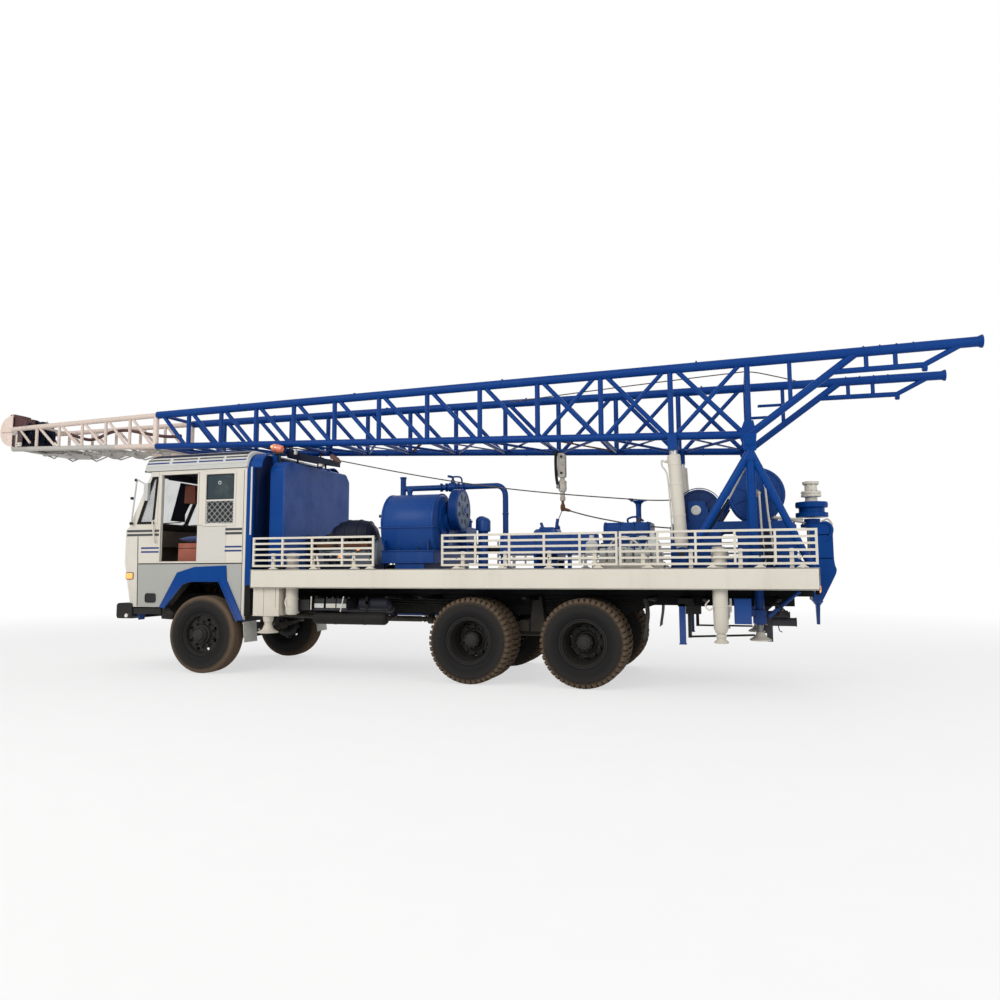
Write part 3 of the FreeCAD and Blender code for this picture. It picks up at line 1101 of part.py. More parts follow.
plates.append(Part.makeBox(frame_back_x - wheel_x, 2 * cheek_half, dims.cheek_wall,
                           FreeCAD.Vector(wheel_x, -cheek_half,
                                          crown_z + dims.cheek_radius - dims.cheek_wall)))
crown_shaft = Part.makeCylinder(dims.crown_shaft_radius, 2 * cheek_half,
                                FreeCAD.Vector(wheel_x, -cheek_half, crown_z), along_y)
sockets = [tube(at(frame_back_x - 10, side), at(frame_back_x + 3.7, side),
                dims.crown_socket_radius) for at in (on_low, on_top) for side in (-1, 1)]
node("crown_block", computed(crown_shaft.multiFuse(plates + sockets)))

inner_half = cheek_half - dims.cheek_wall
pitch = 2 * inner_half / dims.crown_sheaves
wheels = []
for index in range(int(dims.crown_sheaves)):
    middle = -inner_half + (index + 0.5) * pitch
    half = (pitch - dims.crown_sheave_gap) / 2
    hub = Part.makeCylinder(dims.crown_shaft_radius + 30, 2 * half,
                            FreeCAD.Vector(wheel_x, middle - half, crown_z), along_y)
    disc = Part.makeCylinder(dims.crown_sheave_radius, dims.crown_sheave_width,
                             FreeCAD.Vector(wheel_x, middle - dims.crown_sheave_width / 2,
                                            crown_z), along_y)
    bore_hole = Part.makeCylinder(dims.crown_shaft_radius + dims.spindle_gap, 4 * half,
                                  FreeCAD.Vector(wheel_x, middle - 2 * half, crown_z), along_y)
    wheels.append(hub.fuse(disc).cut(bore_hole))
node("crown_sheaves", computed(Part.makeCompound(wheels)))

block_x = dims.hinge_x - dims.block_reach
body_low = dims.block_bottom_z + dims.hook_length - 10
block_body = Part.makeBox(2 * dims.block_half_width, 2 * dims.block_half_width,
                          dims.block_top_z - dims.block_neck + 250 - body_low,
                          FreeCAD.Vector(block_x - dims.block_half_width,
                                         -dims.block_half_width, body_low))
hook = Part.makeCylinder(dims.hook_radius, dims.hook_length,
                         FreeCAD.Vector(block_x, 0, dims.block_bottom_z))
hang_x = min(bay_ends, key=lambda x: abs(x - block_x))
hanger = tube(FreeCAD.Vector(hang_x, 0, low_z(hang_x) - dims.post_radius + 10),
              FreeCAD.Vector(block_x, 0, dims.block_top_z - 150), dims.hanger_radius)
node("travelling_block", computed(block_body.multiFuse([hook, hanger])))

# ---------------------------------------------------------------- mast-raising cylinders
barrels, rods = [], []
lift_eye_z = "(hinge_z + lift_eye_rise)"
stroke = f"hypot(lift_eye_x - lift_base_x; {lift_eye_z} - lift_base_z)"


def along(distance):
    """A point on the line from the cylinder's foot to its rod eye."""
    return (f"lift_base_x + (lift_eye_x - lift_base_x) * ({distance}) / {stroke}",
            f"lift_base_z + ({lift_eye_z} - lift_base_z) * ({distance}) / {stroke}")


for side in ("-1", "1"):
    y = f"{side} * {lift_y}"
    shell = leaning_bar(along("100"), along("lift_barrel_length"), y, "lift_barrel_radius")
    bore = leaning_bar(along("200"), along("lift_barrel_length + 10"), y,
                       "lift_rod_radius + lift_rod_gap")
    trunnion = cylinder("y", "lift_base_x", f"{y} - trunnion_half_length", "lift_base_z",
                        "trunnion_radius", "2 * trunnion_half_length")
    neck = leaning_bar(("lift_base_x", "lift_base_z"), along("120"), y, "lift_eye_half_width")
    barrels.append(cut(fused(shell, trunnion, neck), bore))
    rod = leaning_bar(along("230"), along(f"{stroke} - 20"), y, "lift_rod_radius")
    eye = cylinder("y", "lift_eye_x", f"{y} - lift_eye_half_width", lift_eye_z,
                   "lift_eye_radius", "2 * lift_eye_half_width")
    rods.append(fused(rod, eye))
node("lift_barrels", grouped(*barrels))
node("lift_rods", grouped(*rods))

# ---------------------------------------------------------------- jacks
under_deck = "(deck_top_z - deck_plate - jack_deck_gap)"
jacks = {"front": ("front_jack_x", "jack_y", "front_jack_low_z", under_deck),
         "rear": ("rear_jack_x", "jack_y", "rear_jack_low_z", "rear_jack_top_z"),
         "tail": ("tail_jack_x", "tail_jack_y", "tail_jack_low_z", under_deck)}
housings = []
for x, y, low, high in jacks.values():
    for side in ("-1", "1"):
        shell = cylinder("z", x, f"{side} * {y}", low, "jack_radius", f"{high} - {low}")
        hole = cylinder("z", x, f"{side} * {y}", f"{low} - 10", "jack_rod_radius + jack_rod_gap",
                        f"{high} - {low} - jack_wall + 10")
        ear = box((f"{x} - jack_ear_half_length", f"{x} + jack_ear_half_length"),
                  span(side, "rail_y + rail_width", f"{y} - jack_radius + 20"),
                  ("rail_bottom_z + 60", "rail_bottom_z + 60 + jack_ear_height"))
        housings.append(cut(fused(shell, ear), hole))
for side in ("-1", "1"):
    housings.append(box(("jack_box_front_x", "jack_box_front_x + jack_box_length"),
                        span(side, "rail_y + rail_width", "tank_outer_y"),
                        ("jack_box_bottom_z", beam_low_z)))
node("jack_housings", grouped(*housings))

for word, side in (("left", "-1"), ("right", "1")):
    for name, (x, y, low, high) in jacks.items():
        rod = cylinder("z", x, f"{side} * {y}", "jack_foot_z", "jack_rod_radius",
                       f"{high} - jack_wall - 10 - jack_foot_z")
        foot = cylinder("z", x, f"{side} * {y}", "jack_foot_z", "jack_foot_radius",
                        "jack_foot_wall")
        node(f"{name}_jack_{word}", fused(rod, foot))

# ---------------------------------------------------------------- output
doc.recompute()
os.makedirs("parts", exist_ok=True)
for piece in doc.Objects:
    bad = [word for word in piece.State if word in ("Invalid", "Error")]
    if bad:
        raise RuntimeError(f"{piece.Label} failed: {piece.State}")
for piece in parts:
    if piece.Shape.isNull() or not piece.Shape.isValid():
        raise RuntimeError(f"{piece.Label} has no valid shape")
for piece in parts:
    piece.Shape.exportStep(f"parts/{piece.Label}.step")
print(len(parts), "nodes written")
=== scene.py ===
# Truck-mounted rotary drilling rig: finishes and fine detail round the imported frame.
# Metres throughout. The truck points along -X, its left side is -Y and the ground is z = 0.
import bpy
import bmesh
import json
import math
from mathutils import Matrix, Vector

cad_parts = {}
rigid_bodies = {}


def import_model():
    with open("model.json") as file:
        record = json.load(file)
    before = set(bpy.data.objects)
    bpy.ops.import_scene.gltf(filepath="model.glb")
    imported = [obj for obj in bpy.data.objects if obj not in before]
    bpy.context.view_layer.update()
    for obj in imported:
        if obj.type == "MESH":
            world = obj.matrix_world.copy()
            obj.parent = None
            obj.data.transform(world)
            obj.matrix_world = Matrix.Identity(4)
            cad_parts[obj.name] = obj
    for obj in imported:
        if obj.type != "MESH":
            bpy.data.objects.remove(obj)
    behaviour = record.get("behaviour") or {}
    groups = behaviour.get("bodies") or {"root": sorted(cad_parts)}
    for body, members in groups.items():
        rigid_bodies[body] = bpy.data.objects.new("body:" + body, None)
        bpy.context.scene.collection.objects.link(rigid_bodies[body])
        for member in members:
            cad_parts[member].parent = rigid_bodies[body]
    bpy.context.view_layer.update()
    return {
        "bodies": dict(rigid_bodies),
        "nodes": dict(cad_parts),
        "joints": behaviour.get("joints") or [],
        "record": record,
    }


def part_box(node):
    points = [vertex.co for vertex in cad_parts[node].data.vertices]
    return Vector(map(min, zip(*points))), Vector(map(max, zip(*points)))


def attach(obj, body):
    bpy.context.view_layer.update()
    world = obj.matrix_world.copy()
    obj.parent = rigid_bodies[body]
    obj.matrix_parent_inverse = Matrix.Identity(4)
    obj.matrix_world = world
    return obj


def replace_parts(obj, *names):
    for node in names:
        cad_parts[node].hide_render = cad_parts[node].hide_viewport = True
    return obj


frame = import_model()
nodes = frame["nodes"]


def middle(name):  # centre of a node's box
    low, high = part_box(name)
    return (low + high) / 2


axleX = middle("front_tyre_left").x  # everything along the truck is counted from the front axle
deckTop = 1.387  # upper face of the deck plates
railFace = 0.432  # where fittings meet the chassis rails' outer faces
sideName = {-1: "left", 1: "right"}
forward, rearward = (-1, 0, 0), (1, 0, 0)
leftward, rightward, upward = (0, -1, 0), (0, 1, 0), (0, 0, 1)


def at(x, y, z):
    return Vector((axleX + x, y, z))


print("frame loaded")


# shader wires
class Flow:  # one socket of a shader tree, usable in plain arithmetic
    def __init__(self, tree, socket=None):
        self.tree = tree
        self.socket = socket

    def node(self, kind, settings=None, sockets=None, out=0):
        made = self.tree.nodes.new(kind)
        for key, value in (settings or {}).items():
            if key == "stops":
                ramp = made.color_ramp
                ramp.elements.remove(ramp.elements[-1])
                ramp.elements[0].position, ramp.elements[0].color = value[0]
                for spot, shade in value[1:]:
                    ramp.elements.new(spot).color = shade
            else:
                setattr(made, key, value)
        for key, value in (sockets or {}).items():
            if isinstance(value, Flow):
                self.tree.links.new(value.socket, made.inputs[key])
            else:
                made.inputs[key].default_value = value
        return Flow(self.tree, made.outputs[out])

    def maths(self, operation, first, second=0.0, clamp=False):
        return self.node("ShaderNodeMath", {"operation": operation, "use_clamp": clamp},
            {0: first, 1: second})

    def __add__(self, other):
        return self.maths("ADD", self, other)

    __radd__ = __add__

    def __sub__(self, other):
        return self.maths("SUBTRACT", self, other)

    def __rsub__(self, other):
        return self.maths("SUBTRACT", other, self)

    def __mul__(self, other):
        return self.maths("MULTIPLY", self, other)

    __rmul__ = __mul__

    def __truediv__(self, other):
        return self.maths("DIVIDE", self, other)

    def __rtruediv__(self, other):
        return self.maths("DIVIDE", other, self)

    def __pow__(self, other):
        return self.maths("POWER", self, other)

    def __gt__(self, other):
        return self.maths("GREATER_THAN", self, other)

    def __lt__(self, other):
        return self.maths("LESS_THAN", self, other)

    def clipped(self):
        return self.maths("ADD", self, 0.0, clamp=True)

    def between(self, low, high):  # 0 below low, 1 above high, soft in between
        return self.node("ShaderNodeMapRange", {"interpolation_type": "SMOOTHSTEP"},
            {"Value": self, "From Min": low, "From Max": high})

    def mix(self, first, second):  # colours mixed by this value
        return self.node("ShaderNodeMix", {"data_type": "RGBA"}, {0: self, 6: first, 7: second}, 2)

    def stretched(self, x, y, z):  # a vector scaled by axis
        return self.node("ShaderNodeVectorMath", {"operation": "MULTIPLY"},
            {0: self, 1: (x, y, z)})

    def noise(self, scale, detail=3.0, rough=0.5):
        return self.node("ShaderNodeTexNoise", {}, {"Vector": self, "Scale": scale,
            "Detail": detail, "Roughness": rough})

    def axis(self, letter):
        return self.node("ShaderNodeSeparateXYZ", {}, {0: self}, letter)

    def bump(self, height, strength, distance):
        return self.node("ShaderNodeBump", {}, {"Height": height, "Strength": strength,
            "Distance": distance})


def shade(red, green, blue):  # a display colour, 0 to 255, as the shader wants it
    parts = [((c / 255 + 0.055) / 1.055) ** 2.4 if c > 10 else c / 255 / 12.92
        for c in (red, green, blue)]
    return (*parts, 1.0)


def newMaterial(name, fixed):
    material = bpy.data.materials.new(name)
    material.use_nodes = True
    shader = material.node_tree.nodes["Principled BSDF"]
    for socket, value in fixed.items():
        shader.inputs[socket].default_value = value
    return material, shader, Flow(material.node_tree)


def feed(shader, flow, links):
    for socket, value in links.items():
        flow.tree.links.new(value.socket, shader.inputs[socket])


def surfacePlace(flow):
    return flow.node("ShaderNodeTexCoord", {}, {}, "Object")


dust = shade(176, 166, 150)
oldDirt = shade(70, 60, 50)


def vehiclePaint(name, colour, worn, gloss=0.34, fade=0.35, streaks=0.25, dirt=0.5, chips=0.0,
        shine=0.2):
    material, shader, flow = newMaterial(name, {"Specular IOR Level": shine})
    place = surfacePlace(flow)
    height = place.axis("Z")
    cloud = place.noise(1.3, 5.0, 0.6).between(0.38, 0.72)
    run = place.stretched(11.0, 11.0, 0.9).noise(1.0, 3.0).between(0.52, 0.8)
    grain = place.noise(70.0, 2.0)
    low = (1.0 - height.between(0.45, 1.35)) * (0.35 + place.noise(5.0, 4.0) * 0.9)
    paint = (cloud * fade).mix(colour, worn)
    paint = (run * streaks).mix(paint, worn)
    paint = (low * dirt).clipped().mix(paint, dust)
    rough = gloss + cloud * 0.1 + run * 0.08 + low * (0.3 * dirt)
    if chips:
        bare = place.noise(26.0, 6.0, 0.72).between(0.66 - 0.05 * chips, 0.7)
        paint = bare.mix(paint, oldDirt)
        rough = rough + bare * 0.25
    wave = place.noise(2.6, 2.0) * 0.7 + grain * 0.02
    feed(shader, flow, {"Base Color": paint, "Roughness": rough.clipped(),
        "Normal": flow.bump(wave, 0.5, 0.012)})
    return material


creamPaint = vehiclePaint("cream_paint", shade(221, 215, 202), shade(200, 192, 176), streaks=0.3)
boardPaint = vehiclePaint("board_paint", shade(221, 216, 203), shade(206, 200, 187), streaks=0.35,
    dirt=0.25)
doorPaint = vehiclePaint("door_paint", shade(208, 205, 198), shade(194, 191, 184), fade=0.2)
crownPaint = vehiclePaint("crown_paint", shade(214, 198, 188), shade(176, 168, 162), streaks=0.6,
    fade=0.6)
crownGrey = vehiclePaint("crown_grey_paint", shade(176, 173, 168), shade(138, 135, 131), chips=0.6)
bluePaint = vehiclePaint("blue_paint", shade(6, 62, 134), shade(16, 74, 146), gloss=0.3, dirt=0.12,
    shine=0.1)
mastPaint = vehiclePaint("mast_paint", shade(8, 58, 130), shade(22, 72, 140), gloss=0.36,
    streaks=0.3, dirt=0.1, chips=0.2, shine=0.12)
machinePaint = vehiclePaint("machine_paint", shade(8, 60, 130), shade(38, 76, 132), gloss=0.34,
    streaks=0.45, dirt=0.12, chips=0.3, shine=0.2)
navyPaint = vehiclePaint("navy_paint", shade(12, 20, 42), shade(20, 28, 48), gloss=0.5, dirt=0.15)
chassisPaint = vehiclePaint("chassis_black", shade(13, 14, 18), shade(26, 26, 26), gloss=0.52,
    dirt=0.06, chips=0.1, shine=0.12)
rimPaint = vehiclePaint("rim_black", shade(17, 18, 20), shade(32, 31, 30), gloss=0.4, dirt=0.05,
    shine=0.2)
bumperPaint = vehiclePaint("bumper_black", shade(17, 18, 20), shade(28, 28, 28), gloss=0.42,
    dirt=0.04, shine=0.25)
maroonPaint = vehiclePaint("maroon_paint", shade(84, 56, 58), shade(118, 90, 84), gloss=0.6,
    fade=0.7, chips=0.5)
rustyPaint = vehiclePaint("rusty_steel", shade(96, 62, 44), shade(132, 92, 66), gloss=0.75)


def hazyTankPaint():  # bright blue under a patchy chalky haze that thins out towards the edges; on faces turned rearward the haze is much stronger, and that share is painted sheen
    material, shader, flow = newMaterial("tank_paint", {"Specular IOR Level": 0.15})
    place = surfacePlace(flow)
    facing = flow.node("ShaderNodeNewGeometry", {}, {}, "Normal").axis("X")
    # the haze is weighted by how far a face turns rearward: beyond the faint chalky share
    # everywhere, this is painted sheen
    bloomAndSheen = place.noise(2.2, 6.0, 0.65).between(0.3, 0.62) * (0.12 + facing.clipped() * 0.52)
    run = place.stretched(14.0, 14.0, 0.7).noise(1.0, 3.0).between(0.5, 0.78)
    chalkAndSheen = (bloomAndSheen + run * 0.18).clipped()
    paint = chalkAndSheen.mix(shade(10, 66, 142), shade(78, 104, 164))
    wave = place.noise(1.6, 2.0) + place.noise(60.0, 2.0) * 0.01
    feed(shader, flow, {"Base Color": paint, "Roughness": 0.28 + chalkAndSheen * 0.35,
        "Normal": flow.bump(wave, 0.6, 0.02)})
    return material


def bareSteel(name, colour, rough):
    material, shader, flow = newMaterial(name, {"Metallic": 0.85})
    place = surfacePlace(flow)
    scuff = place.stretched(3.0, 3.0, 40.0).noise(4.0, 4.0)
    spots = place.noise(18.0, 5.0, 0.7).between(0.6, 0.74)
    feed(shader, flow, {"Base Color": (spots * 0.55).mix(colour, shade(92, 74, 58)),
        "Roughness": (rough + scuff * 0.15 + spots * 0.3).clipped(),
        "Normal": flow.bump(scuff, 0.25, 0.002)})
    return material


def rubber(name, colour, dusty, amount):
    material, shader, flow = newMaterial(name, {"Specular IOR Level": 0.16})
    place = surfacePlace(flow)
    patch = place.noise(6.0, 6.0, 0.68).between(0.35, 0.75)
    fine = place.noise(120.0, 3.0)
    feed(shader, flow, {"Base Color": (patch * amount).mix(colour, dusty),
        "Roughness": (0.68 + patch * 0.25).clipped(), "Normal": flow.bump(fine, 0.35, 0.0015)})
    return material


def tyreRubber():  # black walls, browner and dustier towards the tread; the axle runs along local Y
    material, shader, flow = newMaterial("tyre_rubber", {"Specular IOR Level": 0.14})
    place = surfacePlace(flow)
    squares = place.axis("X") * place.axis("X") + place.axis("Z") * place.axis("Z")
    reach = squares ** 0.5
    patch = place.noise(9.0, 6.0, 0.7)
    crown = (reach + patch * 0.03).between(0.455, 0.515)
    scuffed = (reach + patch * 0.05).between(0.34, 0.47) * 0.22
    colour = scuffed.mix(shade(25, 25, 27), shade(74, 68, 60))
    colour = (crown * 0.85).mix(colour, shade(104, 88, 72))
    rings = (reach * 520.0).maths("SINE", reach * 520.0) * 0.5
    fine = place.noise(150.0, 3.0) + rings * 0.25
    feed(shader, flow, {"Base Color": colour, "Roughness": (0.6 + crown * 0.25
        + patch * 0.1).clipped(), "Normal": flow.bump(fine, 0.3, 0.0015)})
    return material


def tintedGlass(name, tint, alpha, rough=0.04):
    material, shader, flow = newMaterial(name, {"Specular IOR Level": 0.3, "IOR": 1.5})
    place = surfacePlace(flow)
    smear = place.noise(3.5, 5.0, 0.6).between(0.4, 0.8)
    feed(shader, flow, {"Base Color": (smear * 0.12).mix(tint, shade(150, 148, 140)),
        "Roughness": rough + smear * 0.22, "Alpha": alpha + smear * 0.06})
    return material


def lampLens(name, colour, glow):
    material, shader, flow = newMaterial(name, {"Coat Weight": 0.6, "Emission Strength": glow,
        "Specular IOR Level": 0.6})
    place = surfacePlace(flow)
    ribs = place.stretched(160.0, 160.0, 160.0).node("ShaderNodeTexVoronoi", {},
        {"Vector": place.stretched(150.0, 150.0, 150.0), "Scale": 1.0})
    tone = (ribs * 0.5).clipped().mix(colour, shade(255, 214, 150))
    feed(shader, flow, {"Base Color": tone, "Emission Color": tone, "Roughness": 0.16 + ribs * 0.1,
        "Normal": flow.bump(ribs, 0.4, 0.002)})
    return material


def wovenCloth():  # a plain zigzag weave in two blues for the seat covers
    material, shader, flow = newMaterial("seat_cloth",
        {"Sheen Weight": 0.25, "Specular IOR Level": 0.2})
    place = surfacePlace(flow)
    across, along = place.axis("Y") * 26.0, place.axis("X") * 26.0 + place.axis("Z") * 26.0
    teeth = across.maths("PINGPONG", across, 0.5) * 1.6
    lines = (along + teeth).maths("PINGPONG", along + teeth, 0.5) * 2.0
    thread = place.noise(900.0, 1.0)
    colour = lines.between(0.35, 0.6).mix(shade(20, 34, 86), shade(76, 100, 164))
    colour = (thread * 0.3).mix(colour, shade(14, 16, 34))
    feed(shader, flow, {"Base Color": colour, "Roughness": 0.8 + thread * 0.15,
        "Normal": flow.bump(thread + lines * 0.4, 0.5, 0.002)})
    return material


def mouldedTrim(name, colour, rough, scale=240.0):
    material, shader, flow = newMaterial(name, {"Specular IOR Level": 0.35})
    place = surfacePlace(flow)
    pores = place.node("ShaderNodeTexVoronoi", {}, {"Vector": place, "Scale": scale})
    wearing = place.noise(5.0, 4.0).between(0.45, 0.75)
    lifted = (colour[0] * 1.5 + 0.02, colour[1] * 1.5 + 0.02, colour[2] * 1.5 + 0.02, 1.0)
    feed(shader, flow, {"Base Color": (wearing * 0.4).mix(colour, lifted),
        "Roughness": (rough + wearing * 0.12).clipped(), "Normal": flow.bump(pores, 0.35, 0.0012)})
    return material


def ropeSteel():  # laid strands: dark grease in the valleys, dull wire on the crests
    material, shader, flow = newMaterial("wire_rope", {"Metallic": 0.6})
    place = surfacePlace(flow)
    twist = (place.axis("X") + place.axis("Z") * 0.8 + place.axis("Y") * 0.6) * 70.0
    strand = twist.maths("PINGPONG", twist, 0.5) * 2.0
    feed(shader, flow, {"Base Color": strand.mix(shade(52, 48, 44), shade(120, 112, 104)),
        "Roughness": 0.5 + strand * 0.1, "Normal": flow.bump(strand, 0.6, 0.003)})
    return material


def deckSheet():  # scuffed blue on top, black on the edges and below
    material, shader, flow = newMaterial("deck_blue", {"Specular IOR Level": 0.15})
    place = surfacePlace(flow)
    top = flow.node("ShaderNodeNewGeometry", {}, {}, "Normal").axis("Z") > 0.5
    cloud = place.noise(1.3, 5.0, 0.6).between(0.38, 0.72)
    bare = place.noise(26.0, 6.0, 0.72).between(0.62, 0.7)
    blue = bare.mix((cloud * 0.7).mix(shade(16, 54, 112), shade(62, 74, 96)), oldDirt)
    feed(shader, flow, {"Base Color": top.mix(shade(13, 14, 19), blue),
        "Roughness": (cloud * 0.15 + bare * 0.2 + 0.5).clipped()})
    return material


tankPaint = hazyTankPaint()
deckPaint = deckSheet()
chrome = bareSteel("polished_rod", shade(178, 180, 184), 0.16)
dullSteel = bareSteel("dull_steel", shade(128, 128, 128), 0.42)
darkSteel = bareSteel("dark_steel", shade(58, 58, 60), 0.5)
tyreSkin = tyreRubber()
hoseRubber = rubber("hose_rubber", shade(26, 26, 27), shade(84, 78, 70), 0.5)
sealRubber = rubber("seal_rubber", shade(18, 18, 19), shade(52, 50, 46), 0.35)
whiteHose = rubber("white_hose", shade(222, 218, 208), shade(176, 166, 150), 0.6)
paneGlass = tintedGlass("pane_glass", shade(44, 60, 66), 0.94, 0.12)
amberLens = lampLens("amber_lens", shade(255, 134, 12), 0.9)
redLens = lampLens("red_lens", shade(196, 14, 14), 0.2)
clearLens = lampLens("clear_lens", shade(214, 218, 220), 0.08)
seatCloth = wovenCloth()
seatBoxTrim = mouldedTrim("seat_box_leathercloth", shade(150, 84, 66), 0.6)
blackTrim = mouldedTrim("black_trim", shade(28, 28, 31), 0.5)
dashTrim = mouldedTrim("dash_trim", shade(96, 84, 72), 0.6)
ceilingTrim = mouldedTrim("ceiling_lining", shade(36, 40, 58), 0.8)
floorMat = mouldedTrim("floor_mat", shade(46, 42, 42), 0.85, 90.0)
wireRope = ropeSteel()
print("materials ready")


# mesh building
class Blank:  # loose shapes gathered into one mesh, each with its own finish
    def __init__(self):
        self.mesh = bmesh.new()
        self.finishes = []
        self.finish = 0

    def use(self, material):
        if material not in self.finishes:
            self.finishes.append(material)
        self.finish = self.finishes.index(material)
        return self

    def faces(self, points, rings):
        verts = [self.mesh.verts.new(p) for p in points]
        for ring in rings:
            face = self.mesh.faces.new([verts[i] for i in ring])
            face.material_index = self.finish
        return self

    def loft(self, loops, closed=False, capped=True):  # skins loops that have the same count
        count = len(loops[0])
        points = [p for loop in loops for p in loop]
        rings = []
        spans = len(loops) if closed else len(loops) - 1
        for i in range(spans):
            a, b = i * count, (i + 1) % len(loops) * count
            rings += [(a + j, a + (j + 1) % count, b + (j + 1) % count, b + j)
                for j in range(count)]
        if capped and not closed:
            rings += [tuple(range(count))[::-1], tuple((len(loops) - 1) * count + j
                for j in range(count))]
        return self.faces(points, rings)

    def block(self, low, high, taper=0.0):  # the two corners may come in any order
        (a, d), (b, e), (c, f) = (sorted(pair) for pair in zip(low, high))
        base = [Vector(p) for p in ((a, b, c), (d, b, c), (d, e, c), (a, e, c))]
        top = [Vector(p) for p in ((a + taper, b + taper, f), (d - taper, b + taper, f),
            (d - taper, e - taper, f), (a + taper, e - taper, f))]
        return self.loft([base, top])

    def ring(self, centre, direction, radius, sides, turn=0.0):
        along = Vector(direction).normalized()
        side = along.orthogonal().normalized()
        if abs(along.z) < 0.9:
            side = along.cross(Vector(upward)).normalized()
        up = along.cross(side)
        return [Vector(centre) + (side * math.cos(a) + up * math.sin(a)) * radius
            for a in (turn + 2 * math.pi * i / sides for i in range(sides))]

    def rod(self, start, end, radius, far=None, sides=16):
        along = Vector(end) - Vector(start)
        return self.loft([self.ring(start, along, radius, sides),
            self.ring(end, along, radius if far is None else far, sides)])

    def turned(self, centre, direction, profile, sides=40, closed=False):
        along = Vector(direction).normalized()  # profile: (distance along, radius) pairs
        loops = [self.ring(Vector(centre) + along * d, along, max(r, 0.0004), sides)
            for d, r in profile]
        return self.loft(loops, closed)

    def bolts(self, centre, direction, circle, count, radius, height, turn=0.0):
        along = Vector(direction).normalized()
        for spot in self.ring(centre, along, circle, count, turn):
            self.rod(spot, spot + along * height, radius, radius * 0.94, 6)
        return self

    def square(self, start, end, width, height, up=upward):  # a straight square bar
        along = (Vector(end) - Vector(start)).normalized()
        side = along.cross(Vector(up)).normalized() * width / 2
        rise = side.cross(along).normalized() * height / 2
        loops = [[Vector(p) + side * s + rise * r for s, r in ((-1, -1), (1, -1), (1, 1), (-1, 1))]
            for p in (start, end)]
        return self.loft(loops)

    def prism(self, outline, depth):  # a flat outline of points, pushed along a vector
        shift = Vector(depth)
        front = [Vector(p) for p in outline]
        return self.loft([front, [p + shift for p in front]])

    def tube(self, path, radius, sides=12, capped=True):  # a round tube through close points
        points = [Vector(p) for p in path]
        loops, side = [], None
        for i, p in enumerate(points):
            along = (points[min(i + 1, len(points) - 1)] - points[max(i - 1, 0)]).normalized()
            if side is None:
                side = along.orthogonal().normalized()
            side = (side - along * side.dot(along)).normalized()
            up = along.cross(side)
            width = radius[i] if isinstance(radius, list) else radius
            loops.append([p + (side * math.cos(a) + up * math.sin(a)) * width
                for a in (2 * math.pi * j / sides for j in range(sides))])
        return self.loft(loops, capped=capped)

    def curve(self, knots, radius, sides=10, steps=7):  # a smooth tube through a few knots
        return self.tube(smoothLine(knots, steps), radius, sides)

    def cut(self, outlines, depth, place):  # a plate with holes: outlines in its own flat plane
        flat = bpy.data.curves.new("cut", "CURVE")
        flat.dimensions, flat.fill_mode = "2D", "BOTH"
        flat.extrude = depth / 2
        for outline in outlines:
            spline = flat.splines.new("POLY")
            spline.points.add(len(outline) - 1)
            for point, (x, y) in zip(spline.points, outline):
                point.co = (x, y, 0, 1)
            spline.use_cyclic_u = True
        holder = bpy.data.objects.new("cut", flat)
        made = bpy.data.meshes.new_from_object(holder)
        made.transform(place)
        for polygon in made.polygons:
            polygon.material_index = 0
        before = len(self.mesh.faces)
        self.mesh.from_mesh(made)
        self.mesh.faces.ensure_lookup_table()
        for i in range(before, len(self.mesh.faces)):
            self.mesh.faces[i].material_index = self.finish
        bpy.data.objects.remove(holder)
        bpy.data.meshes.remove(made)
        bpy.data.curves.remove(flat)
        return self

    def made(self, name, body, bevel=0.0, crease=35.0, stands=(), slot=None, levels=0,
            merge=False):
        mesh = self.mesh
        if merge:
            bmesh.ops.remove_doubles(mesh, verts=mesh.verts, dist=1e-5)
        bmesh.ops.recalc_face_normals(mesh, faces=mesh.faces)
        for edge in mesh.edges:
            edge.smooth = edge.calc_face_angle(0.0) < math.radians(crease)
        for face in mesh.faces:
            face.smooth = True
        data = bpy.data.meshes.new(name)
        mesh.to_mesh(data)
        mesh.free()
        for material in self.finishes:
            data.materials.append(material)
        piece = bpy.data.objects.new(name, data)
        bpy.context.scene.collection.objects.link(piece)
        if bevel:
            edges = piece.modifiers.new("edges", "BEVEL")
            edges.width, edges.segments = bevel, 2
            edges.limit_method, edges.angle_limit = "ANGLE", math.radians(crease)
            edges.harden_normals = True
        if levels:
            rounding = piece.modifiers.new("rounding", "SUBSURF")
            rounding.levels = rounding.render_levels = levels
        if body:
            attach(piece, body)
        if stands:
            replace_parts(piece, *stands)
        return piece


def smoothLine(knots, steps=7):  # Catmull-Rom through the knots
    points = [Vector(k) for k in knots]
    ends = [points[0] * 2 - points[1], *points, points[-1] * 2 - points[-2]]
    line = []
    for i in range(len(points) - 1):
        a, b, c, d = ends[i:i + 4]
        for s in range(steps):
            t = s / steps
            line.append(0.5 * ((2 * b) + (c - a) * t + (2 * a - 5 * b + 4 * c - d) * t * t
                + (3 * b - 3 * c + d - a) * t ** 3))
    line.append(points[-1])
    return line


def roundedBox(low, high, radius, steps=4):  # a flat outline with rounded corners
    (a, b), (c, d) = low, high
    points = []
    for cx, cy, start in ((c - radius, d - radius, 0), (a + radius, d - radius, 90),
            (a + radius, b + radius, 180), (c - radius, b + radius, 270)):
        points += [(cx + radius * math.cos(math.radians(start + 90 * s / steps)),
            cy + radius * math.sin(math.radians(start + 90 * s / steps)))
            for s in range(steps + 1)]
    return points


def circle(cx, cy, radius, sides=32, turn=0.0):
    return [(cx + radius * math.cos(turn + 2 * math.pi * i / sides),
        cy + radius * math.sin(turn + 2 * math.pi * i / sides)) for i in range(sides)]


sideOn = Matrix(((1, 0, 0, 0), (0, 0, 1, 0), (0, 1, 0, 0), (0, 0, 0, 1)))  # flat x, y to truck x, z


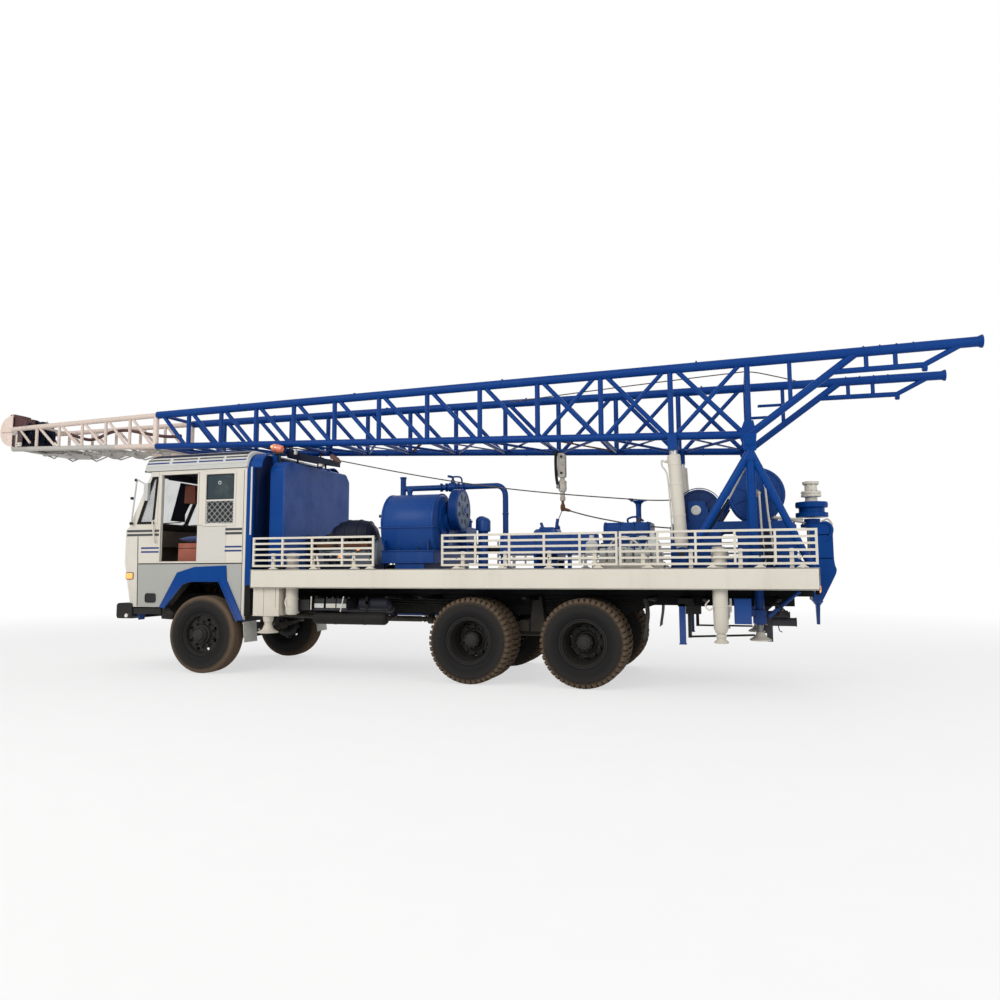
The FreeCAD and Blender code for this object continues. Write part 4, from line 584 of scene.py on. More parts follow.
# camera, floor and light
viewpoint = {"place": (4.5789, -10.2781, 1.4328), "yaw": 16.867, "pitch": 5.489, "roll": -0.2606,
    "lens": 28.049, "shift": -0.00876}


def makeCamera():
    yaw, pitch, roll = (math.radians(viewpoint[k]) for k in ("yaw", "pitch", "roll"))
    ahead = Vector((-math.sin(yaw) * math.cos(pitch), math.cos(yaw) * math.cos(pitch),
        math.sin(pitch)))
    right = Vector((math.cos(yaw), math.sin(yaw), 0))
    up = right.cross(ahead)
    side = right * math.cos(roll) + up * math.sin(roll)
    top = up * math.cos(roll) - right * math.sin(roll)
    data = bpy.data.cameras.new("camera")
    data.lens, data.sensor_width, data.shift_y = viewpoint["lens"], 36.0, viewpoint["shift"]
    data.clip_start, data.clip_end = 0.1, 400.0
    camera = bpy.data.objects.new("camera", data)
    bpy.context.scene.collection.objects.link(camera)
    camera.matrix_world = Matrix((side, top, -ahead)).transposed().to_4x4()
    camera.location = viewpoint["place"]
    bpy.context.scene.camera = camera


def makeFloor():
    blank = Blank()
    blank.faces([(-90, -90, 0), (90, -90, 0), (90, 90, 0), (-90, 90, 0)], [(0, 1, 2, 3)])
    material, shader, flow = newMaterial("pale_floor",
        {"Roughness": 0.9, "Specular IOR Level": 0.1})
    place = surfacePlace(flow)
    speck = place.noise(3.0, 4.0)
    feed(shader, flow, {"Base Color": speck.mix((0.8, 0.8, 0.8, 1), (0.86, 0.86, 0.86, 1))})
    glow = flow.node("ShaderNodeEmission", {}, {"Color": (1, 1, 1, 1), "Strength": 1.0})
    seen = flow.node("ShaderNodeLightPath", {}, {}, "Is Camera Ray")
    shiny = flow.node("ShaderNodeLightPath", {}, {}, "Is Glossy Ray")
    through = flow.node("ShaderNodeLightPath", {}, {}, "Is Transmission Ray")
    squares = place.axis("X") * place.axis("X") + place.axis("Y") * place.axis("Y")
    far = (squares ** 0.5).between(7.0, 19.0)
    share = (seen + shiny + through).clipped() * (0.62 + far * 0.38)
    lit = flow.node("ShaderNodeMixShader", {}, {0: share, 2: glow})
    flow.tree.links.new(shader.outputs[0], lit.socket.node.inputs[1])
    output = flow.tree.nodes["Material Output"]
    flow.tree.links.new(lit.socket, output.inputs["Surface"])
    blank.use(material)
    floor = blank.made("floor", None)


def areaLight(name, place, target, size, power, colour=(1, 1, 1)):
    lamp = bpy.data.lights.new(name, "AREA")
    lamp.shape, lamp.size, lamp.size_y = "RECTANGLE", size[0], size[1]
    lamp.energy, lamp.color = power, colour
    holder = bpy.data.objects.new(name, lamp)
    bpy.context.scene.collection.objects.link(holder)
    holder.location = place
    holder.rotation_mode = "QUATERNION"
    holder.rotation_quaternion = (Vector(target) - Vector(place)).to_track_quat("-Z", "Y")


def makeLight():
    world = bpy.data.worlds.new("studio")
    bpy.context.scene.world = world
    world.use_nodes = True
    tree = world.node_tree
    flow = Flow(tree)
    background = tree.nodes["Background"]
    paths = [flow.node("ShaderNodeLightPath", {}, {}, f"Is {kind} Ray")
        for kind in ("Camera", "Glossy", "Transmission")]
    shown = (paths[0] + paths[1] * 0.6 + paths[2]).clipped()
    strength = shown * 1.0 + (1.0 - shown) * 0.58
    tree.links.new(strength.socket, background.inputs["Strength"])
    background.inputs["Color"].default_value = (1, 1, 1, 1)
    areaLight("key", (-4.0, -13.0, 9.5), (0.0, 0.0, 1.6), (12.0, 8.0), 1050, (1.0, 0.985, 0.96))
    areaLight("side", (11.0, -8.0, 6.0), (1.0, 0.0, 1.6), (7.0, 6.0), 240, (0.97, 0.985, 1.0))
    areaLight("back", (3.0, 12.0, 9.0), (0.0, 0.0, 2.0), (10.0, 6.0), 420)
    bpy.context.scene.view_settings.view_transform = "Standard"


makeCamera()
makeFloor()
makeLight()
print("stage ready")


# finishes of the frame's own parts
nodeFinish = {
    creamPaint: ["deck_guards", "lift_barrels", "jack_housings", "front_jack_left",
                 "front_jack_right", "rear_jack_left", "rear_jack_right"],
    doorPaint: ["door_left", "door_right"],
    boardPaint: ["side_boards"],
    crownPaint: ["crown_section", "crown_block"],
    bluePaint: ["mast_supports", "side_tanks", "tail_jack_left", "tail_jack_right",
                "rotary_gearbox"],
    mastPaint: ["mast_left_side", "mast_right_side", "mast_bracing", "travelling_block"],
    machinePaint: ["mud_pump", "pump_sheave", "drawworks", "winch_drum", "deck_engine",
                   "crown_sheaves", "rotary_table"],
    tankPaint: ["water_tank"],
    deckPaint: ["deck"],
    chassisPaint: ["chassis_frame", "front_axle", "rear_axles", "leaf_springs", "knuckle_left",
                   "knuckle_right", "truck_engine"],
    bumperPaint: ["front_bumper"],
    rimPaint: [n for n in nodes if "_rim" in n],
    tyreSkin: [n for n in nodes if "_tyre" in n],
    chrome: ["lift_rods"],
    seatBoxTrim: ["seats"],
    dashTrim: ["dashboard"],
    floorMat: ["cab_floor"],
}


def finishNode(name, material):
    for spot in nodes[name].material_slots:
        spot.material = material
    if not nodes[name].material_slots:
        nodes[name].data.materials.append(material)


for material, names in nodeFinish.items():
    for name in names:
        finishNode(name, material)


# wheels
tyreShape = {"radius": 0.525, "halfWidth": 0.136, "ribDepth": 0.012, "lugDepth": 0.022, "lugs": 46,
    "sides": 96}
rimShape = {"flange": 0.285, "well": 0.235, "nutCircle": 0.1675, "nuts": 10, "handHoles": 8,
    "handCircle": 0.207, "handRadius": 0.024}


def around(radius, y, angle):
    return Vector((radius * math.sin(angle), y, radius * math.cos(angle)))


def sidewall(side):  # bead to shoulder, as (y, radius), with its rim strip, flex ring and scuff rib
    w = tyreShape["halfWidth"] * side
    return [(0.1 * side, 0.264), (0.108 * side, 0.285), (0.113 * side, 0.292),
        (0.113 * side, 0.299), (0.121 * side, 0.304), (0.126 * side, 0.318), (w * 0.985, 0.345),
        (w * 0.985, 0.349), (w, 0.352), (w, 0.374), (w * 0.985, 0.377), (w * 0.985, 0.41),
        (w * 0.97, 0.425), (w * 0.985, 0.43), (w * 0.985, 0.436), (w * 0.955, 0.442)]


def ribTread():  # shoulder to shoulder with five ribs
    top, deep = tyreShape["radius"], tyreShape["radius"] - tyreShape["ribDepth"]
    line = [(-0.124, 0.476), (-0.117, 0.499), (-0.107, 0.513), (-0.098, 0.5195)]
    for y in (-0.062, -0.021, 0.021, 0.062):
        edge = top - abs(y) * 0.05
        line += [(y - 0.0065, edge), (y - 0.0045, deep), (y + 0.0045, deep), (y + 0.0065, edge)]
    return line + [(0.098, 0.5195), (0.107, 0.513), (0.117, 0.499), (0.124, 0.476)]


def lugTread():  # the smoother casing under the lugs
    deep = tyreShape["radius"] - tyreShape["lugDepth"]
    return [(-0.122, 0.472), (-0.108, 0.491), (-0.06, deep - 0.001), (0, deep),
        (0.06, deep - 0.001), (0.108, 0.491), (0.122, 0.472)]


def casing(blank, tread, y):
    profile = sidewall(-1) + tread + sidewall(1)[::-1]
    inner = [(0.094, 0.268), (0.1, 0.34), (0.098, 0.43), (0.06, 0.478), (-0.06, 0.478),
        (-0.098, 0.43), (-0.1, 0.34), (-0.094, 0.268)]
    loops = [[around(r, y + d, 2 * math.pi * i / tyreShape["sides"])
        for i in range(tyreShape["sides"])] for d, r in profile + inner]
    blank.use(tyreSkin).loft(loops, closed=True)


def lugs(blank, y, side):  # slanted blocks that wrap over one shoulder, with a middle rib between
    outer = [(0.03, 0.5248), (0.072, 0.5235), (0.104, 0.5175), (0.1255, 0.499), (0.1335, 0.466)]
    inner = [(0.12, 0.462), (0.105, 0.484), (0.03, 0.497)]
    count = tyreShape["lugs"]
    step = 2 * math.pi / count
    for i in range(count):
        start = i * step + (0.5 * step if side > 0 else 0)
        loops = []
        for edge in (-0.33, 0.33):
            loop = []
            for y0, r in outer + inner:
                skew = (0.13 - y0) * 0.38
                loop.append(around(r, y + y0 * side, start + edge * step * (0.82 + y0)
                    + skew * side))
            loops.append(loop)
        blank.loft(loops)


def middleRibs(blank, y):  # zigzag centre rib in short blocks
    count = tyreShape["lugs"]
    step = 2 * math.pi / count
    for i in range(count):
        start = i * step
        for row, shift in ((-0.0125, 0.0), (0.0125, 0.5)):
            loops = []
            for edge in (-0.38, 0.38):
                angle = start + (edge + shift) * step
                loops.append([around(0.5238, y + row - 0.0095, angle),
                    around(0.5238, y + row + 0.0095, angle),
                    around(0.497, y + row + 0.0105, angle),
                    around(0.497, y + row - 0.0105, angle)])
            blank.loft(loops)


def disc(blank, profile, sides=64):
    loops = [[around(r, d, 2 * math.pi * i / sides) for i in range(sides)] for d, r in profile]
    blank.loft(loops, capped=False)


def wheelNuts(blank, y, out, length):
    for i in range(rimShape["nuts"]):
        spot = around(rimShape["nutCircle"], y, 2 * math.pi * i / rimShape["nuts"])
        blank.use(darkSteel).rod(spot, spot + Vector((0, out * 0.012, 0)), 0.021, sides=16)
        blank.rod(spot, spot + Vector((0, out * length, 0)), 0.0165, sides=6)
        blank.rod(spot, spot + Vector((0, out * (length + 0.016), 0)), 0.0095, sides=10)


def rimBarrel(blank, y, out):  # the outer edge with its flange, gutter and lock ring
    f, w = rimShape["flange"], rimShape["well"]
    disc(blank.use(rimPaint), [(y + out * d, r) for d, r in ((0.105, f), (0.108, f + 0.003),
        (0.112, f), (0.112, f - 0.008), (0.102, f - 0.012), (0.099, f - 0.02), (0.104, f - 0.024),
        (0.104, f - 0.031), (0.094, f - 0.034), (0.085, w + 0.012), (0.03, w + 0.004), (-0.06, w),
        (-0.088, w + 0.018), (-0.098, f - 0.012), (-0.106, f), (-0.106, f + 0.003),
        (-0.1, f - 0.004), (-0.09, w + 0.026), (-0.06, w + 0.009), (0.03, w + 0.013),
        (0.08, w + 0.022), (0.092, f - 0.02), (0.098, f))])


def discPlate(blank, y, out, rim):  # pressed disc: hand holes in the flank, nuts on the flat
    holes = [circle(rimShape["handCircle"] * math.sin(a), rimShape["handCircle"] * math.cos(a),
        rimShape["handRadius"], 20) for a in (2 * math.pi * (i + 0.5) / rimShape["handHoles"]
        for i in range(rimShape["handHoles"]))]
    plate = [circle(0, 0, rim, 72), circle(0, 0, 0.137, 48), *holes]
    blank.use(rimPaint).cut(plate, 0.012, Matrix.Translation((0, y, 0)) @ sideOn)
    for a in (2 * math.pi * (i + 0.5) / rimShape["handHoles"]
            for i in range(rimShape["handHoles"])):
        spot = around(rimShape["handCircle"], y + out * 0.006, a)
        blank.turned(spot, (0, out, 0), [(0, 0.024), (0.006, 0.0255), (0.006, 0.03), (0, 0.032)],
            20, closed=True)
    disc(blank, [(y + out * d, r) for d, r in ((0.006, 0.192), (0.013, 0.188), (0.013, 0.15),
        (0.017, 0.146), (0.017, 0.137), (0.0, 0.137))])


def frontRim(name, body, node, out):
    centre = middle(node.replace("rim", "tyre"))
    blank = Blank()
    rimBarrel(blank, 0, out)
    discPlate(blank, out * 0.052, out, 0.2395)
    blank.use(rimPaint).turned((0, out * 0.05, 0), (0, out, 0),
        [(0, 0.136), (0.05, 0.133), (0.06, 0.126), (0.062, 0.112), (0.075, 0.108), (0.1, 0.104),
        (0.106, 0.098), (0.106, 0.082), (0.116, 0.08), (0.131, 0.072), (0.137, 0.055),
        (0.139, 0.0)], 40)
    blank.use(darkSteel).bolts((0, out * 0.156, 0), (0, out, 0), 0.09, 8, 0.008, 0.007)
    wheelNuts(blank, out * 0.066, out, 0.03)
    blank.use(darkSteel).turned((0, -out * 0.02, 0), (0, -out, 0),
        [(0, 0.19), (0.1, 0.2), (0.104, 0.206), (0.112, 0.206), (0.112, 0.15), (0, 0.14)], 48)
    return placed(blank, name, body, node, centre)


def placed(blank, name, body, node, centre):
    piece = blank.made(name, None, crease=32, merge=False)
    piece.location = centre
    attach(piece, body)
    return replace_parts(piece, node)


def rearRims(name, body, node, out):  # a dished pair back to back round one hub
    low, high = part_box(node.replace("rims", "tyres"))
    centre = (low + high) / 2
    reach = (high.y - low.y) / 2 - tyreShape["halfWidth"]
    blank = Blank()
    for side in (1, -1):
        rimBarrel(blank, side * out * reach, out * side)
        flat = side * out * 0.012
        discPlate(blank, flat, out * side, 0.21)
        disc(blank.use(rimPaint), [(flat + side * out * d, r)
            for d, r in ((0.0, 0.209), (0.02, 0.222), (0.06, 0.234), (0.12, 0.238), (0.12, 0.233),
            (0.06, 0.229), (0.024, 0.216), (0.006, 0.204))])
    wheelNuts(blank, out * 0.022, out, 0.036)
    blank.use(rimPaint).turned((0, out * 0.01, 0), (0, out, 0),
        [(0, 0.136), (0.02, 0.134), (0.028, 0.124), (0.03, 0.109), (0.08, 0.104), (0.135, 0.098),
        (0.148, 0.092), (0.15, 0.086), (0.162, 0.086), (0.168, 0.078), (0.176, 0.074),
        (0.18, 0.05), (0.188, 0.046), (0.192, 0.0)], 40)
    blank.use(darkSteel).bolts((0, out * 0.158, 0), (0, out, 0), 0.092, 10, 0.009, 0.009)
    blank.use(rimPaint).turned((0, -out * 0.03, 0), (0, -out, 0),
        [(0, 0.205), (0.2, 0.208), (0.206, 0.213), (0.22, 0.213), (0.222, 0.19), (0.222, 0.08),
        (0, 0.07)], 48)
    return placed(blank, name, body, node, centre)


def makeWheels():
    for out, side in sideName.items():
        body = f"front_wheel_{side}"
        blank = Blank()
        casing(blank, ribTread(), 0)
        for i in range(64):  # shoulder notches stand as short bars on both shoulders
            a = 2 * math.pi * i / 64
            for face in (-1, 1):
                blank.loft([[around(0.508, face * 0.1105, a + d),
                    around(0.487, face * 0.1225, a + d), around(0.484, face * 0.119, a + d),
                    around(0.503, face * 0.106, a + d)] for d in (-0.02, 0.02)])
        placed(blank, f"front_tyre_{side}_tread", body, f"front_tyre_{side}",
            middle(f"front_tyre_{side}"))
        frontRim(f"front_rim_{side}_disc", body, f"front_rim_{side}", out)
        for row in (1, 2):
            node = f"rear_tyres_{row}_{side}"
            low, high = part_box(node)
            reach = (high.y - low.y) / 2 - tyreShape["halfWidth"]
            blank = Blank()
            for y in (-reach, reach):
                casing(blank, lugTread(), y)
                for face in (-1, 1):
                    lugs(blank, y, face)
                middleRibs(blank, y)
            placed(blank, f"rear_tyres_{row}_{side}_tread", f"rear_wheels_{row}_{side}", node,
                middle(node))
            rearRims(f"rear_rims_{row}_{side}_discs", f"rear_wheels_{row}_{side}",
                f"rear_rims_{row}_{side}", out)


makeWheels()
print("wheels ready")


# cab finishes by zone
def zonePaint(name, zones, base, rough=0.36):  # zones: (mask maker, colour, roughness)
    material, shader, flow = newMaterial(name, {"Specular IOR Level": 0.2})
    place = surfacePlace(flow)
    spots = {letter: place.axis(letter) for letter in "XYZ"}
    cloud = place.noise(1.4, 5.0, 0.6).between(0.4, 0.75)
    run = place.stretched(12.0, 12.0, 0.9).noise(1.0, 3.0).between(0.54, 0.8)
    grain = place.noise(80.0, 2.0)
    paint, gloss = base, rough
    shades = []
    for mask, colour, roughness in zones:
        where = mask(spots)
        shades.append(where)
        paint = where.mix(paint, colour)
        gloss = gloss + where * (roughness - rough)
    low = (1.0 - spots["Z"].between(0.75, 1.5)) * (0.3 + place.noise(5.0, 4.0) * 0.8)
    paint = (low * 0.3 + run * 0.14 + cloud * 0.1).clipped().mix(paint, shade(158, 152, 142))
    feed(shader, flow, {"Base Color": paint, "Roughness": (gloss + cloud * 0.1).clipped(),
        "Normal": flow.bump(place.noise(2.2, 2.0) * 0.8 + grain * 0.02, 0.5, 0.012)})
    return material


def above(letter, low):
    return lambda spots: spots[letter] > low


cabZones = {"belt": 1.492, "seam": -1.115, "rearPost": 0.598, "skin": 1.118, "arm": 1.165}


def offMiddle(spots):
    return spots["Y"].maths("ABSOLUTE", spots["Y"])


def insideCab(spots):
    across = offMiddle(spots)
    return across < cabZones["skin"]


def lowerCab(spots):
    front = spots["X"] > axleX + cabZones["seam"]
    back = spots["X"] < axleX + cabZones["rearPost"]
    return front * back * (spots["Z"] < cabZones["belt"])


def linerZone(spots):
    across = offMiddle(spots)
    return (across < 1.1085) * (spots["Z"] < 1.45)


def mirrorArms(spots):
    across = offMiddle(spots)
    return across > cabZones["arm"]


def underRoof(spots):
    across = offMiddle(spots)
    return ((across < 1.095) * (spots["Z"] < 3.04) * (spots["X"] > axleX - 1.035)
        * (spots["X"] < axleX + 0.61))


def frontInside(spots):  # behind the front skin, towards the crew
    across = offMiddle(spots)
    lean = spots["X"] - (spots["Z"] - 2.0).maths("MAXIMUM", spots["Z"] - 2.0, 0.0) * 0.47
    return (lean > axleX - 1.272) * (across < 1.149)


cream, cabGrey = shade(217, 212, 201), shade(170, 171, 167)
insideGrey, ceilingNavy = shade(70, 64, 58), shade(30, 34, 52)
cabSidePaint = zonePaint("cab_side_paint", [(lowerCab, cabGrey, 0.5), (insideCab, insideGrey, 0.6),
    (linerZone, shade(20, 21, 25), 0.7)], cream)
cabFrontPaint = zonePaint("cab_front_paint", [(frontInside, insideGrey, 0.6),
    (mirrorArms, shade(196, 196, 194), 0.35)], cream)
cabRoofPaint = zonePaint("cab_roof_paint", [(underRoof, ceilingNavy, 0.8)], shade(203, 203, 199))
# the rear wall's finish: inside grey on the cab side, blue elsewhere, and navy on the face towards
# the water tank, where the navy is painted shade for the tank's shadow
cabBackPaintAndShade = zonePaint("cab_back_wall_paint_and_shade", [(lambda spots: spots["X"] < axleX + 0.612,
    insideGrey, 0.6), (lambda spots: spots["X"] > axleX + 0.679, shade(19, 42, 88), 0.42)],
    shade(26, 80, 154), 0.3)
paneAndScreen = tintedGlass("cab_glazing", shade(126, 136, 134), 0.2)


for name, material in (("cab_left_side", cabSidePaint), ("cab_right_side", cabSidePaint),
        ("cab_front", cabFrontPaint), ("cab_roof", cabRoofPaint), ("cab_rear_wall", cabBackPaintAndShade),
        ("cab_glass", paneAndScreen)):
    finishNode(name, material)


# cab trim
stripes = {"greyLow": (1.88, 1.936), "greyHeight": 0.033, "blueLow": (1.643, 1.698),
    "blueHeight": 0.023, "front": (-0.884, -0.852, -0.776), "frontStart": -1.325,
    "blueFront": (-1.071, -0.77), "rear": (0.318, 0.584), "proud": 0.003}
greyStripe = vehiclePaint("grey_stripe", shade(70, 72, 74), shade(98, 100, 102), dirt=0.1)
blueStripe = vehiclePaint("blue_stripe", shade(36, 58, 122), shade(66, 84, 134), dirt=0.1)
latticePaint = vehiclePaint("lattice_paint", shade(206, 210, 208), shade(170, 174, 172))


def grown(outline, distance):  # a flat outline pushed outwards all round
    count = len(outline)
    turn = sum(outline[i][0] * outline[(i + 1) % count][1]
        - outline[(i + 1) % count][0] * outline[i][1] for i in range(count))
    sign = 1 if turn > 0 else -1
    made = []
    for i in range(count):
        a, b, c = (Vector((*outline[(i + k) % count], 0)) for k in (-1, 0, 1))
        first, second = (b - a).normalized(), (c - b).normalized()
        normals = [Vector((d.y, -d.x, 0)) * sign for d in (first, second)]
        middleOne = (normals[0] + normals[1]).normalized()
        reach = distance / max(middleOne.dot(normals[0]), 0.35)
        made.append(((b + middleOne * reach).x, (b + middleOne * reach).y))
    return made


def oblong(left, low, right, high):
    return [(left, low), (right, low), (right, high), (left, high)]


def endwise(x, y, z):  # flat outlines given as (y, z), laid in a crossways plane at the spot
    return Matrix.Translation(at(x, y, z)) @ Matrix(
        ((0, 0, 1, 0), (1, 0, 0, 0), (0, 1, 0, 0), (0, 0, 0, 1)))


def sideFlat(y):  # flat outlines given as (x from the front axle, z), laid in a lengthways plane
    return Matrix.Translation((axleX, y, 0)) @ sideOn


def cabStripes(side):
    y = side * 1.15
    blank = Blank()

    def bar(front, rear, low, height, finish, proud=stripes["proud"]):
        ends = sorted((y - side * 0.001, y + side * proud))
        blank.use(finish).block(at(front, ends[0], low), at(rear, ends[1], low + height))

    for low in stripes["greyLow"]:
        bar(stripes["frontStart"], stripes["front"][0], low, stripes["greyHeight"], greyStripe)
        bar(stripes["front"][1], stripes["front"][2], low, stripes["greyHeight"], greyStripe)
        bar(*stripes["rear"], low, stripes["greyHeight"], greyStripe)
        wrap = side * 1.12
        blank.use(greyStripe).block(at(-1.349, min(wrap, -wrap), low),
            at(-1.3455, max(wrap, -wrap), low + stripes["greyHeight"]))
    for low in stripes["blueLow"]:
        bar(*stripes["blueFront"], low, stripes["blueHeight"], blueStripe)
        bar(*stripes["rear"], low + 0.004, stripes["blueHeight"], blueStripe)
    return blank.made(f"cab_stripes_{sideName[side]}", "truck", bevel=0.0008)


def cabSeams(side):
    y = side * 1.1495
    blank = Blank()
    out = side * 0.0035
    for (x0, z0), (x1, z1), width in (((-1.103, 0.9), (-1.134, 1.878), 0.011),
            ((-1.11, 1.487), (0.6, 1.487), 0.012), ((0.598, 0.8), (0.598, 2.76), 0.006)):
        along = Vector((x1 - x0, 0, z1 - z0)).normalized()
        wide = Vector((-along.z, 0, along.x)) * width / 2
        corners = [at(x0, y, z0) - wide, at(x1, y, z1) - wide, at(x1, y, z1) + wide,
            at(x0, y, z0) + wide]
        blank.use(sealRubber).prism(corners, (0, out, 0))
    blank.use(cabSidePaint)
    blank.block(at(-1.108, y, 1.495), at(0.6, y + side * 0.013, 1.512))
    blank.block(at(-0.762, y, 1.508), at(-0.748, y + side * 0.012, 2.752))
    blank.block(at(-0.148, y, 2.03), at(-0.128, y + side * 0.012, 2.752))
    blank.block(at(-0.762, y, 2.741), at(-0.128, y + side * 0.012, 2.757))
    blank.block(at(-0.812, y, 2.03), at(-0.806, y + side * 0.008, 2.78))
    return blank.made(f"cab_seams_{sideName[side]}", "truck", bevel=0.002)


archShape = {"outer": [(-0.718, 0.882), (-0.436, 1.361), (-0.157, 1.437), (0.348, 1.455),
    (0.363, 1.262), (0.64, 0.728)], "inner": [(0.556, 0.724), (0.253, 1.259), (-0.23, 1.259),
    (-0.36, 1.218), (-0.661, 0.884)], "lip": 0.022}


def archBand(side):
    blank = Blank()
    outline = archShape["outer"] + archShape["inner"]
    y = side * 1.158
    blank.use(bluePaint).cut([grown(outline, 0.003)], 0.018, sideFlat(y))
    inner = archShape["inner"][::-1]
    lip = [(x, z) for x, z in inner] + [(x * 0.97, z - archShape["lip"]) for x, z in inner[::-1]]
    blank.cut([lip], 0.026, sideFlat(y + side * 0.003))
    return blank.made(f"arch_band_{sideName[side]}", "truck", bevel=0.006)


windowShape = {"quarter": [(-1.13, 2.07), (-0.885, 2.07), (-0.835, 2.7), (-0.9, 2.7)],
    "rear": oblong(-0.01, 2.035, 0.44, 2.72), "pane": oblong(-0.01, 2.366, 0.44, 2.72),
    "grille": oblong(-0.004, 2.04, 0.434, 2.35), "bars": 5}


def cabWindows(side):
    y = side * 1.151
    seal = Blank().use(sealRubber)
    quarter = windowShape["quarter"]
    seal.cut([grown(quarter, 0.02), grown(quarter, -0.012)], 0.016, sideFlat(y))
    seal.made(f"quarter_window_seal_{sideName[side]}", "truck", bevel=0.004)
    frame = Blank().use(cabSidePaint)
    rear = windowShape["rear"]
    frame.cut([grown(rear, 0.034), grown(rear, 0.004)], 0.014, sideFlat(y))
    frame.block(at(-0.012, side * 1.112, 2.348), at(0.442, side * 1.153, 2.368))
    frame.made(f"rear_window_frame_{sideName[side]}", "truck", bevel=0.004)
    pane = Blank().use(paneGlass)
    paneLow, paneHigh = windowShape["pane"][0], windowShape["pane"][2]
    pane.cut([roundedBox(paneLow, paneHigh, 0.03)], 0.003, sideFlat(side * 1.139))
    pane.use(latticePaint).turned(at(0.2, side * 1.1405, 2.6), (0, side, 0),
        [(0, 0.026), (0.002, 0.026), (0.003, 0.022), (0.003, 0.0)], 24)
    pane.use(darkSteel).turned(at(0.2, side * 1.1415, 2.6), (0, side, 0),
        [(0.0015, 0.016), (0.003, 0.016), (0.0036, 0.0)], 20)
    pane.use(sealRubber)
    pane.cut([roundedBox(paneLow, paneHigh, 0.03), roundedBox(
        (paneLow[0] + 0.012, paneLow[1] + 0.012), (paneHigh[0] - 0.012, paneHigh[1] - 0.012),
        0.022)], 0.008, sideFlat(side * 1.14))
    pane.made(f"rear_window_pane_{sideName[side]}", "truck", bevel=0.001)
    grille = Blank().use(blackTrim)
    low, high = windowShape["grille"][0], windowShape["grille"][2]
    grille.cut([roundedBox(low, high, 0.02)], 0.003, sideFlat(side * 1.128))
    grille.use(latticePaint)
    wide, tall = high[0] - low[0], high[1] - low[1]
    step = wide / windowShape["bars"]
    for lean in (-1, 1):
        for i in range(-6, windowShape["bars"] + 7):
            start, end = clipLine(low[0] + i * step, lean, low, high, tall)
            if start:
                grille.square(at(start[0], side * 1.14, start[1]), at(end[0], side * 1.14, end[1]),
                    0.0036, 0.004, rightward)
    edge = [roundedBox(low, high, 0.02), roundedBox((low[0] + 0.006, low[1] + 0.006),
        (high[0] - 0.006, high[1] - 0.006), 0.014)]
    grille.use(latticePaint).cut(edge, 0.012, sideFlat(side * 1.142))
    grille.made(f"rear_window_grille_{sideName[side]}", "truck")


def clipLine(x, lean, low, high, rise):  # a diagonal from the foot line, cut to the window
    run = rise * lean
    a, b = (x, low[1]), (x + run, low[1] + rise)
    ends = []
    for s in range(2):
        px, pz = (a, b)[s]
        qx, qz = (b, a)[s]
        if px < low[0] or px > high[0]:
            edge = low[0] if px < low[0] else high[0]
            if (qx - px) == 0 or not 0 <= (edge - px) / (qx - px) <= 1:
                return None, None
            t = (edge - px) / (qx - px)
            px, pz = edge, pz + (qz - pz) * t
        ends.append((px, pz))
    return ends[0], ends[1]


roofShoulder = {"y": 0.88, "z": 2.88, "wide": 0.27, "tall": 0.18}
roofLines = {"segments": ((-1.02, -0.647), (-0.593, -0.186), (-0.15, 0.243), (0.287, 0.62)),
    "grey": (2.945, 2.966), "blue": (2.9, 2.919), "gutter": (2.8, 2.822)}


def shoulderHalf(height):  # half width of the roof at a height on its round shoulder
    rise = max(0.0, min(1.0, (height - roofShoulder["z"]) / roofShoulder["tall"]))
    return roofShoulder["y"] + roofShoulder["wide"] * math.sqrt(1 - rise * rise)


def cabRoofTrim():
    blank = Blank()
    for side in (-1, 1):
        y = side * 1.149
        for front, rear in roofLines["segments"]:
            for finish, band in ((greyStripe, "grey"), (blueStripe, "blue")):
                edge = [shoulderHalf(z) for z in roofLines[band]]
                blank.use(finish).loft([[at(x, side * (edge[0] - 0.004), roofLines[band][0]),
                    at(x, side * (edge[0] + 0.004), roofLines[band][0]),
                    at(x, side * (edge[1] + 0.004), roofLines[band][1]),
                    at(x, side * (edge[1] - 0.004), roofLines[band][1])] for x in (front, rear)])
        blank.use(cabRoofPaint)
        blank.block(at(-1.03, y, roofLines["gutter"][0]),
            at(0.64, y + side * 0.02, roofLines["gutter"][0] + 0.006))
        blank.block(at(-1.03, y + side * 0.016, roofLines["gutter"][0]),
            at(0.64, y + side * 0.021, roofLines["gutter"][1]))
        blank.block(at(-1.03, y, 2.862), at(0.64, y + side * 0.007, 2.872))
        blank.use(sealRubber).block(at(-1.045, y - side * 0.01, 2.792),
            at(0.63, y + side * 0.0025, 2.798))
        blank.use(darkSteel).turned(at(-1.03, side * 1.158, 2.8), (0, side, 0),
            [(0, 0.016), (0.012, 0.014), (0.016, 0.0)], 16)
    blank.use(cabRoofPaint)
    for y in (-0.8, -0.4, 0.0, 0.4, 0.8):  # shallow stiffening swages across the roof skin
        blank.loft([[at(x, y - 0.05, 3.0595), at(x, y + 0.05, 3.0595), at(x, y + 0.03, 3.07),
            at(x, y - 0.03, 3.07)] for x in (-0.86, 0.56)])
    blank.block(at(-1.048, -1.14, 2.794), at(-1.032, 1.14, 2.815))
    for y in (-0.95, -0.35, 0.35, 0.95):  # small marker lamps above the screen
        blank.use(amberLens).turned(at(-1.044, y, 2.93), forward,
            [(0, 0.028), (0.008, 0.027), (0.016, 0.018), (0.019, 0)], 20)
    return blank.made("cab_roof_trim", "truck", bevel=0.002)


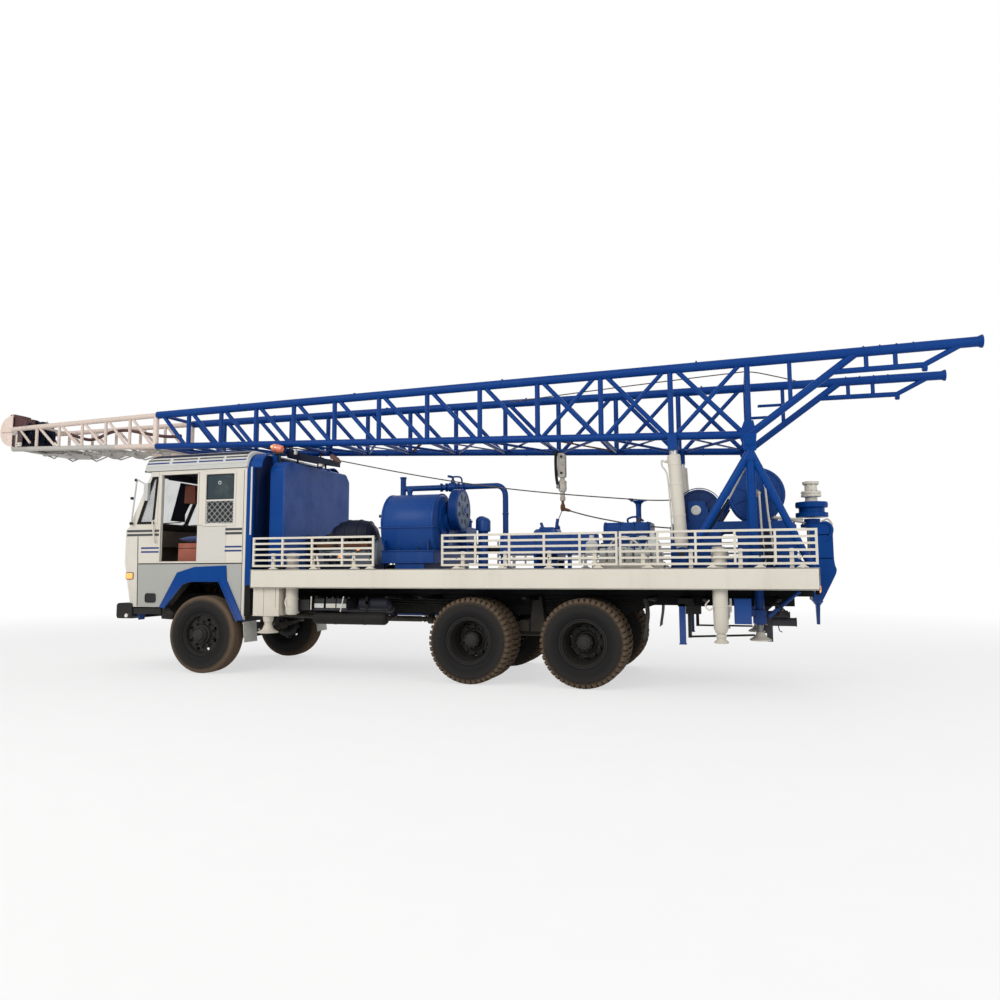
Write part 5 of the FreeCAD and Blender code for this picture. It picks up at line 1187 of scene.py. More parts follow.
def noseTrim():
    blank = Blank()
    for side in (-1, 1):
        blank.use(blackTrim).cut([roundedBox((-1.314, 1.27), (-1.186, 1.368), 0.016)], 0.01,
            sideFlat(side * 1.153))
        blank.use(amberLens).loft([[at(x, side * y, z)
            for x, z in ((-1.306 + d, 1.278 + d), (-1.194 - d, 1.278 + d), (-1.194 - d, 1.36 - d),
            (-1.306 + d, 1.36 - d))] for y, d in ((1.156, 0.0), (1.166, 0.004), (1.17, 0.014))])
        blank.use(blackTrim)
        frame = roundedBox((-0.972, 0.945), (-0.79, 1.076), 0.034)
        blank.cut([frame, grown(frame, -0.014)], 0.014, sideFlat(side * 1.153))
        blank.cut([grown(frame, -0.012)], 0.006, sideFlat(side * 1.1515))
        for i in range(4):
            z = 0.965 + i * 0.028
            blank.block(at(-0.955, side * 1.151, z), at(-0.807, side * 1.158, z + 0.008))
    for side in (-1, 1):  # paired round lamps in a black bezel
        bezel = roundedBox((side * 0.84 - 0.25, 1.115), (side * 0.84 + 0.25, 1.335), 0.05)
        lie = endwise(-1.322, 0, 0)
        tip = Matrix.Rotation(math.radians(-11.5), 4, "Y")
        hinge = Matrix.Translation(at(-1.318, 0, 1.3))
        blank.use(blackTrim).cut([bezel], 0.022, hinge @ tip @ hinge.inverted() @ lie)
        for y in (-0.115, 0.115):
            centre = at(-1.318, side * 0.84 + y, 1.225)
            out = Vector((-0.98, 0, -0.2))
            blank.use(chrome).turned(centre, out, [(0, 0.095), (0.03, 0.098), (0.036, 0.093),
                (0.03, 0.086), (0.0, 0.06)], 32)
            blank.use(clearLens).turned(centre, out, [(0.028, 0.087), (0.036, 0.074),
                (0.043, 0.045), (0.046, 0.0)], 32)
    for i in range(9):  # cooling louvres in the nose
        z = 1.545 + i * 0.036
        blank.use(blackTrim).loft([[at(-1.3455, y, z), at(-1.357, y, z + 0.004),
            at(-1.3455, y, z + 0.024)] for y in (-0.56, 0.56)])
    blank.use(cabFrontPaint)
    grille = oblong(-0.6, 1.525, 0.6, 1.875)
    lie = endwise(-1.349, 0, 0)
    blank.cut([grown(grille, 0.012), grown(grille, -0.012)], 0.012, lie)
    blank.use(latticePaint).cut([roundedBox((-0.26, 0.985), (0.26, 1.095), 0.01)], 0.004,
        Matrix.Translation((-0.02, 0, 0)) @ endwise(-1.235, 0, 0))
    for y in (-0.55, 0.1):  # wipers at rest along the foot of the screen
        foot = at(-1.302, y, 2.062)
        blank.use(blackTrim).rod(foot, foot + Vector((-0.012, 0, 0.02)), 0.018, sides=14)
        tipSpot = foot + Vector((-0.004, 0.3, 0.055))
        blank.rod(foot + Vector((-0.01, 0, 0.016)), tipSpot, 0.0055, sides=8)
        blank.square(tipSpot + Vector((0, -0.24, -0.022)), tipSpot + Vector((0, 0.2, 0.02)), 0.01,
            0.014)
    return blank.made("nose_trim", "truck", bevel=0.003)


def screenTrim():
    slope = Vector((0.37, 0, 0.8))  # foot to head of the windscreen
    base, along = at(-1.3, 0, 2.0), slope.normalized()
    lie = Matrix.Translation(base) @ Matrix((Vector(rightward), along,
        Vector(rightward).cross(along))).transposed().to_4x4()
    blank = Blank().use(sealRubber)
    for low, high in ((-1.072, -0.022), (0.022, 1.072)):
        edge = roundedBox((low, 0.088), (high, 0.818), 0.05)
        blank.cut([grown(edge, 0.014), grown(edge, -0.01)], 0.026, lie)
    blank.use(cabFrontPaint).cut([oblong(-0.026, 0.085, 0.026, 0.82)], 0.018, lie)
    return blank.made("windscreen_trim", "truck", bevel=0.003)


def grabHandles():
    blank = Blank().use(creamPaint)
    for side in (-1, 1):
        y = side * 1.15
        blank.curve([at(-0.862, y, 2.09), at(-0.866, y + side * 0.03, 2.088),
            at(-0.862, y + side * 0.04, 2.05), at(-0.838, y + side * 0.042, 1.93),
            at(-0.82, y + side * 0.04, 1.83), at(-0.816, y + side * 0.03, 1.794),
            at(-0.814, y, 1.79)], 0.0105, 10)
        for x, z in ((-0.862, 2.09), (-0.814, 1.79)):
            blank.turned(at(x, y, z), (0, side, 0), [(-0.002, 0.022), (0.006, 0.021),
                (0.008, 0.012), (0.01, 0.0)], 16)
    return blank.made("grab_handles", "truck", bevel=0.0)


def bumperTrim():
    blank = Blank().use(bumperPaint)
    for side in (-1, 1):
        end = roundedBox((-1.44, 0.722), (-1.175, 0.938), 0.045, 6)
        blank.cut([end], 0.17, sideFlat(side * 1.083))
        blank.block(at(-1.18, side * 1.1, 0.785), at(-0.7, side * 1.15, 0.868))
        blank.use(clearLens).turned(at(-1.265, side * 1.166, 0.762), (0, side, 0),
            [(0, 0.026), (0.008, 0.026), (0.016, 0.018), (0.018, 0)], 24)
        blank.use(chrome).turned(at(-1.265, side * 1.166, 0.762), (0, side, 0),
            [(0, 0.032), (0.009, 0.031), (0.006, 0.026), (0, 0.026)], 24, closed=True)
        blank.use(bluePaint).loft([[at(-1.15, side * y, 0.785), at(-1.1, side * y, 0.785),
            at(-1.115, side * y, 0.7), at(-1.13, side * y, 0.7)] for y in (0.98, 1.09)])
        blank.use(hoseRubber).loft([[at(-0.735, side * y, 0.868), at(-0.6, side * y, 0.885),
            at(-0.5, side * y, 0.8), at(-0.53, side * y, 0.715), at(-0.7, side * y, 0.722)]
            for y in (0.98, 1.128)])
        blank.use(bumperPaint)
        blank.rod(at(-1.447, side * 0.42, 0.8), at(-1.456, side * 0.42, 0.8), 0.05, 0.045, 24)
        blank.use(amberLens).turned(at(-1.447, side * 0.72, 0.825), forward,
            [(0, 0.034), (0.006, 0.033), (0.012, 0.022), (0.014, 0)], 24)
        blank.use(bumperPaint)
    return blank.made("bumper_trim", "truck", bevel=0.006)


def mirrorTrim():
    blank = Blank()
    for side in (-1, 1):
        y = side * 1.19
        for x, z in ((-1.225, 2.42), (-1.165, 2.68), (-1.225, 2.06), (-0.985, 2.6)):
            blank.use(blackTrim).turned(at(x, y - side * 0.018, z), (0, side, 0),
                [(0, 0.021), (0.036, 0.021), (0.04, 0.012), (0.04, 0)], 14)
    return blank.made("mirror_clamps", "truck", bevel=0.002)


def beacon():  # one warning lamp lying across a short post at the tank's corner
    blank = Blank().use(blackTrim).rod(at(0.9, -0.75, 2.88), at(0.88, -0.75, 3.04), 0.016,
        sides=14)
    blank.block(at(0.8, -0.79, 3.022), at(0.93, -0.71, 3.04), 0.004)
    start = at(0.758, -0.75, 3.122)
    blank.use(redLens).turned(start, (1, 0, -0.22),
        [(0, 0.0), (0.003, 0.034), (0.018, 0.052), (0.045, 0.058), (0.13, 0.056), (0.168, 0.048),
        (0.18, 0.032), (0.184, 0.0)], 36)
    blank.use(amberLens).turned(at(0.79, -0.803, 3.125), (0, -1, 0.25),
        [(0, 0.022), (0.008, 0.02), (0.012, 0.012), (0.014, 0.0)], 24)
    blank.use(chrome).turned(start, (1, 0, -0.22), [(0.084, 0.0605), (0.094, 0.0605),
        (0.094, 0.055), (0.084, 0.055)], 36, closed=True)
    return blank.made("beacon", "truck")


def makeRoof():  # pressed roof with full round shoulders, drawn in at the front and rear
    half = [(1.15, 2.79), (1.15, 2.88)] + [(roofShoulder["y"] + roofShoulder["wide"] * math.cos(a),
        roofShoulder["z"] + roofShoulder["tall"] * math.sin(a))
        for a in (math.pi * i / 18 for i in range(1, 10))]
    section = half + [(-y, z) for y, z in half[::-1]]
    stations = ((-1.036, 0.3), (-1.046, 0.62), (-1.04, 0.84), (-1.02, 0.94), (-0.985, 0.985),
        (-0.93, 1.0), (0.58, 1.0), (0.62, 0.97), (0.636, 0.9), (0.64, 0.82))
    blank = Blank().use(cabRoofPaint)
    blank.loft([[at(x, y, 2.79 + (z - 2.79) * rise) for y, z in section] for x, rise in stations])
    return blank.made("cab_roof_shell", "truck", crease=42.0, stands=("cab_roof",))


def makeRearWall():  # rear panel with round top corners, side flanges and a pale strip that is a painted highlight
    half = [(1.12, 1.066), (1.12, 2.8)] + [(0.87 + 0.25 * math.cos(a), 2.8 + 0.215 * math.sin(a))
        for a in (math.pi * i / 20 for i in range(1, 11))]
    section = half + [(-y, z) for y, z in half[::-1]]
    # the wall's face towards the tank carries the navy painted shade of its finish
    blank = Blank().use(cabBackPaintAndShade)
    blank.loft([[at(x, y, z) for y, z in section] for x in (0.611, 0.68)])
    for side in (-1, 1):
        blank.use(bluePaint).loft([[at(x, side * y, z)
            for x, y in ((0.642, 1.1), (0.642, 1.146), (0.724, 1.14), (0.73, 1.128), (0.73, 1.1))]
            for z in (1.19, 2.8)])
        blank.use(sealRubber).loft([[at(x, side * y, z)
            for x, y in ((0.642, 1.1), (0.642, 1.14), (0.722, 1.134), (0.728, 1.122),
            (0.728, 1.1))] for z in (0.78, 1.188)])
        # a cream strip down the upper part of each flange's outer edge, as a painted highlight
        blank.use(creamPaint).block(at(0.7, side * 1.132, 1.87), at(0.722, side * 1.15, 2.8))
    blank.use(bluePaint)  # rounded fairing that closes the corner between roof and wall
    for sign in (-1, 1):
        ring = [(y, z) for y, z in half[1:]] + [(y - 0.012, z - 0.012) for y, z in half[:0:-1]]
        blank.loft([[at(x, sign * y, z) for y, z in ring] for x in (0.645, 0.85)])
    return blank.made("cab_rear_panel", "truck", bevel=0.003, stands=("cab_rear_wall",))


def roofRack():  # dark hose box and small pale fittings between the roof and the tank top
    blank = Blank().use(navyPaint)
    blank.loft([[at(0.8, y, z), at(1.1, y, z - 0.075), at(1.5, y, z - 0.165),
        at(1.5, y, z - 0.245), at(1.1, y, z - 0.175), at(0.8, y, z - 0.11)]
        for y, z in ((-0.43, 3.125), (-0.12, 3.125))])
    blank.use(creamPaint).block(at(0.955, -0.5, 3.045), at(0.985, -0.45, 3.13), 0.004)
    blank.use(darkSteel)
    for x in (0.9, 1.36):
        blank.rod(at(x, -0.3, 2.85), at(x, -0.3, 3.05 - (x - 0.9) * 0.3), 0.014, sides=12)
    return blank.made("roof_end_box", "truck", bevel=0.004)


for side in (-1, 1):
    cabStripes(side)
    cabSeams(side)
    archBand(side)
    cabWindows(side)
cabRoofTrim()
noseTrim()
screenTrim()
grabHandles()
bumperTrim()
mirrorTrim()
beacon()
makeRoof()
makeRearWall()
roofRack()
print("cab trim ready")


# seats and dash
seatShape = {"front": -0.56, "rear": 0.08, "inner": 0.372, "outer": 1.04, "boxTop": 1.775,
    "backTop": 2.415, "flutes": 5}


def pad(low, high, thick, flutes):
    # a crowned closed pad: low and high are the corners of its flat face, thick its fullness
    across, along = 26, 22
    spread, rise = high[1] - low[1], high[0] - low[0]
    mesh = Blank().use(seatCloth)
    points, rings = [], []
    for layer in (1, -1):
        for i in range(along + 1):
            for j in range(across + 1):
                u, v = i / along, j / across
                edge = min(1.0, 6.5 * min(u, 1 - u)) ** 0.5 * min(1.0, 6.5 * min(v, 1 - v)) ** 0.5
                crown = 0.55 + 0.45 * math.sin(math.pi * u) * math.sin(math.pi * v)
                groove = abs(math.sin(math.pi * v * flutes)) ** 0.45 if layer > 0 else 1.0
                pull = 0.018 * (1 - edge)
                height = thick * (0.5 + 0.5 * layer * edge * crown * (0.8 + 0.2 * groove))
                waist = 1 - 0.015 * (1 - abs(2 * u - 1))
                points.append(Vector((low[0] + rise * (0.5 + (u - 0.5) * (1 - pull)),
                    low[1] + spread * (0.5 + (v - 0.5) * waist), height)))
    wide = across + 1
    size = (along + 1) * wide
    for layer in range(2):
        for i in range(along):
            for j in range(across):
                a = layer * size + i * wide + j
                ring = (a, a + 1, a + wide + 1, a + wide)
                rings.append(ring if layer == 0 else ring[::-1])
    border = ([(0, j) for j in range(across)] + [(i, across) for i in range(along)]
        + [(along, j) for j in range(across, 0, -1)] + [(i, 0) for i in range(along, 0, -1)])
    spots = [i * wide + j for i, j in border]
    for k, a in enumerate(spots):
        b = spots[(k + 1) % len(spots)]
        rings.append((a, a + size, b + size, b))
    return mesh.faces(points, rings)


def placeFlat(blank, matrix):
    for vert in blank.mesh.verts:
        vert.co = matrix @ vert.co
    return blank


def makeSeats():
    s = seatShape
    shell = Blank()
    for side in (-1, 1):
        inner, outer = sorted((side * s["inner"], side * s["outer"]))
        shell.use(seatBoxTrim).block(at(s["front"] + 0.012, inner + 0.01, 1.321),
            at(s["rear"] - 0.004, outer - 0.01, s["boxTop"]), 0.004)
        shell.use(blackTrim).block(at(s["front"] + 0.03, inner + 0.02, 1.3205),
            at(s["rear"] - 0.01, outer - 0.02, 1.36))
        shell.use(seatBoxTrim).block(at(0.135, inner + 0.01, 1.321),
            at(0.188, outer - 0.01, s["backTop"] - 0.03))
        for z in (1.42, 1.7):
            shell.use(blackTrim).block(at(s["front"] + 0.008, inner + 0.006, z),
                at(s["rear"], outer - 0.006, z + 0.008))
    shell.made("seat_boxes", "truck", bevel=0.008, stands=("seats",))
    for side, name in sideName.items():
        inner, outer = sorted((side * s["inner"], side * s["outer"]))
        seat = pad((s["front"] + 0.004, inner), (s["rear"] - 0.002, outer), 0.118, s["flutes"])
        placeFlat(seat, Matrix.Translation(at(0, 0, s["boxTop"] + 0.002)))
        piece = seat.made(f"seat_cushion_{name}", "truck", crease=80, levels=1, merge=True)
        back = pad((1.8, inner + 0.004), (s["backTop"], outer - 0.004), 0.052, s["flutes"])
        turn = Matrix(((0, 0, -1, axleX + 0.133), (0, 1, 0, 0), (1, 0, 0, 0.095), (0, 0, 0, 1)))
        placeFlat(back, Matrix.Translation((0, 0, -0.095)) @ turn)
        piece = back.made(f"seat_back_{name}", "truck", crease=80, levels=1, merge=True)


def dashDetail():
    blank = Blank().use(blackTrim)
    blank.loft([[at(-1.01, y, 1.955), at(-0.958, y, 1.955), at(-0.952, y, 2.045),
        at(-0.98, y, 2.085), at(-1.06, y, 2.06)] for y in (0.34, 0.8)])
    for y in (0.43, 0.57, 0.71):
        blank.use(clearLens).turned(at(-0.953, y, 2.005), (1, 0, 0.1),
            [(0, 0.05), (0.004, 0.048), (0.005, 0.0)], 24)
        blank.use(chrome).turned(at(-0.953, y, 2.005), (1, 0, 0.1),
            [(0, 0.055), (0.006, 0.054), (0.004, 0.05), (0, 0.05)], 24, closed=True)
    blank.use(blackTrim).turned(at(-0.77, 0.56, 2.02), (0.6, 0, 0.8),
        [(-0.02, 0.05), (0.012, 0.062), (0.03, 0.05), (0.036, 0.0)], 24)
    blank.use(darkSteel).curve([at(-0.62, 0.2, 1.6), at(-0.6, 0.2, 1.8), at(-0.66, 0.21, 2.0),
        at(-0.7, 0.21, 2.07)], 0.011)
    blank.use(blackTrim).turned(at(-0.7, 0.21, 2.06), (-0.3, 0, 1),
        [(0, 0.012), (0.01, 0.026), (0.035, 0.03), (0.055, 0.022), (0.062, 0)], 20)
    for y in (0.44, 0.56, 0.7):  # pedals
        blank.use(blackTrim).loft([[at(-1.1, y + d, 1.42), at(-1.08, y + d, 1.4),
            at(-1.03, y + d, 1.5), at(-1.05, y + d, 1.52)] for d in (-0.03, 0.03)])
    blank.use(ceilingTrim)
    for side in (-1, 1):  # sun visors folded up behind the screen head
        blank.loft([[at(-0.86, side * 0.22, z), at(-0.85, side * 0.22, z),
            at(-0.85, side * 0.9, z), at(-0.86, side * 0.9, z)] for z in (2.7, 2.77)])
    # dark hanging trim behind the screen
    blank.loft([[at(x + dx, y, z) for x, y, z in ((-0.96, -0.52, 2.7), (-1.095, -0.455, 2.395),
        (-1.212, -0.405, 2.14), (-1.215, -0.085, 2.135), (-1.165, -0.15, 2.25),
        (-1.095, -0.14, 2.395), (-0.96, 0.12, 2.69))] for dx in (0.0, 0.012)])
    blank.use(seatBoxTrim).block(at(-0.93, -0.46, 2.395), at(-0.74, -0.22, 2.665), 0.006)
    return blank.made("dash_detail", "truck", bevel=0.003)


makeSeats()
dashDetail()
print("cab inside ready")


# water tank behind the cab
tankShape = {"front": 0.864, "rear": 1.092, "half": 0.946, "foot": deckTop, "top": 2.896,
    "chamfer": 0.105, "round": 0.035}


def tankOutline(inset=0.0):
    half, top = tankShape["half"] - inset, tankShape["top"] - inset
    cut = tankShape["chamfer"]
    corners = [(half, tankShape["foot"]), (half, top - cut), (half - cut, top), (-half + cut, top),
        (-half, top - cut), (-half, tankShape["foot"])]
    line = []
    for i, corner in enumerate(corners):
        if i in (0, 5):
            line.append(corner)
            continue
        before, after = Vector(corners[i - 1]), Vector(corners[i + 1])
        here = Vector(corner)
        start = here + (before - here).normalized() * tankShape["round"]
        end = here + (after - here).normalized() * tankShape["round"]
        for s in range(5):
            t = s / 4
            line.append(tuple((start.lerp(here, t)).lerp(here.lerp(end, t), t)))
    return line


def makeTank():
    blank = Blank()

    def face(x, inset):
        return [at(x, y, z) for y, z in tankOutline(inset)]

    blank.use(bluePaint).loft([face(tankShape["front"], 0.012),
        face(tankShape["front"] + 0.012, 0.0), face(tankShape["rear"] - 0.012, 0.0)], capped=False)
    blank.faces(face(tankShape["front"], 0.012), [tuple(range(len(tankOutline())))])
    blank.use(tankPaint)
    blank.loft([face(tankShape["rear"] - 0.012, 0.0), face(tankShape["rear"], 0.012)],
        capped=False)
    blank.faces(face(tankShape["rear"], 0.012), [tuple(range(len(tankOutline())))])
    blank.use(bluePaint)
    blank.turned(at(0.98, 0.3, 2.895), upward, [(0, 0.115), (0.02, 0.115), (0.022, 0.1),
        (0.03, 0.1), (0.034, 0.0)], 32)
    blank.use(darkSteel).rod(at(1.095, 0.62, 1.5), at(1.16, 0.62, 1.5), 0.03, sides=16)
    blank.use(navyPaint)
    for y in (-0.93, 0.93):
        blank.block(at(0.85, y - 0.02, deckTop), at(1.11, y + 0.02, 1.44))
    return blank.made("water_tank_shell", "truck", bevel=0.004, stands=("water_tank",))


# deck engine
blockShape = {"front": 1.24, "rear": 2.05, "half": 0.24, "foot": 1.5, "top": 1.9}
engineGrey = vehiclePaint("engine_grey", shade(132, 142, 152), shade(98, 104, 112), gloss=0.5,
    dirt=0.8)


def makeDeckEngine():
    s = blockShape
    blank = Blank().use(engineGrey)
    blank.loft([[at(x, y, z) for y, z in ((-0.19, 1.46), (0.19, 1.46), (0.24, 1.58), (0.22, 1.79),
        (-0.22, 1.79), (-0.24, 1.58))] for x in (s["front"], s["rear"])])
    for i in range(6):  # one head and one rocker cover to each cylinder
        x = s["front"] + 0.07 + i * 0.131
        blank.use(engineGrey).block(at(x - 0.056, -0.17, 1.785), at(x + 0.056, 0.17, 1.855), 0.006)
        blank.use(navyPaint).loft([[at(x + dx, y, z) for y, z in ((-0.1, 1.852), (0.1, 1.852),
            (0.085, 1.905), (-0.085, 1.905))] for dx in (-0.05, 0.05)])
        blank.use(darkSteel).turned(at(x, 0, 1.905), upward,
            [(0, 0.016), (0.012, 0.014), (0.013, 0.0)], 12)
        blank.curve([at(x, -0.17, 1.82), at(x, -0.25, 1.83), at(x + 0.01, -0.29, 1.8),
            at(x + 0.02, -0.3, 1.74)], 0.027, 10, 4)
        blank.use(dullSteel).curve([at(x + 0.03, -0.24, 1.62), at(x + 0.04, -0.27, 1.7),
            at(x + 0.03, -0.22, 1.81)], 0.0045, 6, 4)
    blank.use(rustyPaint).rod(at(s["front"] + 0.02, -0.3, 1.735), at(s["rear"], -0.3, 1.735),
        0.042, sides=20)
    blank.turned(at(s["rear"] - 0.03, -0.3, 1.735), rearward,
        [(0, 0.055), (0.05, 0.055), (0.06, 0.04), (0.1, 0.0)], 20)
    blank.use(engineGrey).rod(at(1.34, -0.245, 1.6), at(1.8, -0.285, 1.6), 0.05, sides=18)
    blank.block(at(1.5, -0.31, 1.54), at(1.7, -0.24, 1.66))
    blank.use(navyPaint).rod(at(1.4, -0.29, 1.49), at(1.4, -0.29, 1.64), 0.045, sides=20)
    blank.rod(at(1.53, -0.29, 1.48), at(1.53, -0.29, 1.6), 0.045, sides=20)
    blank.use(amberLens).block(at(1.6, -0.325, 1.56), at(1.64, -0.315, 1.61))
    blank.turned(at(1.88, -0.262, 1.69), leftward, [(0, 0.03), (0.012, 0.028), (0.014, 0)], 20)
    blank.use(dullSteel).turned(at(1.225, 0, 1.66), forward,
        [(0, 0.09), (0.01, 0.1), (0.03, 0.085), (0.04, 0.1), (0.05, 0.1), (0.05, 0.03)], 32)
    for i in range(6):  # fan blades between the block and the radiator
        turn = i * math.pi / 3
        tip = Vector((0, math.cos(turn), math.sin(turn)))
        wide = Vector((0, -math.sin(turn), math.cos(turn))) * 0.04
        hub = at(1.18, 0, 1.66)
        blank.use(navyPaint).loft([[hub + tip * r + wide * w + Vector((0.012 * w * 3, 0, 0)),
            hub + tip * r - wide * w, hub + tip * r - wide * w + Vector((0.004, 0, 0)),
            hub + tip * r + wide * w + Vector((0.016, 0, 0))]
            for r, w in ((0.04, 0.6), (0.2, 1.1))])
    blank.use(navyPaint)
    for y in (-0.3, 0.26):
        blank.block(at(1.2, y, deckTop), at(2.3, y + 0.04, 1.46))
    blank.block(at(1.115, -0.36, 1.42), at(1.165, 0.36, 1.88), 0.004)
    blank.use(blackTrim)
    for i in range(14):
        z = 1.47 + i * 0.028
        blank.block(at(1.11, -0.32, z), at(1.117, 0.32, z + 0.012))
    for z in (1.84, 1.47):  # radiator hoses
        blank.use(hoseRubber).curve([at(1.16, 0.1, z), at(1.22, 0.1, z + 0.01),
            at(1.26, 0.06, 1.84 if z > 1.7 else 1.52)], 0.026, 14, 6)
    blank.use(engineGrey).turned(at(s["rear"], 0, 1.63), rearward,
        [(0, 0.2), (0.03, 0.235), (0.1, 0.235), (0.14, 0.19), (0.19, 0.14), (0.22, 0.12),
        (0.22, 0.045), (0.28, 0.045)], 40)
    blank.bolts(at(s["rear"] + 0.1, 0, 1.63), rearward, 0.222, 12, 0.008, 0.012)
    blank.use(darkSteel).rod(at(2.3, 0, 1.63), at(2.53, -0.2, 1.66), 0.035, sides=16)
    for x in (1.45, 1.85):
        blank.use(hoseRubber).turned(at(x, 0.28, 1.42), upward,
            [(0, 0.05), (0.02, 0.055), (0.045, 0.05)], 20)
    blank.made("deck_engine_block", "truck", bevel=0.004, stands=("deck_engine",))
    hood = Blank().use(navyPaint)  # the dark humped hood over the air cleaner and its elbow
    hump = [(1.45, 1.9, 0.14), (1.48, 1.95, 0.17), (1.54, 2.02, 0.2), (1.62, 2.075, 0.21),
        (1.72, 2.1, 0.21), (1.9, 2.1, 0.2), (2.04, 2.075, 0.17), (2.12, 2.0, 0.12),
        (2.15, 1.92, 0.08)]
    loops = []
    for x, top, half in hump:
        loops.append([at(x, -0.2 + half * math.cos(a), 1.86 + (top - 1.86) * math.sin(a))
            for a in (math.pi * i / 14 for i in range(15))])
    hood.loft(loops)
    for x, top, half in hump[2:7]:  # raised bands across the hood
        hood.loft([[at(x + dx, -0.2 + (half + 0.006) * math.cos(a),
            1.86 + (top + 0.006 - 1.86) * math.sin(a)) for a in (math.pi * i / 14
            for i in range(15))] for dx in (-0.012, 0.012)])
    hood.use(hoseRubber).curve([at(1.55, -0.34, 1.93), at(1.52, -0.4, 1.86), at(1.56, -0.36, 1.76),
        at(1.62, -0.3, 1.7)], 0.024, 12)
    hood.made("deck_engine_hood", "truck", bevel=0.003)


# mud pump
pumpShape = {"front": 2.532, "rear": 3.296, "y": -0.55, "z": 2.0, "radius": 0.398, "seam": 1.94,
    "foot": 1.645}
sheaveFace = vehiclePaint("sheave_face_grey", shade(126, 138, 158), shade(92, 104, 128), gloss=0.5,
    fade=0.7)


def pumpSection(inset, steps=22):  # the power end seen along the truck: barrel above, taper below
    r = pumpShape["radius"] - inset
    start = math.asin(max(-1, (pumpShape["seam"] - pumpShape["z"]) / r))
    arc = [(pumpShape["y"] + r * math.cos(a), pumpShape["z"] + r * math.sin(a))
        for a in (start + (math.pi - 2 * start) * s / steps for s in range(steps + 1))]
    low = pumpShape["foot"] + inset * 0.5
    return arc + [(pumpShape["y"] - r * 0.93, 1.8), (pumpShape["y"] - r * 0.74, low),
        (pumpShape["y"] + r * 0.74, low), (pumpShape["y"] + r * 0.93, 1.8)]


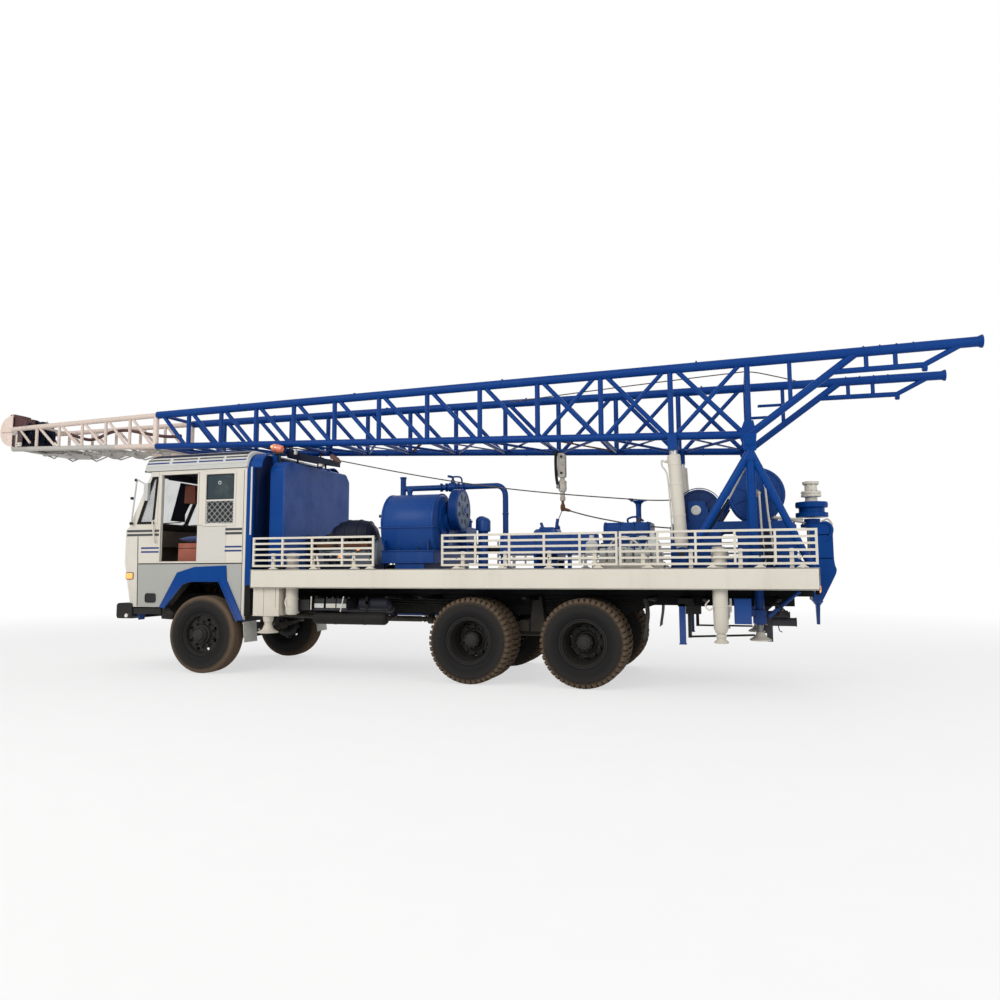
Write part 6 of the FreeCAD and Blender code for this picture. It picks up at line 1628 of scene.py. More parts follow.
def makePump():
    s = pumpShape
    blank = Blank().use(machinePaint)
    stations = [(s["front"], 0.045), (s["front"] + 0.012, 0.016), (s["front"] + 0.035, 0.0),
        (s["rear"] - 0.035, 0.0), (s["rear"] - 0.012, 0.016), (s["rear"], 0.045)]
    blank.loft([[at(x, y, z) for y, z in pumpSection(inset)] for x, inset in stations])
    rim = oblong(s["y"] - 0.412, s["seam"] - 0.008, s["y"] + 0.412, s["seam"] + 0.008)
    blank.loft([[at(x, y, z) for y, z in rim] for x in (s["front"] - 0.006, s["rear"] + 0.012)])
    for i in range(9):
        x = s["front"] + 0.06 + i * 0.082
        blank.use(darkSteel).rod(at(x, s["y"] - 0.404, s["seam"] + 0.006),
            at(x, s["y"] - 0.404, s["seam"] + 0.017), 0.0065, sides=6)
    blank.use(machinePaint)
    for x in (s["front"] + 0.02, s["rear"] - 0.04):  # stiffening hoops at both ends
        outer, inner = pumpSection(-0.006), pumpSection(0.004)
        half = len(outer) - 4
        blank.loft([[at(x + dx, y, z) for dx, (y, z) in ((0, outer[i]), (0.024, outer[i]),
            (0.024, inner[i]), (0, inner[i]))] for i in range(half)])
    blank.turned(at(2.785, s["y"] + 0.02, 2.385), upward,
        [(0, 0.034), (0.05, 0.034), (0.055, 0.042), (0.082, 0.042), (0.09, 0.03), (0.09, 0.0)], 24)
    blank.use(darkSteel).rod(at(2.535, s["y"] - 0.28, 2.1), at(2.497, s["y"] - 0.3, 2.1), 0.012,
        sides=12)
    blank.turned(at(2.5, s["y"] - 0.3, 2.1), forward, [(0, 0.022), (0.012, 0.022), (0.014, 0)], 16)
    blank.use(machinePaint)
    blank.cut([circle(0, 0, 0.27, 40)], 0.03, endwise(s["rear"] + 0.012, s["y"] + 0.05, 2.03))
    blank.bolts(at(s["rear"] + 0.026, s["y"] + 0.05, 2.03), rearward, 0.245, 14, 0.009, 0.012)
    blank.cut([circle(0, 0, 0.13, 32)], 0.05, endwise(s["rear"] + 0.03, s["y"] + 0.05, 2.03))
    blank.loft([[at(x, y - 0.5, z) for y, z in ((-0.07, 1.66), (-0.03, 1.66), (0.19, 2.31),
        (0.14, 2.33))] for x in (s["rear"] + 0.004, s["rear"] + 0.05)])
    blank.turned(at(s["rear"] + 0.005, -0.33, 2.19), rearward,
        [(0, 0.092), (0.02, 0.088), (0.045, 0.062), (0.056, 0.058)], 28)
    blank.turned(at(s["rear"] - 0.03, -0.33, 2.19), rearward,
        [(0, 0.04), (0.21, 0.04), (0.255, 0.038), (0.255, 0.0)], 24)
    blank.use(sheaveFace).turned(at(3.492, -0.33, 2.19), rearward,
        [(0, 0.058), (0.02, 0.056), (0.026, 0.0)], 28)
    blank.use(machinePaint)
    # crosshead guide and its covers, then the fluid end with valve pots
    for i, (low, high) in enumerate(((2.66, 2.9), (2.93, 3.17))):
        blank.block(at(low, -0.12, 1.66), at(high, 0.4, 2.06), 0.012)
        blank.cut([roundedBox((low + 0.03, -0.06), (high - 0.03, 0.34), 0.04)], 0.03,
            Matrix.Translation(at(0, 0, 2.068)))
        for x in (low + 0.04, high - 0.04):
            for y in (-0.05, 0.14, 0.33):
                blank.use(darkSteel).rod(at(x, y, 2.08), at(x, y, 2.094), 0.009, sides=6)
        blank.use(machinePaint)
    blank.block(at(2.64, 0.405, 1.645), at(3.275, 0.895, 2.0), 0.01)
    for place in (0.18, 0.5, 0.82):
        x = 2.62 + place * 0.66
        for y in (0.52, 0.78):
            blank.turned(at(x, y, 1.995), upward, [(0, 0.076), (0.012, 0.076), (0.014, 0.062),
                (0.09, 0.062), (0.094, 0.074), (0.118, 0.074), (0.124, 0.056), (0.15, 0.046),
                (0.155, 0.0)], 28)
            blank.bolts(at(x, y, 2.11), upward, 0.052, 6, 0.008, 0.026)
        blank.turned(at(x, 0.893, 1.8), rightward, [(0, 0.062), (0.012, 0.06), (0.014, 0.045),
            (0.04, 0.04), (0.042, 0.0)], 24)
    blank.rod(at(2.6, 0.65, 1.72), at(3.32, 0.65, 1.72), 0.05, sides=20)
    for x in (2.6, 3.32):
        blank.turned(at(x, 0.65, 1.72), rearward, [(-0.015, 0.085), (0.015, 0.085)], 24)
    for x, y, top in ((3.66, -0.06, 2.12), (3.76, -0.26, 2.09)):  # upright pots past the sheave
        blank.turned(at(x, y, deckTop), upward, [(0, 0.09), (0.014, 0.09), (0.016, 0.052),
            (top - deckTop - 0.2, 0.052), (top - deckTop - 0.19, 0.085),
            (top - deckTop - 0.05, 0.085), (top - deckTop - 0.02, 0.066), (top - deckTop, 0.03),
            (top - deckTop, 0.0)], 32)
    blank.use(machinePaint)  # base frame, feet and gussets
    blank.block(at(2.552, -0.9, 1.478), at(3.278, 0.868, 1.642))
    blank.block(at(2.54, -0.915, 1.63), at(3.29, 0.88, 1.646))
    blank.block(at(2.54, -0.915, 1.476), at(3.29, 0.88, 1.49))
    blank.block(at(2.732, -0.89, deckTop), at(3.15, 0.866, 1.478))
    for x in (2.6, 3.22):
        blank.loft([[at(x + dx, s["y"] - 0.4, 1.646), at(x + dx, s["y"] - 0.26, 1.646),
            at(x + dx, s["y"] - 0.3, 1.8), at(x + dx, s["y"] - 0.4, 1.76)]
            for dx in (-0.008, 0.008)])
    for x in (2.6, 2.78, 3.05, 3.23):
        blank.use(darkSteel).rod(at(x, -0.885, 1.646), at(x, -0.885, 1.672), 0.013, sides=6)
    blank.made("mud_pump_body", "truck", bevel=0.005, stands=("mud_pump",))


pipeShape = {"y": 0.15, "front": 2.385, "rear": 3.94, "top": 2.56, "cap": 2.735, "radius": 0.038}


def makePumpPipes():
    s = pipeShape
    blank = Blank().use(machinePaint)
    y, r = s["y"], s["radius"]
    blank.turned(at(s["front"], y, deckTop), upward,
        [(0, 0.075), (0.014, 0.075), (0.016, 0.041), (s["cap"] - deckTop - 0.03, 0.041)], 24)
    blank.turned(at(s["front"], y, s["cap"] - 0.03), upward,
        [(0, 0.041), (0.004, 0.052), (0.026, 0.052), (0.032, 0.0)], 8)
    bend = [at(s["rear"] - 0.16, y, s["top"]), at(s["rear"] - 0.1, y, s["top"] - 0.004),
        at(s["rear"] - 0.045, y, s["top"] - 0.035), at(s["rear"] - 0.01, y, s["top"] - 0.09),
        at(s["rear"], y, s["top"] - 0.16)]
    blank.tube([at(s["front"] + 0.03, y, s["top"]), at(s["rear"] - 0.22, y, s["top"])]
        + smoothLine(bend, 5) + [at(s["rear"], y, s["top"] - 0.22), at(s["rear"], y, 1.4)],
        r + 0.002, 20)
    for x in (2.97, 3.05, 3.23, 3.31):
        blank.turned(at(x, y, s["top"]), rearward, [(0, 0.045), (0.002, 0.062), (0.022, 0.062),
            (0.024, 0.045)], 24)
        blank.bolts(at(x + 0.022, y, s["top"]), rearward, 0.052, 6, 0.006, 0.01)
    blank.turned(at(3.075, y, s["top"]), rearward, [(0, 0.04), (0.03, 0.066), (0.125, 0.066),
        (0.155, 0.04)], 24)
    blank.turned(at(3.155, y, s["top"] + 0.05), upward,
        [(0, 0.034), (0.05, 0.03), (0.055, 0.018), (0.1, 0.016)], 20)
    blank.curve([at(3.155, y, s["top"] + 0.14), at(3.18, y, s["top"] + 0.15),
        at(3.25, y, s["top"] + 0.145), at(3.285, y, s["top"] + 0.12),
        at(3.295, y, s["top"] + 0.045)], 0.013, 10)
    blank.turned(at(3.115, y, s["top"] + 0.158), (0.2, 0, 1),
        [(-0.022, 0.01), (-0.02, 0.038), (0.006, 0.042), (0.012, 0.038), (0.014, 0.0)], 24)
    blank.turned(at(s["rear"], y, 1.39), upward, [(0, 0.08), (0.016, 0.08), (0.018, 0.045)], 24)
    blank.bolts(at(s["rear"], y, 1.406), upward, 0.062, 6, 0.008, 0.012)
    for z in (1.75, 2.15):
        blank.turned(at(s["rear"], y, z), upward, [(0, 0.041), (0.002, 0.046), (0.02, 0.046),
            (0.022, 0.041)], 24)
    return blank.made("pump_pipework", "truck", bevel=0.002)


sheaveShape = {"x": 3.36, "y": -0.33, "z": 2.19, "radius": 0.289, "holes": 8}


def makeSheave():
    s = sheaveShape
    rim = Blank().use(machinePaint)
    grooves = [(0.0, 0.27), (0.004, s["radius"] - 0.002), (0.01, s["radius"])]
    for i in range(5):  # one shallow valley for each belt
        x = 0.014 + i * 0.021
        grooves += [(x, s["radius"]), (x + 0.004, s["radius"] - 0.01),
            (x + 0.012, s["radius"] - 0.01), (x + 0.016, s["radius"])]
    grooves += [(0.122, s["radius"]), (0.128, s["radius"] - 0.002), (0.13, 0.27), (0.13, 0.245),
        (0.0, 0.245)]
    rim.turned(at(s["x"], s["y"], s["z"]), rearward, grooves, 72, closed=True)
    rim.use(sheaveFace)
    holes = []
    for i in range(s["holes"]):
        turn = 2 * math.pi * (i + 0.5) / s["holes"]
        centre = Vector((math.cos(turn), math.sin(turn))) * 0.175
        out, side = centre.normalized(), Vector((-math.sin(turn), math.cos(turn)))
        holes.append([tuple(centre + out * 0.046 * math.cos(a) + side * 0.032 * math.sin(a))
            for a in (2 * math.pi * k / 20 for k in range(20))])
    for x in (0.016, 0.118):
        rim.cut([circle(0, 0, 0.25, 64), circle(0, 0, 0.047, 28)] + holes, 0.02,
            endwise(s["x"] + x, s["y"], s["z"]))
    rim.turned(at(s["x"], s["y"], s["z"]), rearward,
        [(0.004, 0.082), (0.126, 0.082), (0.128, 0.078), (0.129, 0.045), (0.003, 0.045)], 36,
        closed=True)
    rim.bolts(at(s["x"] + 0.127, s["y"], s["z"]), rearward, 0.066, 6, 0.008, 0.008)
    return rim.made("pump_sheave_wheel", "pump_sheave_body", bevel=0.002, stands=("pump_sheave",))


# middle of the deck
middleShape = {"unitFront": 4.452, "unitRear": 4.768, "unitHalf": 0.258, "unitTop": 1.944,
    "gearFront": 5.382, "gearRear": 5.978, "gearHalf": 0.298, "gearTop": 1.984}


def makeMiddle():
    s = middleShape
    blank = Blank().use(machinePaint)
    x0, x1, half, top = s["unitFront"], s["unitRear"], s["unitHalf"], s["unitTop"]
    blank.block(at(x0, -half, 1.5), at(x1, half, top - 0.09), 0.006)
    blank.block(at(x0, -half - 0.012, 1.6), at(x1, half + 0.012, 1.62))
    blank.loft([[at(x0 + 0.03, y, z), at(x1 - 0.03, y, z), at(x1 - 0.07, y, top),
        at(x0 + 0.07, y, top)] for y, z in ((-half + 0.03, top - 0.09),
        (half - 0.03, top - 0.09))])
    for x in (x0 + 0.05, x1 - 0.05):
        blank.turned(at(x, -half + 0.05, 1.86), leftward,
            [(-0.02, 0.06), (0.045, 0.06), (0.05, 0.045), (0.06, 0.0)], 24)
        blank.turned(at(x, 0, top - 0.02), upward, [(0, 0.032), (0.035, 0.032), (0.04, 0.022),
            (0.055, 0.02), (0.06, 0.0)], 20)
    blank.rod(at(4.72, -0.1, 1.93), at(4.74, -0.1, 2.06), 0.022, sides=14)
    blank.rod(at(4.5, 0.06, 1.93), at(4.47, 0.06, 2.02), 0.02, sides=14)
    for i in range(5):
        blank.curve([at(4.48 + i * 0.055, -half - 0.005, 1.8),
            at(4.48 + i * 0.055, -half - 0.05, 1.77), at(4.49 + i * 0.055, -half - 0.055, 1.66),
            at(4.5 + i * 0.056, -half - 0.01, 1.56)], 0.011, 8, 5)
    for y in (-0.2, 0.2):
        blank.block(at(x0 + 0.01, y - 0.03, deckTop), at(x1 - 0.01, y + 0.03, 1.51))
    # long casing and drive shaft between the pump and the gearbox
    blank.use(machinePaint).block(at(4.02, -0.42, 1.58), at(5.33, -0.285, 1.835), 0.008)
    for x in (4.05, 4.5, 4.95, 5.28):
        blank.block(at(x, -0.428, 1.57), at(x + 0.02, -0.277, 1.845))
        blank.block(at(x - 0.02, -0.4, deckTop), at(x + 0.02, -0.31, 1.63))
    blank.use(darkSteel).rod(at(3.55, 0.1, 1.66), at(4.46, 0.0, 1.66), 0.038, sides=18)
    blank.rod(at(4.76, 0.0, 1.66), at(5.39, 0.0, 1.66), 0.038, sides=18)
    for x in (3.6, 4.4, 4.82, 5.33):
        blank.turned(at(x, 0, 1.66), rearward, [(-0.03, 0.055), (-0.028, 0.075), (-0.008, 0.075),
            (0.0, 0.05), (0.008, 0.075), (0.028, 0.075), (0.03, 0.055)], 20)
    blank.use(machinePaint)  # drive gearbox with its ribbed casing and flared post
    x0, x1, half, top = s["gearFront"], s["gearRear"], s["gearHalf"], s["gearTop"]
    blank.loft([[at(x, y, z) for y, z in ((-half, 1.44), (half, 1.44), (half, top - 0.05),
        (half - 0.05, top), (-half + 0.05, top), (-half, top - 0.05))] for x in (x0, x1)])
    for x in (x0 + 0.02, x0 + 0.2, x0 + 0.38, x1 - 0.04):
        blank.block(at(x, -half - 0.012, 1.46), at(x + 0.018, half + 0.012, top + 0.004))
    blank.block(at(x0, -half - 0.02, 1.74), at(x1, half + 0.02, 1.765))
    for i in range(8):
        x = x0 + 0.04 + i * 0.074
        blank.use(darkSteel).rod(at(x, -half - 0.01, 1.765), at(x, -half - 0.01, 1.782), 0.009,
            sides=6)
    blank.use(machinePaint).turned(at(x0 + 0.18, -half, 1.62), leftward,
        [(0, 0.1), (0.02, 0.1), (0.024, 0.075), (0.04, 0.07), (0.042, 0.0)], 32)
    blank.turned(at(x0 + 0.42, 0, top - 0.004), upward,
        [(0, 0.075), (0.015, 0.07), (0.03, 0.036), (0.2, 0.034), (0.255, 0.04), (0.285, 0.075),
        (0.298, 0.082), (0.302, 0.0)], 28)
    blank.block(at(x0 + 0.32, -0.05, top + 0.285), at(x0 + 0.52, 0.05, top + 0.298))
    blank.curve([at(x0 + 0.3, -0.15, top), at(x0 + 0.3, -0.15, top + 0.05),
        at(x0 + 0.4, -0.14, top + 0.075), at(x0 + 0.5, -0.14, top + 0.02)], 0.014, 10)
    blank.use(rustyPaint).rod(at(x0 + 0.44, -0.16, top), at(x0 + 0.46, -0.17, top + 0.06), 0.014,
        sides=12)
    return blank.made("middle_machinery", "truck", bevel=0.004)


valveGrey = vehiclePaint("valve_bank_white", shade(206, 208, 206), shade(150, 148, 140), gloss=0.5,
    dirt=0.9, chips=0.5)


def makeValveBank():  # the operator's levers and hydraulic valves behind the last guard
    blank = Blank()
    for i in range(7):
        x = 5.44 + i * 0.105
        blank.use(valveGrey).block(at(x, -1.02, 1.47), at(x + 0.085, -0.8, 1.64), 0.012)
        blank.turned(at(x + 0.042, -1.02, 1.545), leftward,
            [(0, 0.03), (0.03, 0.03), (0.034, 0.02), (0.05, 0.018), (0.052, 0.0)], 16)
        blank.use(dullSteel).rod(at(x + 0.042, -0.9, 1.64), at(x + 0.04, -0.93, 1.8), 0.0065,
            sides=8)
        blank.use(blackTrim).turned(at(x + 0.04, -0.93, 1.795), (0, -0.16, 1),
            [(0, 0.008), (0.006, 0.016), (0.022, 0.018), (0.034, 0.012), (0.037, 0)], 14)
        blank.use(hoseRubber).curve([at(x + 0.03, -0.8, 1.52), at(x + 0.03, -0.72, 1.5),
            at(x + 0.06, -0.66, 1.44), at(x + 0.1, -0.6, 1.4)], 0.012, 8, 4)
    blank.use(valveGrey).turned(at(5.34, -0.92, 1.6), upward,
        [(-0.05, 0.075), (0.1, 0.075), (0.13, 0.05), (0.14, 0.03), (0.2, 0.028)], 28)
    blank.turned(at(6.04, -0.62, 1.47), upward, [(0, 0.1), (0.22, 0.1), (0.26, 0.07), (0.3, 0.04),
        (0.36, 0.036), (0.37, 0)], 28)
    blank.turned(at(5.62, -0.6, 1.56), rearward, [(-0.14, 0.085), (-0.13, 0.1), (0.1, 0.1),
        (0.13, 0.06), (0.22, 0.04)], 28)
    blank.use(creamPaint).block(at(5.36, -1.05, deckTop), at(6.2, -0.78, 1.475))
    blank.use(navyPaint).block(at(5.5, -0.72, deckTop), at(5.8, -0.48, 1.48))
    blank.use(whiteHose)
    for x, y in ((5.52, -0.74), (5.75, -0.7)):
        blank.curve([at(x, y, 1.62), at(x + 0.06, y, 1.74), at(x + 0.2, y + 0.02, 1.78),
            at(x + 0.34, y + 0.04, 1.7), at(x + 0.42, y + 0.06, 1.55)], 0.013, 10)
    return blank.made("control_valves", "truck", bevel=0.003)


def makeGuardPads():
    blank = Blank().use(creamPaint)
    posts = [1.1, 1.71, 2.3, 2.52, 3.7, 4.28, 4.87, 5.46, 6.04, 6.75, 7.26, 7.7]
    for side in (-1, 1):
        y = side * 1.172
        for x in posts:
            blank.loft([[at(x - r, y - d, z), at(x + r, y - d, z), at(x + r, y + d, z),
                at(x - r, y + d, z)] for r, d, z in ((0.062, 0.026, 1.403), (0.06, 0.026, 1.41),
                (0.026, 0.024, 1.43), (0.023, 0.022, 1.44))])
            blank.use(darkSteel).rod(at(x, y + side * 0.02, 1.53), at(x, y + side * 0.031, 1.53),
                0.009, sides=8)
            blank.use(creamPaint)
        blank.square(at(1.78, side * 1.16, 1.404), at(1.74, side * 1.165, 1.6), 0.016, 0.03)
    return blank.made("guard_pads", "truck", bevel=0.003)


def makeBoardDetail():
    blank = Blank().use(boardPaint)
    for side in (-1, 1):
        y = side * 1.2285
        for low in (1.163, 1.392):
            blank.block(at(0.787, y - side * 0.02, low), at(7.863, y + side * 0.0015, low + 0.006))
        for x in (0.787, 7.855):
            blank.block(at(x, y - side * 0.02, 1.163), at(x + 0.008, y + side * 0.0015, 1.398))
        for x in (2.55, 4.33, 6.1):  # butt joints between the board's lengths
            blank.block(at(x, y - side * 0.01, 1.165), at(x + 0.004, y + side * 0.0012, 1.396))
    return blank.made("board_edges", "truck", bevel=0.0)


def deckPlates():
    blank = Blank().use(deckPaint)
    for i in range(8):
        for side in (-1, 1):
            x0 = 0.8 + i * 0.88
            low, high = sorted((side * 0.012, side * 1.195))
            blank.block(at(x0, low, 1.384), at(x0 + 0.87, high, 1.3885))
    return blank.made("deck_floor_plates", "truck", bevel=0.0012)


makeTank()
makeDeckEngine()
makePump()
makePumpPipes()
makeSheave()
makeMiddle()
makeValveBank()
makeGuardPads()
makeBoardDetail()
deckPlates()
print("deck machinery ready")


# mast details
mastShape = {"hinge": 7.2, "hingeZ": 2.84, "topRise": 1.012, "topSlope": 0.0077, "lowRise": 0.124,
    "lowSlope": 0.0383, "half": 0.716, "taper": 0.0347, "joint": -1.5, "crown": -4.47, "bays": 12,
    "firstBay": 0.901, "ratio": 0.9591, "crownDrop": 0.035, "topTube": 0.057, "lowTube": 0.048}


def mastHalf(x):
    return mastShape["half"] + mastShape["taper"] * (x - mastShape["hinge"])


def mastLow(x):
    return mastShape["hingeZ"] + mastShape["lowRise"] - mastShape["lowSlope"] * (x
        - mastShape["hinge"])


def mastTop(x):
    s = mastShape
    if x >= s["joint"]:
        return s["hingeZ"] + s["topRise"] + s["topSlope"] * (min(x, s["hinge"]) - s["hinge"])
    end = s["hingeZ"] + s["topRise"] + s["topSlope"] * (s["joint"] - s["hinge"])
    return end - s["crownDrop"] * (s["joint"] - x) / (s["joint"] - s["crown"])


def mastBays():
    ends = [mastShape["hinge"]]
    for bay in range(mastShape["bays"]):
        ends.append(ends[-1] - mastShape["firstBay"] * mastShape["ratio"] ** bay)
    ends[-1] = mastShape["joint"] + 0.04
    return ends


def crownBays():
    step = (mastShape["joint"] - 0.06 - mastShape["crown"] - 0.488) / 5
    return [mastShape["joint"] - 0.06 - step * i for i in range(6)]


def mastCollars():
    blank = Blank().use(mastPaint)
    for side in (-1, 1):
        for x in mastBays()[1:-1:3]:  # sleeved splices of the chords
            for height, tube in ((mastLow, mastShape["lowTube"]), (mastTop, mastShape["topTube"])):
                spot = x + 0.31
                way = Vector((1, 0, height(spot + 0.5) - height(spot - 0.5)))
                blank.turned(at(spot, side * mastHalf(spot), height(spot)), way,
                    [(0, tube), (0.003, tube + 0.004), (0.01, tube + 0.005), (0.017, tube + 0.004),
                    (0.02, tube)], 28)
        x = mastShape["hinge"]  # thick cheek plates round the hinge
        y = side * mastHalf(x)
        for out in (-0.0365, 0.0365):
            blank.cut([circle(x, 2.84, 0.072, 32), circle(x, 2.84, 0.0335, 24)], 0.012,
                sideFlat(y + out))
            blank.prism([at(x - 0.072, y + out - 0.005, 2.84),
                at(x + 0.072, y + out - 0.005, 2.84), at(x + 0.085, y + out - 0.005, 2.97),
                at(x + 0.052, y + out - 0.005, 3.13), at(x - 0.052, y + out - 0.005, 3.13),
                at(x - 0.105, y + out - 0.005, 2.99), at(x - 0.105, y + out - 0.005, 2.93)],
                (0, 0.01, 0))
    return blank.made("mast_collars", "mast", bevel=0.0015)


def makeBracing():  # struts across the mast, flat slanted bars below, nothing slanted on top
    blank = Blank()
    ends = mastBays()
    for x in ends:
        half = mastHalf(x)
        blank.use(mastPaint)
        blank.rod(at(x, -half + 0.04, mastLow(x)), at(x, half - 0.04, mastLow(x)), 0.027, sides=20)
        if x in (ends[0], ends[-1]):  # the face above stays open for the hoisting gear
            blank.rod(at(x, -half + 0.049, mastTop(x)), at(x, half - 0.049, mastTop(x)), 0.027,
                sides=20)
    for bay, (rear, front) in enumerate(zip(ends[:-1], ends[1:])):
        side = -1 if bay % 2 else 1
        near, far = front + 0.06, rear - 0.06
        blank.use(rustyPaint if bay in (2, 5, 8) else mastPaint)
        blank.square(at(near, -side * (mastHalf(near) - 0.045), mastLow(near) + 0.012),
            at(far, side * (mastHalf(far) - 0.045), mastLow(far) + 0.012), 0.045, 0.012)
        blank.use(mastPaint).rod(at(near, side * (mastHalf(near) - 0.045), mastLow(near) - 0.008),
            at(far, -side * (mastHalf(far) - 0.045), mastLow(far) - 0.008), 0.018, sides=14)
    ends = crownBays()
    for x in ends:
        half = mastHalf(x)
        grey = x < -2.3
        blank.use(crownGrey if grey else cheekPaint).rod(at(x, -half + 0.034, mastLow(x)),
            at(x, half - 0.034, mastLow(x)), 0.02, sides=18)
        if x == ends[-1]:
            blank.use(crownPaint).rod(at(x, -half + 0.034, mastTop(x)),
                at(x, half - 0.034, mastTop(x)), 0.02, sides=18)
    for bay, (rear, front) in enumerate(zip(ends[:-1], ends[1:])):
        side = -1 if bay % 2 else 1
        near, far = front + 0.06, rear - 0.06
        blank.use(crownGrey).rod(at(near, -side * (mastHalf(near) - 0.036), mastLow(near)),
            at(far, side * (mastHalf(far) - 0.036), mastLow(far)), 0.017, sides=14)
    return blank.made("mast_cross_members", "mast", bevel=0.0012, stands=("mast_bracing",))


def legDetail():
    blank = Blank().use(mastPaint)
    for side in (-1, 1):
        toe = 7.2 + 1.874
        blank.turned(at(toe - 0.02, side * mastHalf(toe), 3.605), rearward,
            [(0.0, 0.033), (0.012, 0.04), (0.05, 0.04), (0.052, 0.033)], 24)
        for k in range(4):
            x = 8.46 + k * 0.17
            blank.turned(at(x, side * mastHalf(x), mastTop(x)), rearward,
                [(0, 0.0565), (0.004, 0.061), (0.014, 0.061), (0.018, 0.0565)], 28)
        foot = 9.655
        blank.turned(at(foot - 0.018, side * mastHalf(foot - 0.014), mastTop(foot)), rearward,
            [(-0.03, 0.058), (-0.002, 0.068), (0.0, 0.0722), (0.004, 0.0725), (0.012, 0.0725),
            (0.0178, 0.069)], 32)
        blank.bolts(at(foot - 0.007, side * mastHalf(foot), mastTop(foot)), rearward, 0.06, 8,
            0.007, 0.0068)
    return blank.made("mast_leg_collars", "mast", bevel=0.0012)


def mastLines():  # a thin line below the top chords, and the old dark pipe at the joint
    blank = Blank().use(wireRope)
    blank.tube(smoothLine([at(4.057, 0, 3.71), at(5.5, 0, 3.805), at(6.945, 0, 3.885),
        at(7.252, 0, 3.888), at(7.55, 0, 3.81), at(7.797, 0, 3.73)], 8), 0.0075, 8)
    blank.use(maroonPaint)
    blank.tube(smoothLine([at(-3.82, 0.2, 3.704), at(-3.38, 0.2, 3.593), at(-2.961, 0.2, 3.7),
        at(-2.648, 0.2, 3.712), at(-2.376, 0.2, 3.661), at(-1.926, 0.2, 3.577),
        at(-1.605, 0.2, 3.552)], 8), 0.026, 14)
    blank.turned(at(-1.64, 0.2, 3.556), (1, 0, -0.07),
        [(0, 0.026), (0.01, 0.042), (0.06, 0.042), (0.07, 0.02)], 18)
    blank.use(mastPaint)
    for x in (7.36, 7.52):  # short rungs at the far side behind the hinge
        half = mastHalf(x)
        blank.rod(at(x - 0.17, half, 3.42 + (x - 7.36)), at(x + 0.14, half, 3.42 + (x - 7.36)),
            0.02, sides=16)
    blank.use(rustyPaint)
    for x in (0.85, -0.62):  # hanging stubs below the low chords
        half = mastHalf(x)
        blank.rod(at(x, half - 0.05, mastLow(x) - 0.02), at(x, half - 0.05, mastLow(x) - 0.1),
            0.012, sides=10)
    return blank.made("mast_lines_and_pipe", "mast")


# crown section
cheekPaint = vehiclePaint("cheek_paint", shade(230, 211, 200), shade(206, 190, 180), streaks=0.3)


def crownLow(spots):  # the low chord and all below it turn grey towards the crown
    height = spots["Z"] + spots["X"] * 0.0383
    return (height < 3.3424 + 0.0383 * (axleX - 1.5)) * (spots["X"] < axleX - 2.3)


platePaint = vehiclePaint("crown_plate_brown", shade(84, 70, 72), shade(60, 52, 56), gloss=0.5,
    fade=0.5)
crownSection = zonePaint("crown_section_paint", [(crownLow, shade(186, 183, 177), 0.45)],
    shade(216, 199, 188), 0.4)
finishNode("crown_section", crownSection)
crownShape = {"wheel": -4.46, "z": 3.7005, "half": 0.344, "back": -4.14, "rim": 0.262,
    "cut": -4.512, "middle": (-4.495, 3.717)}


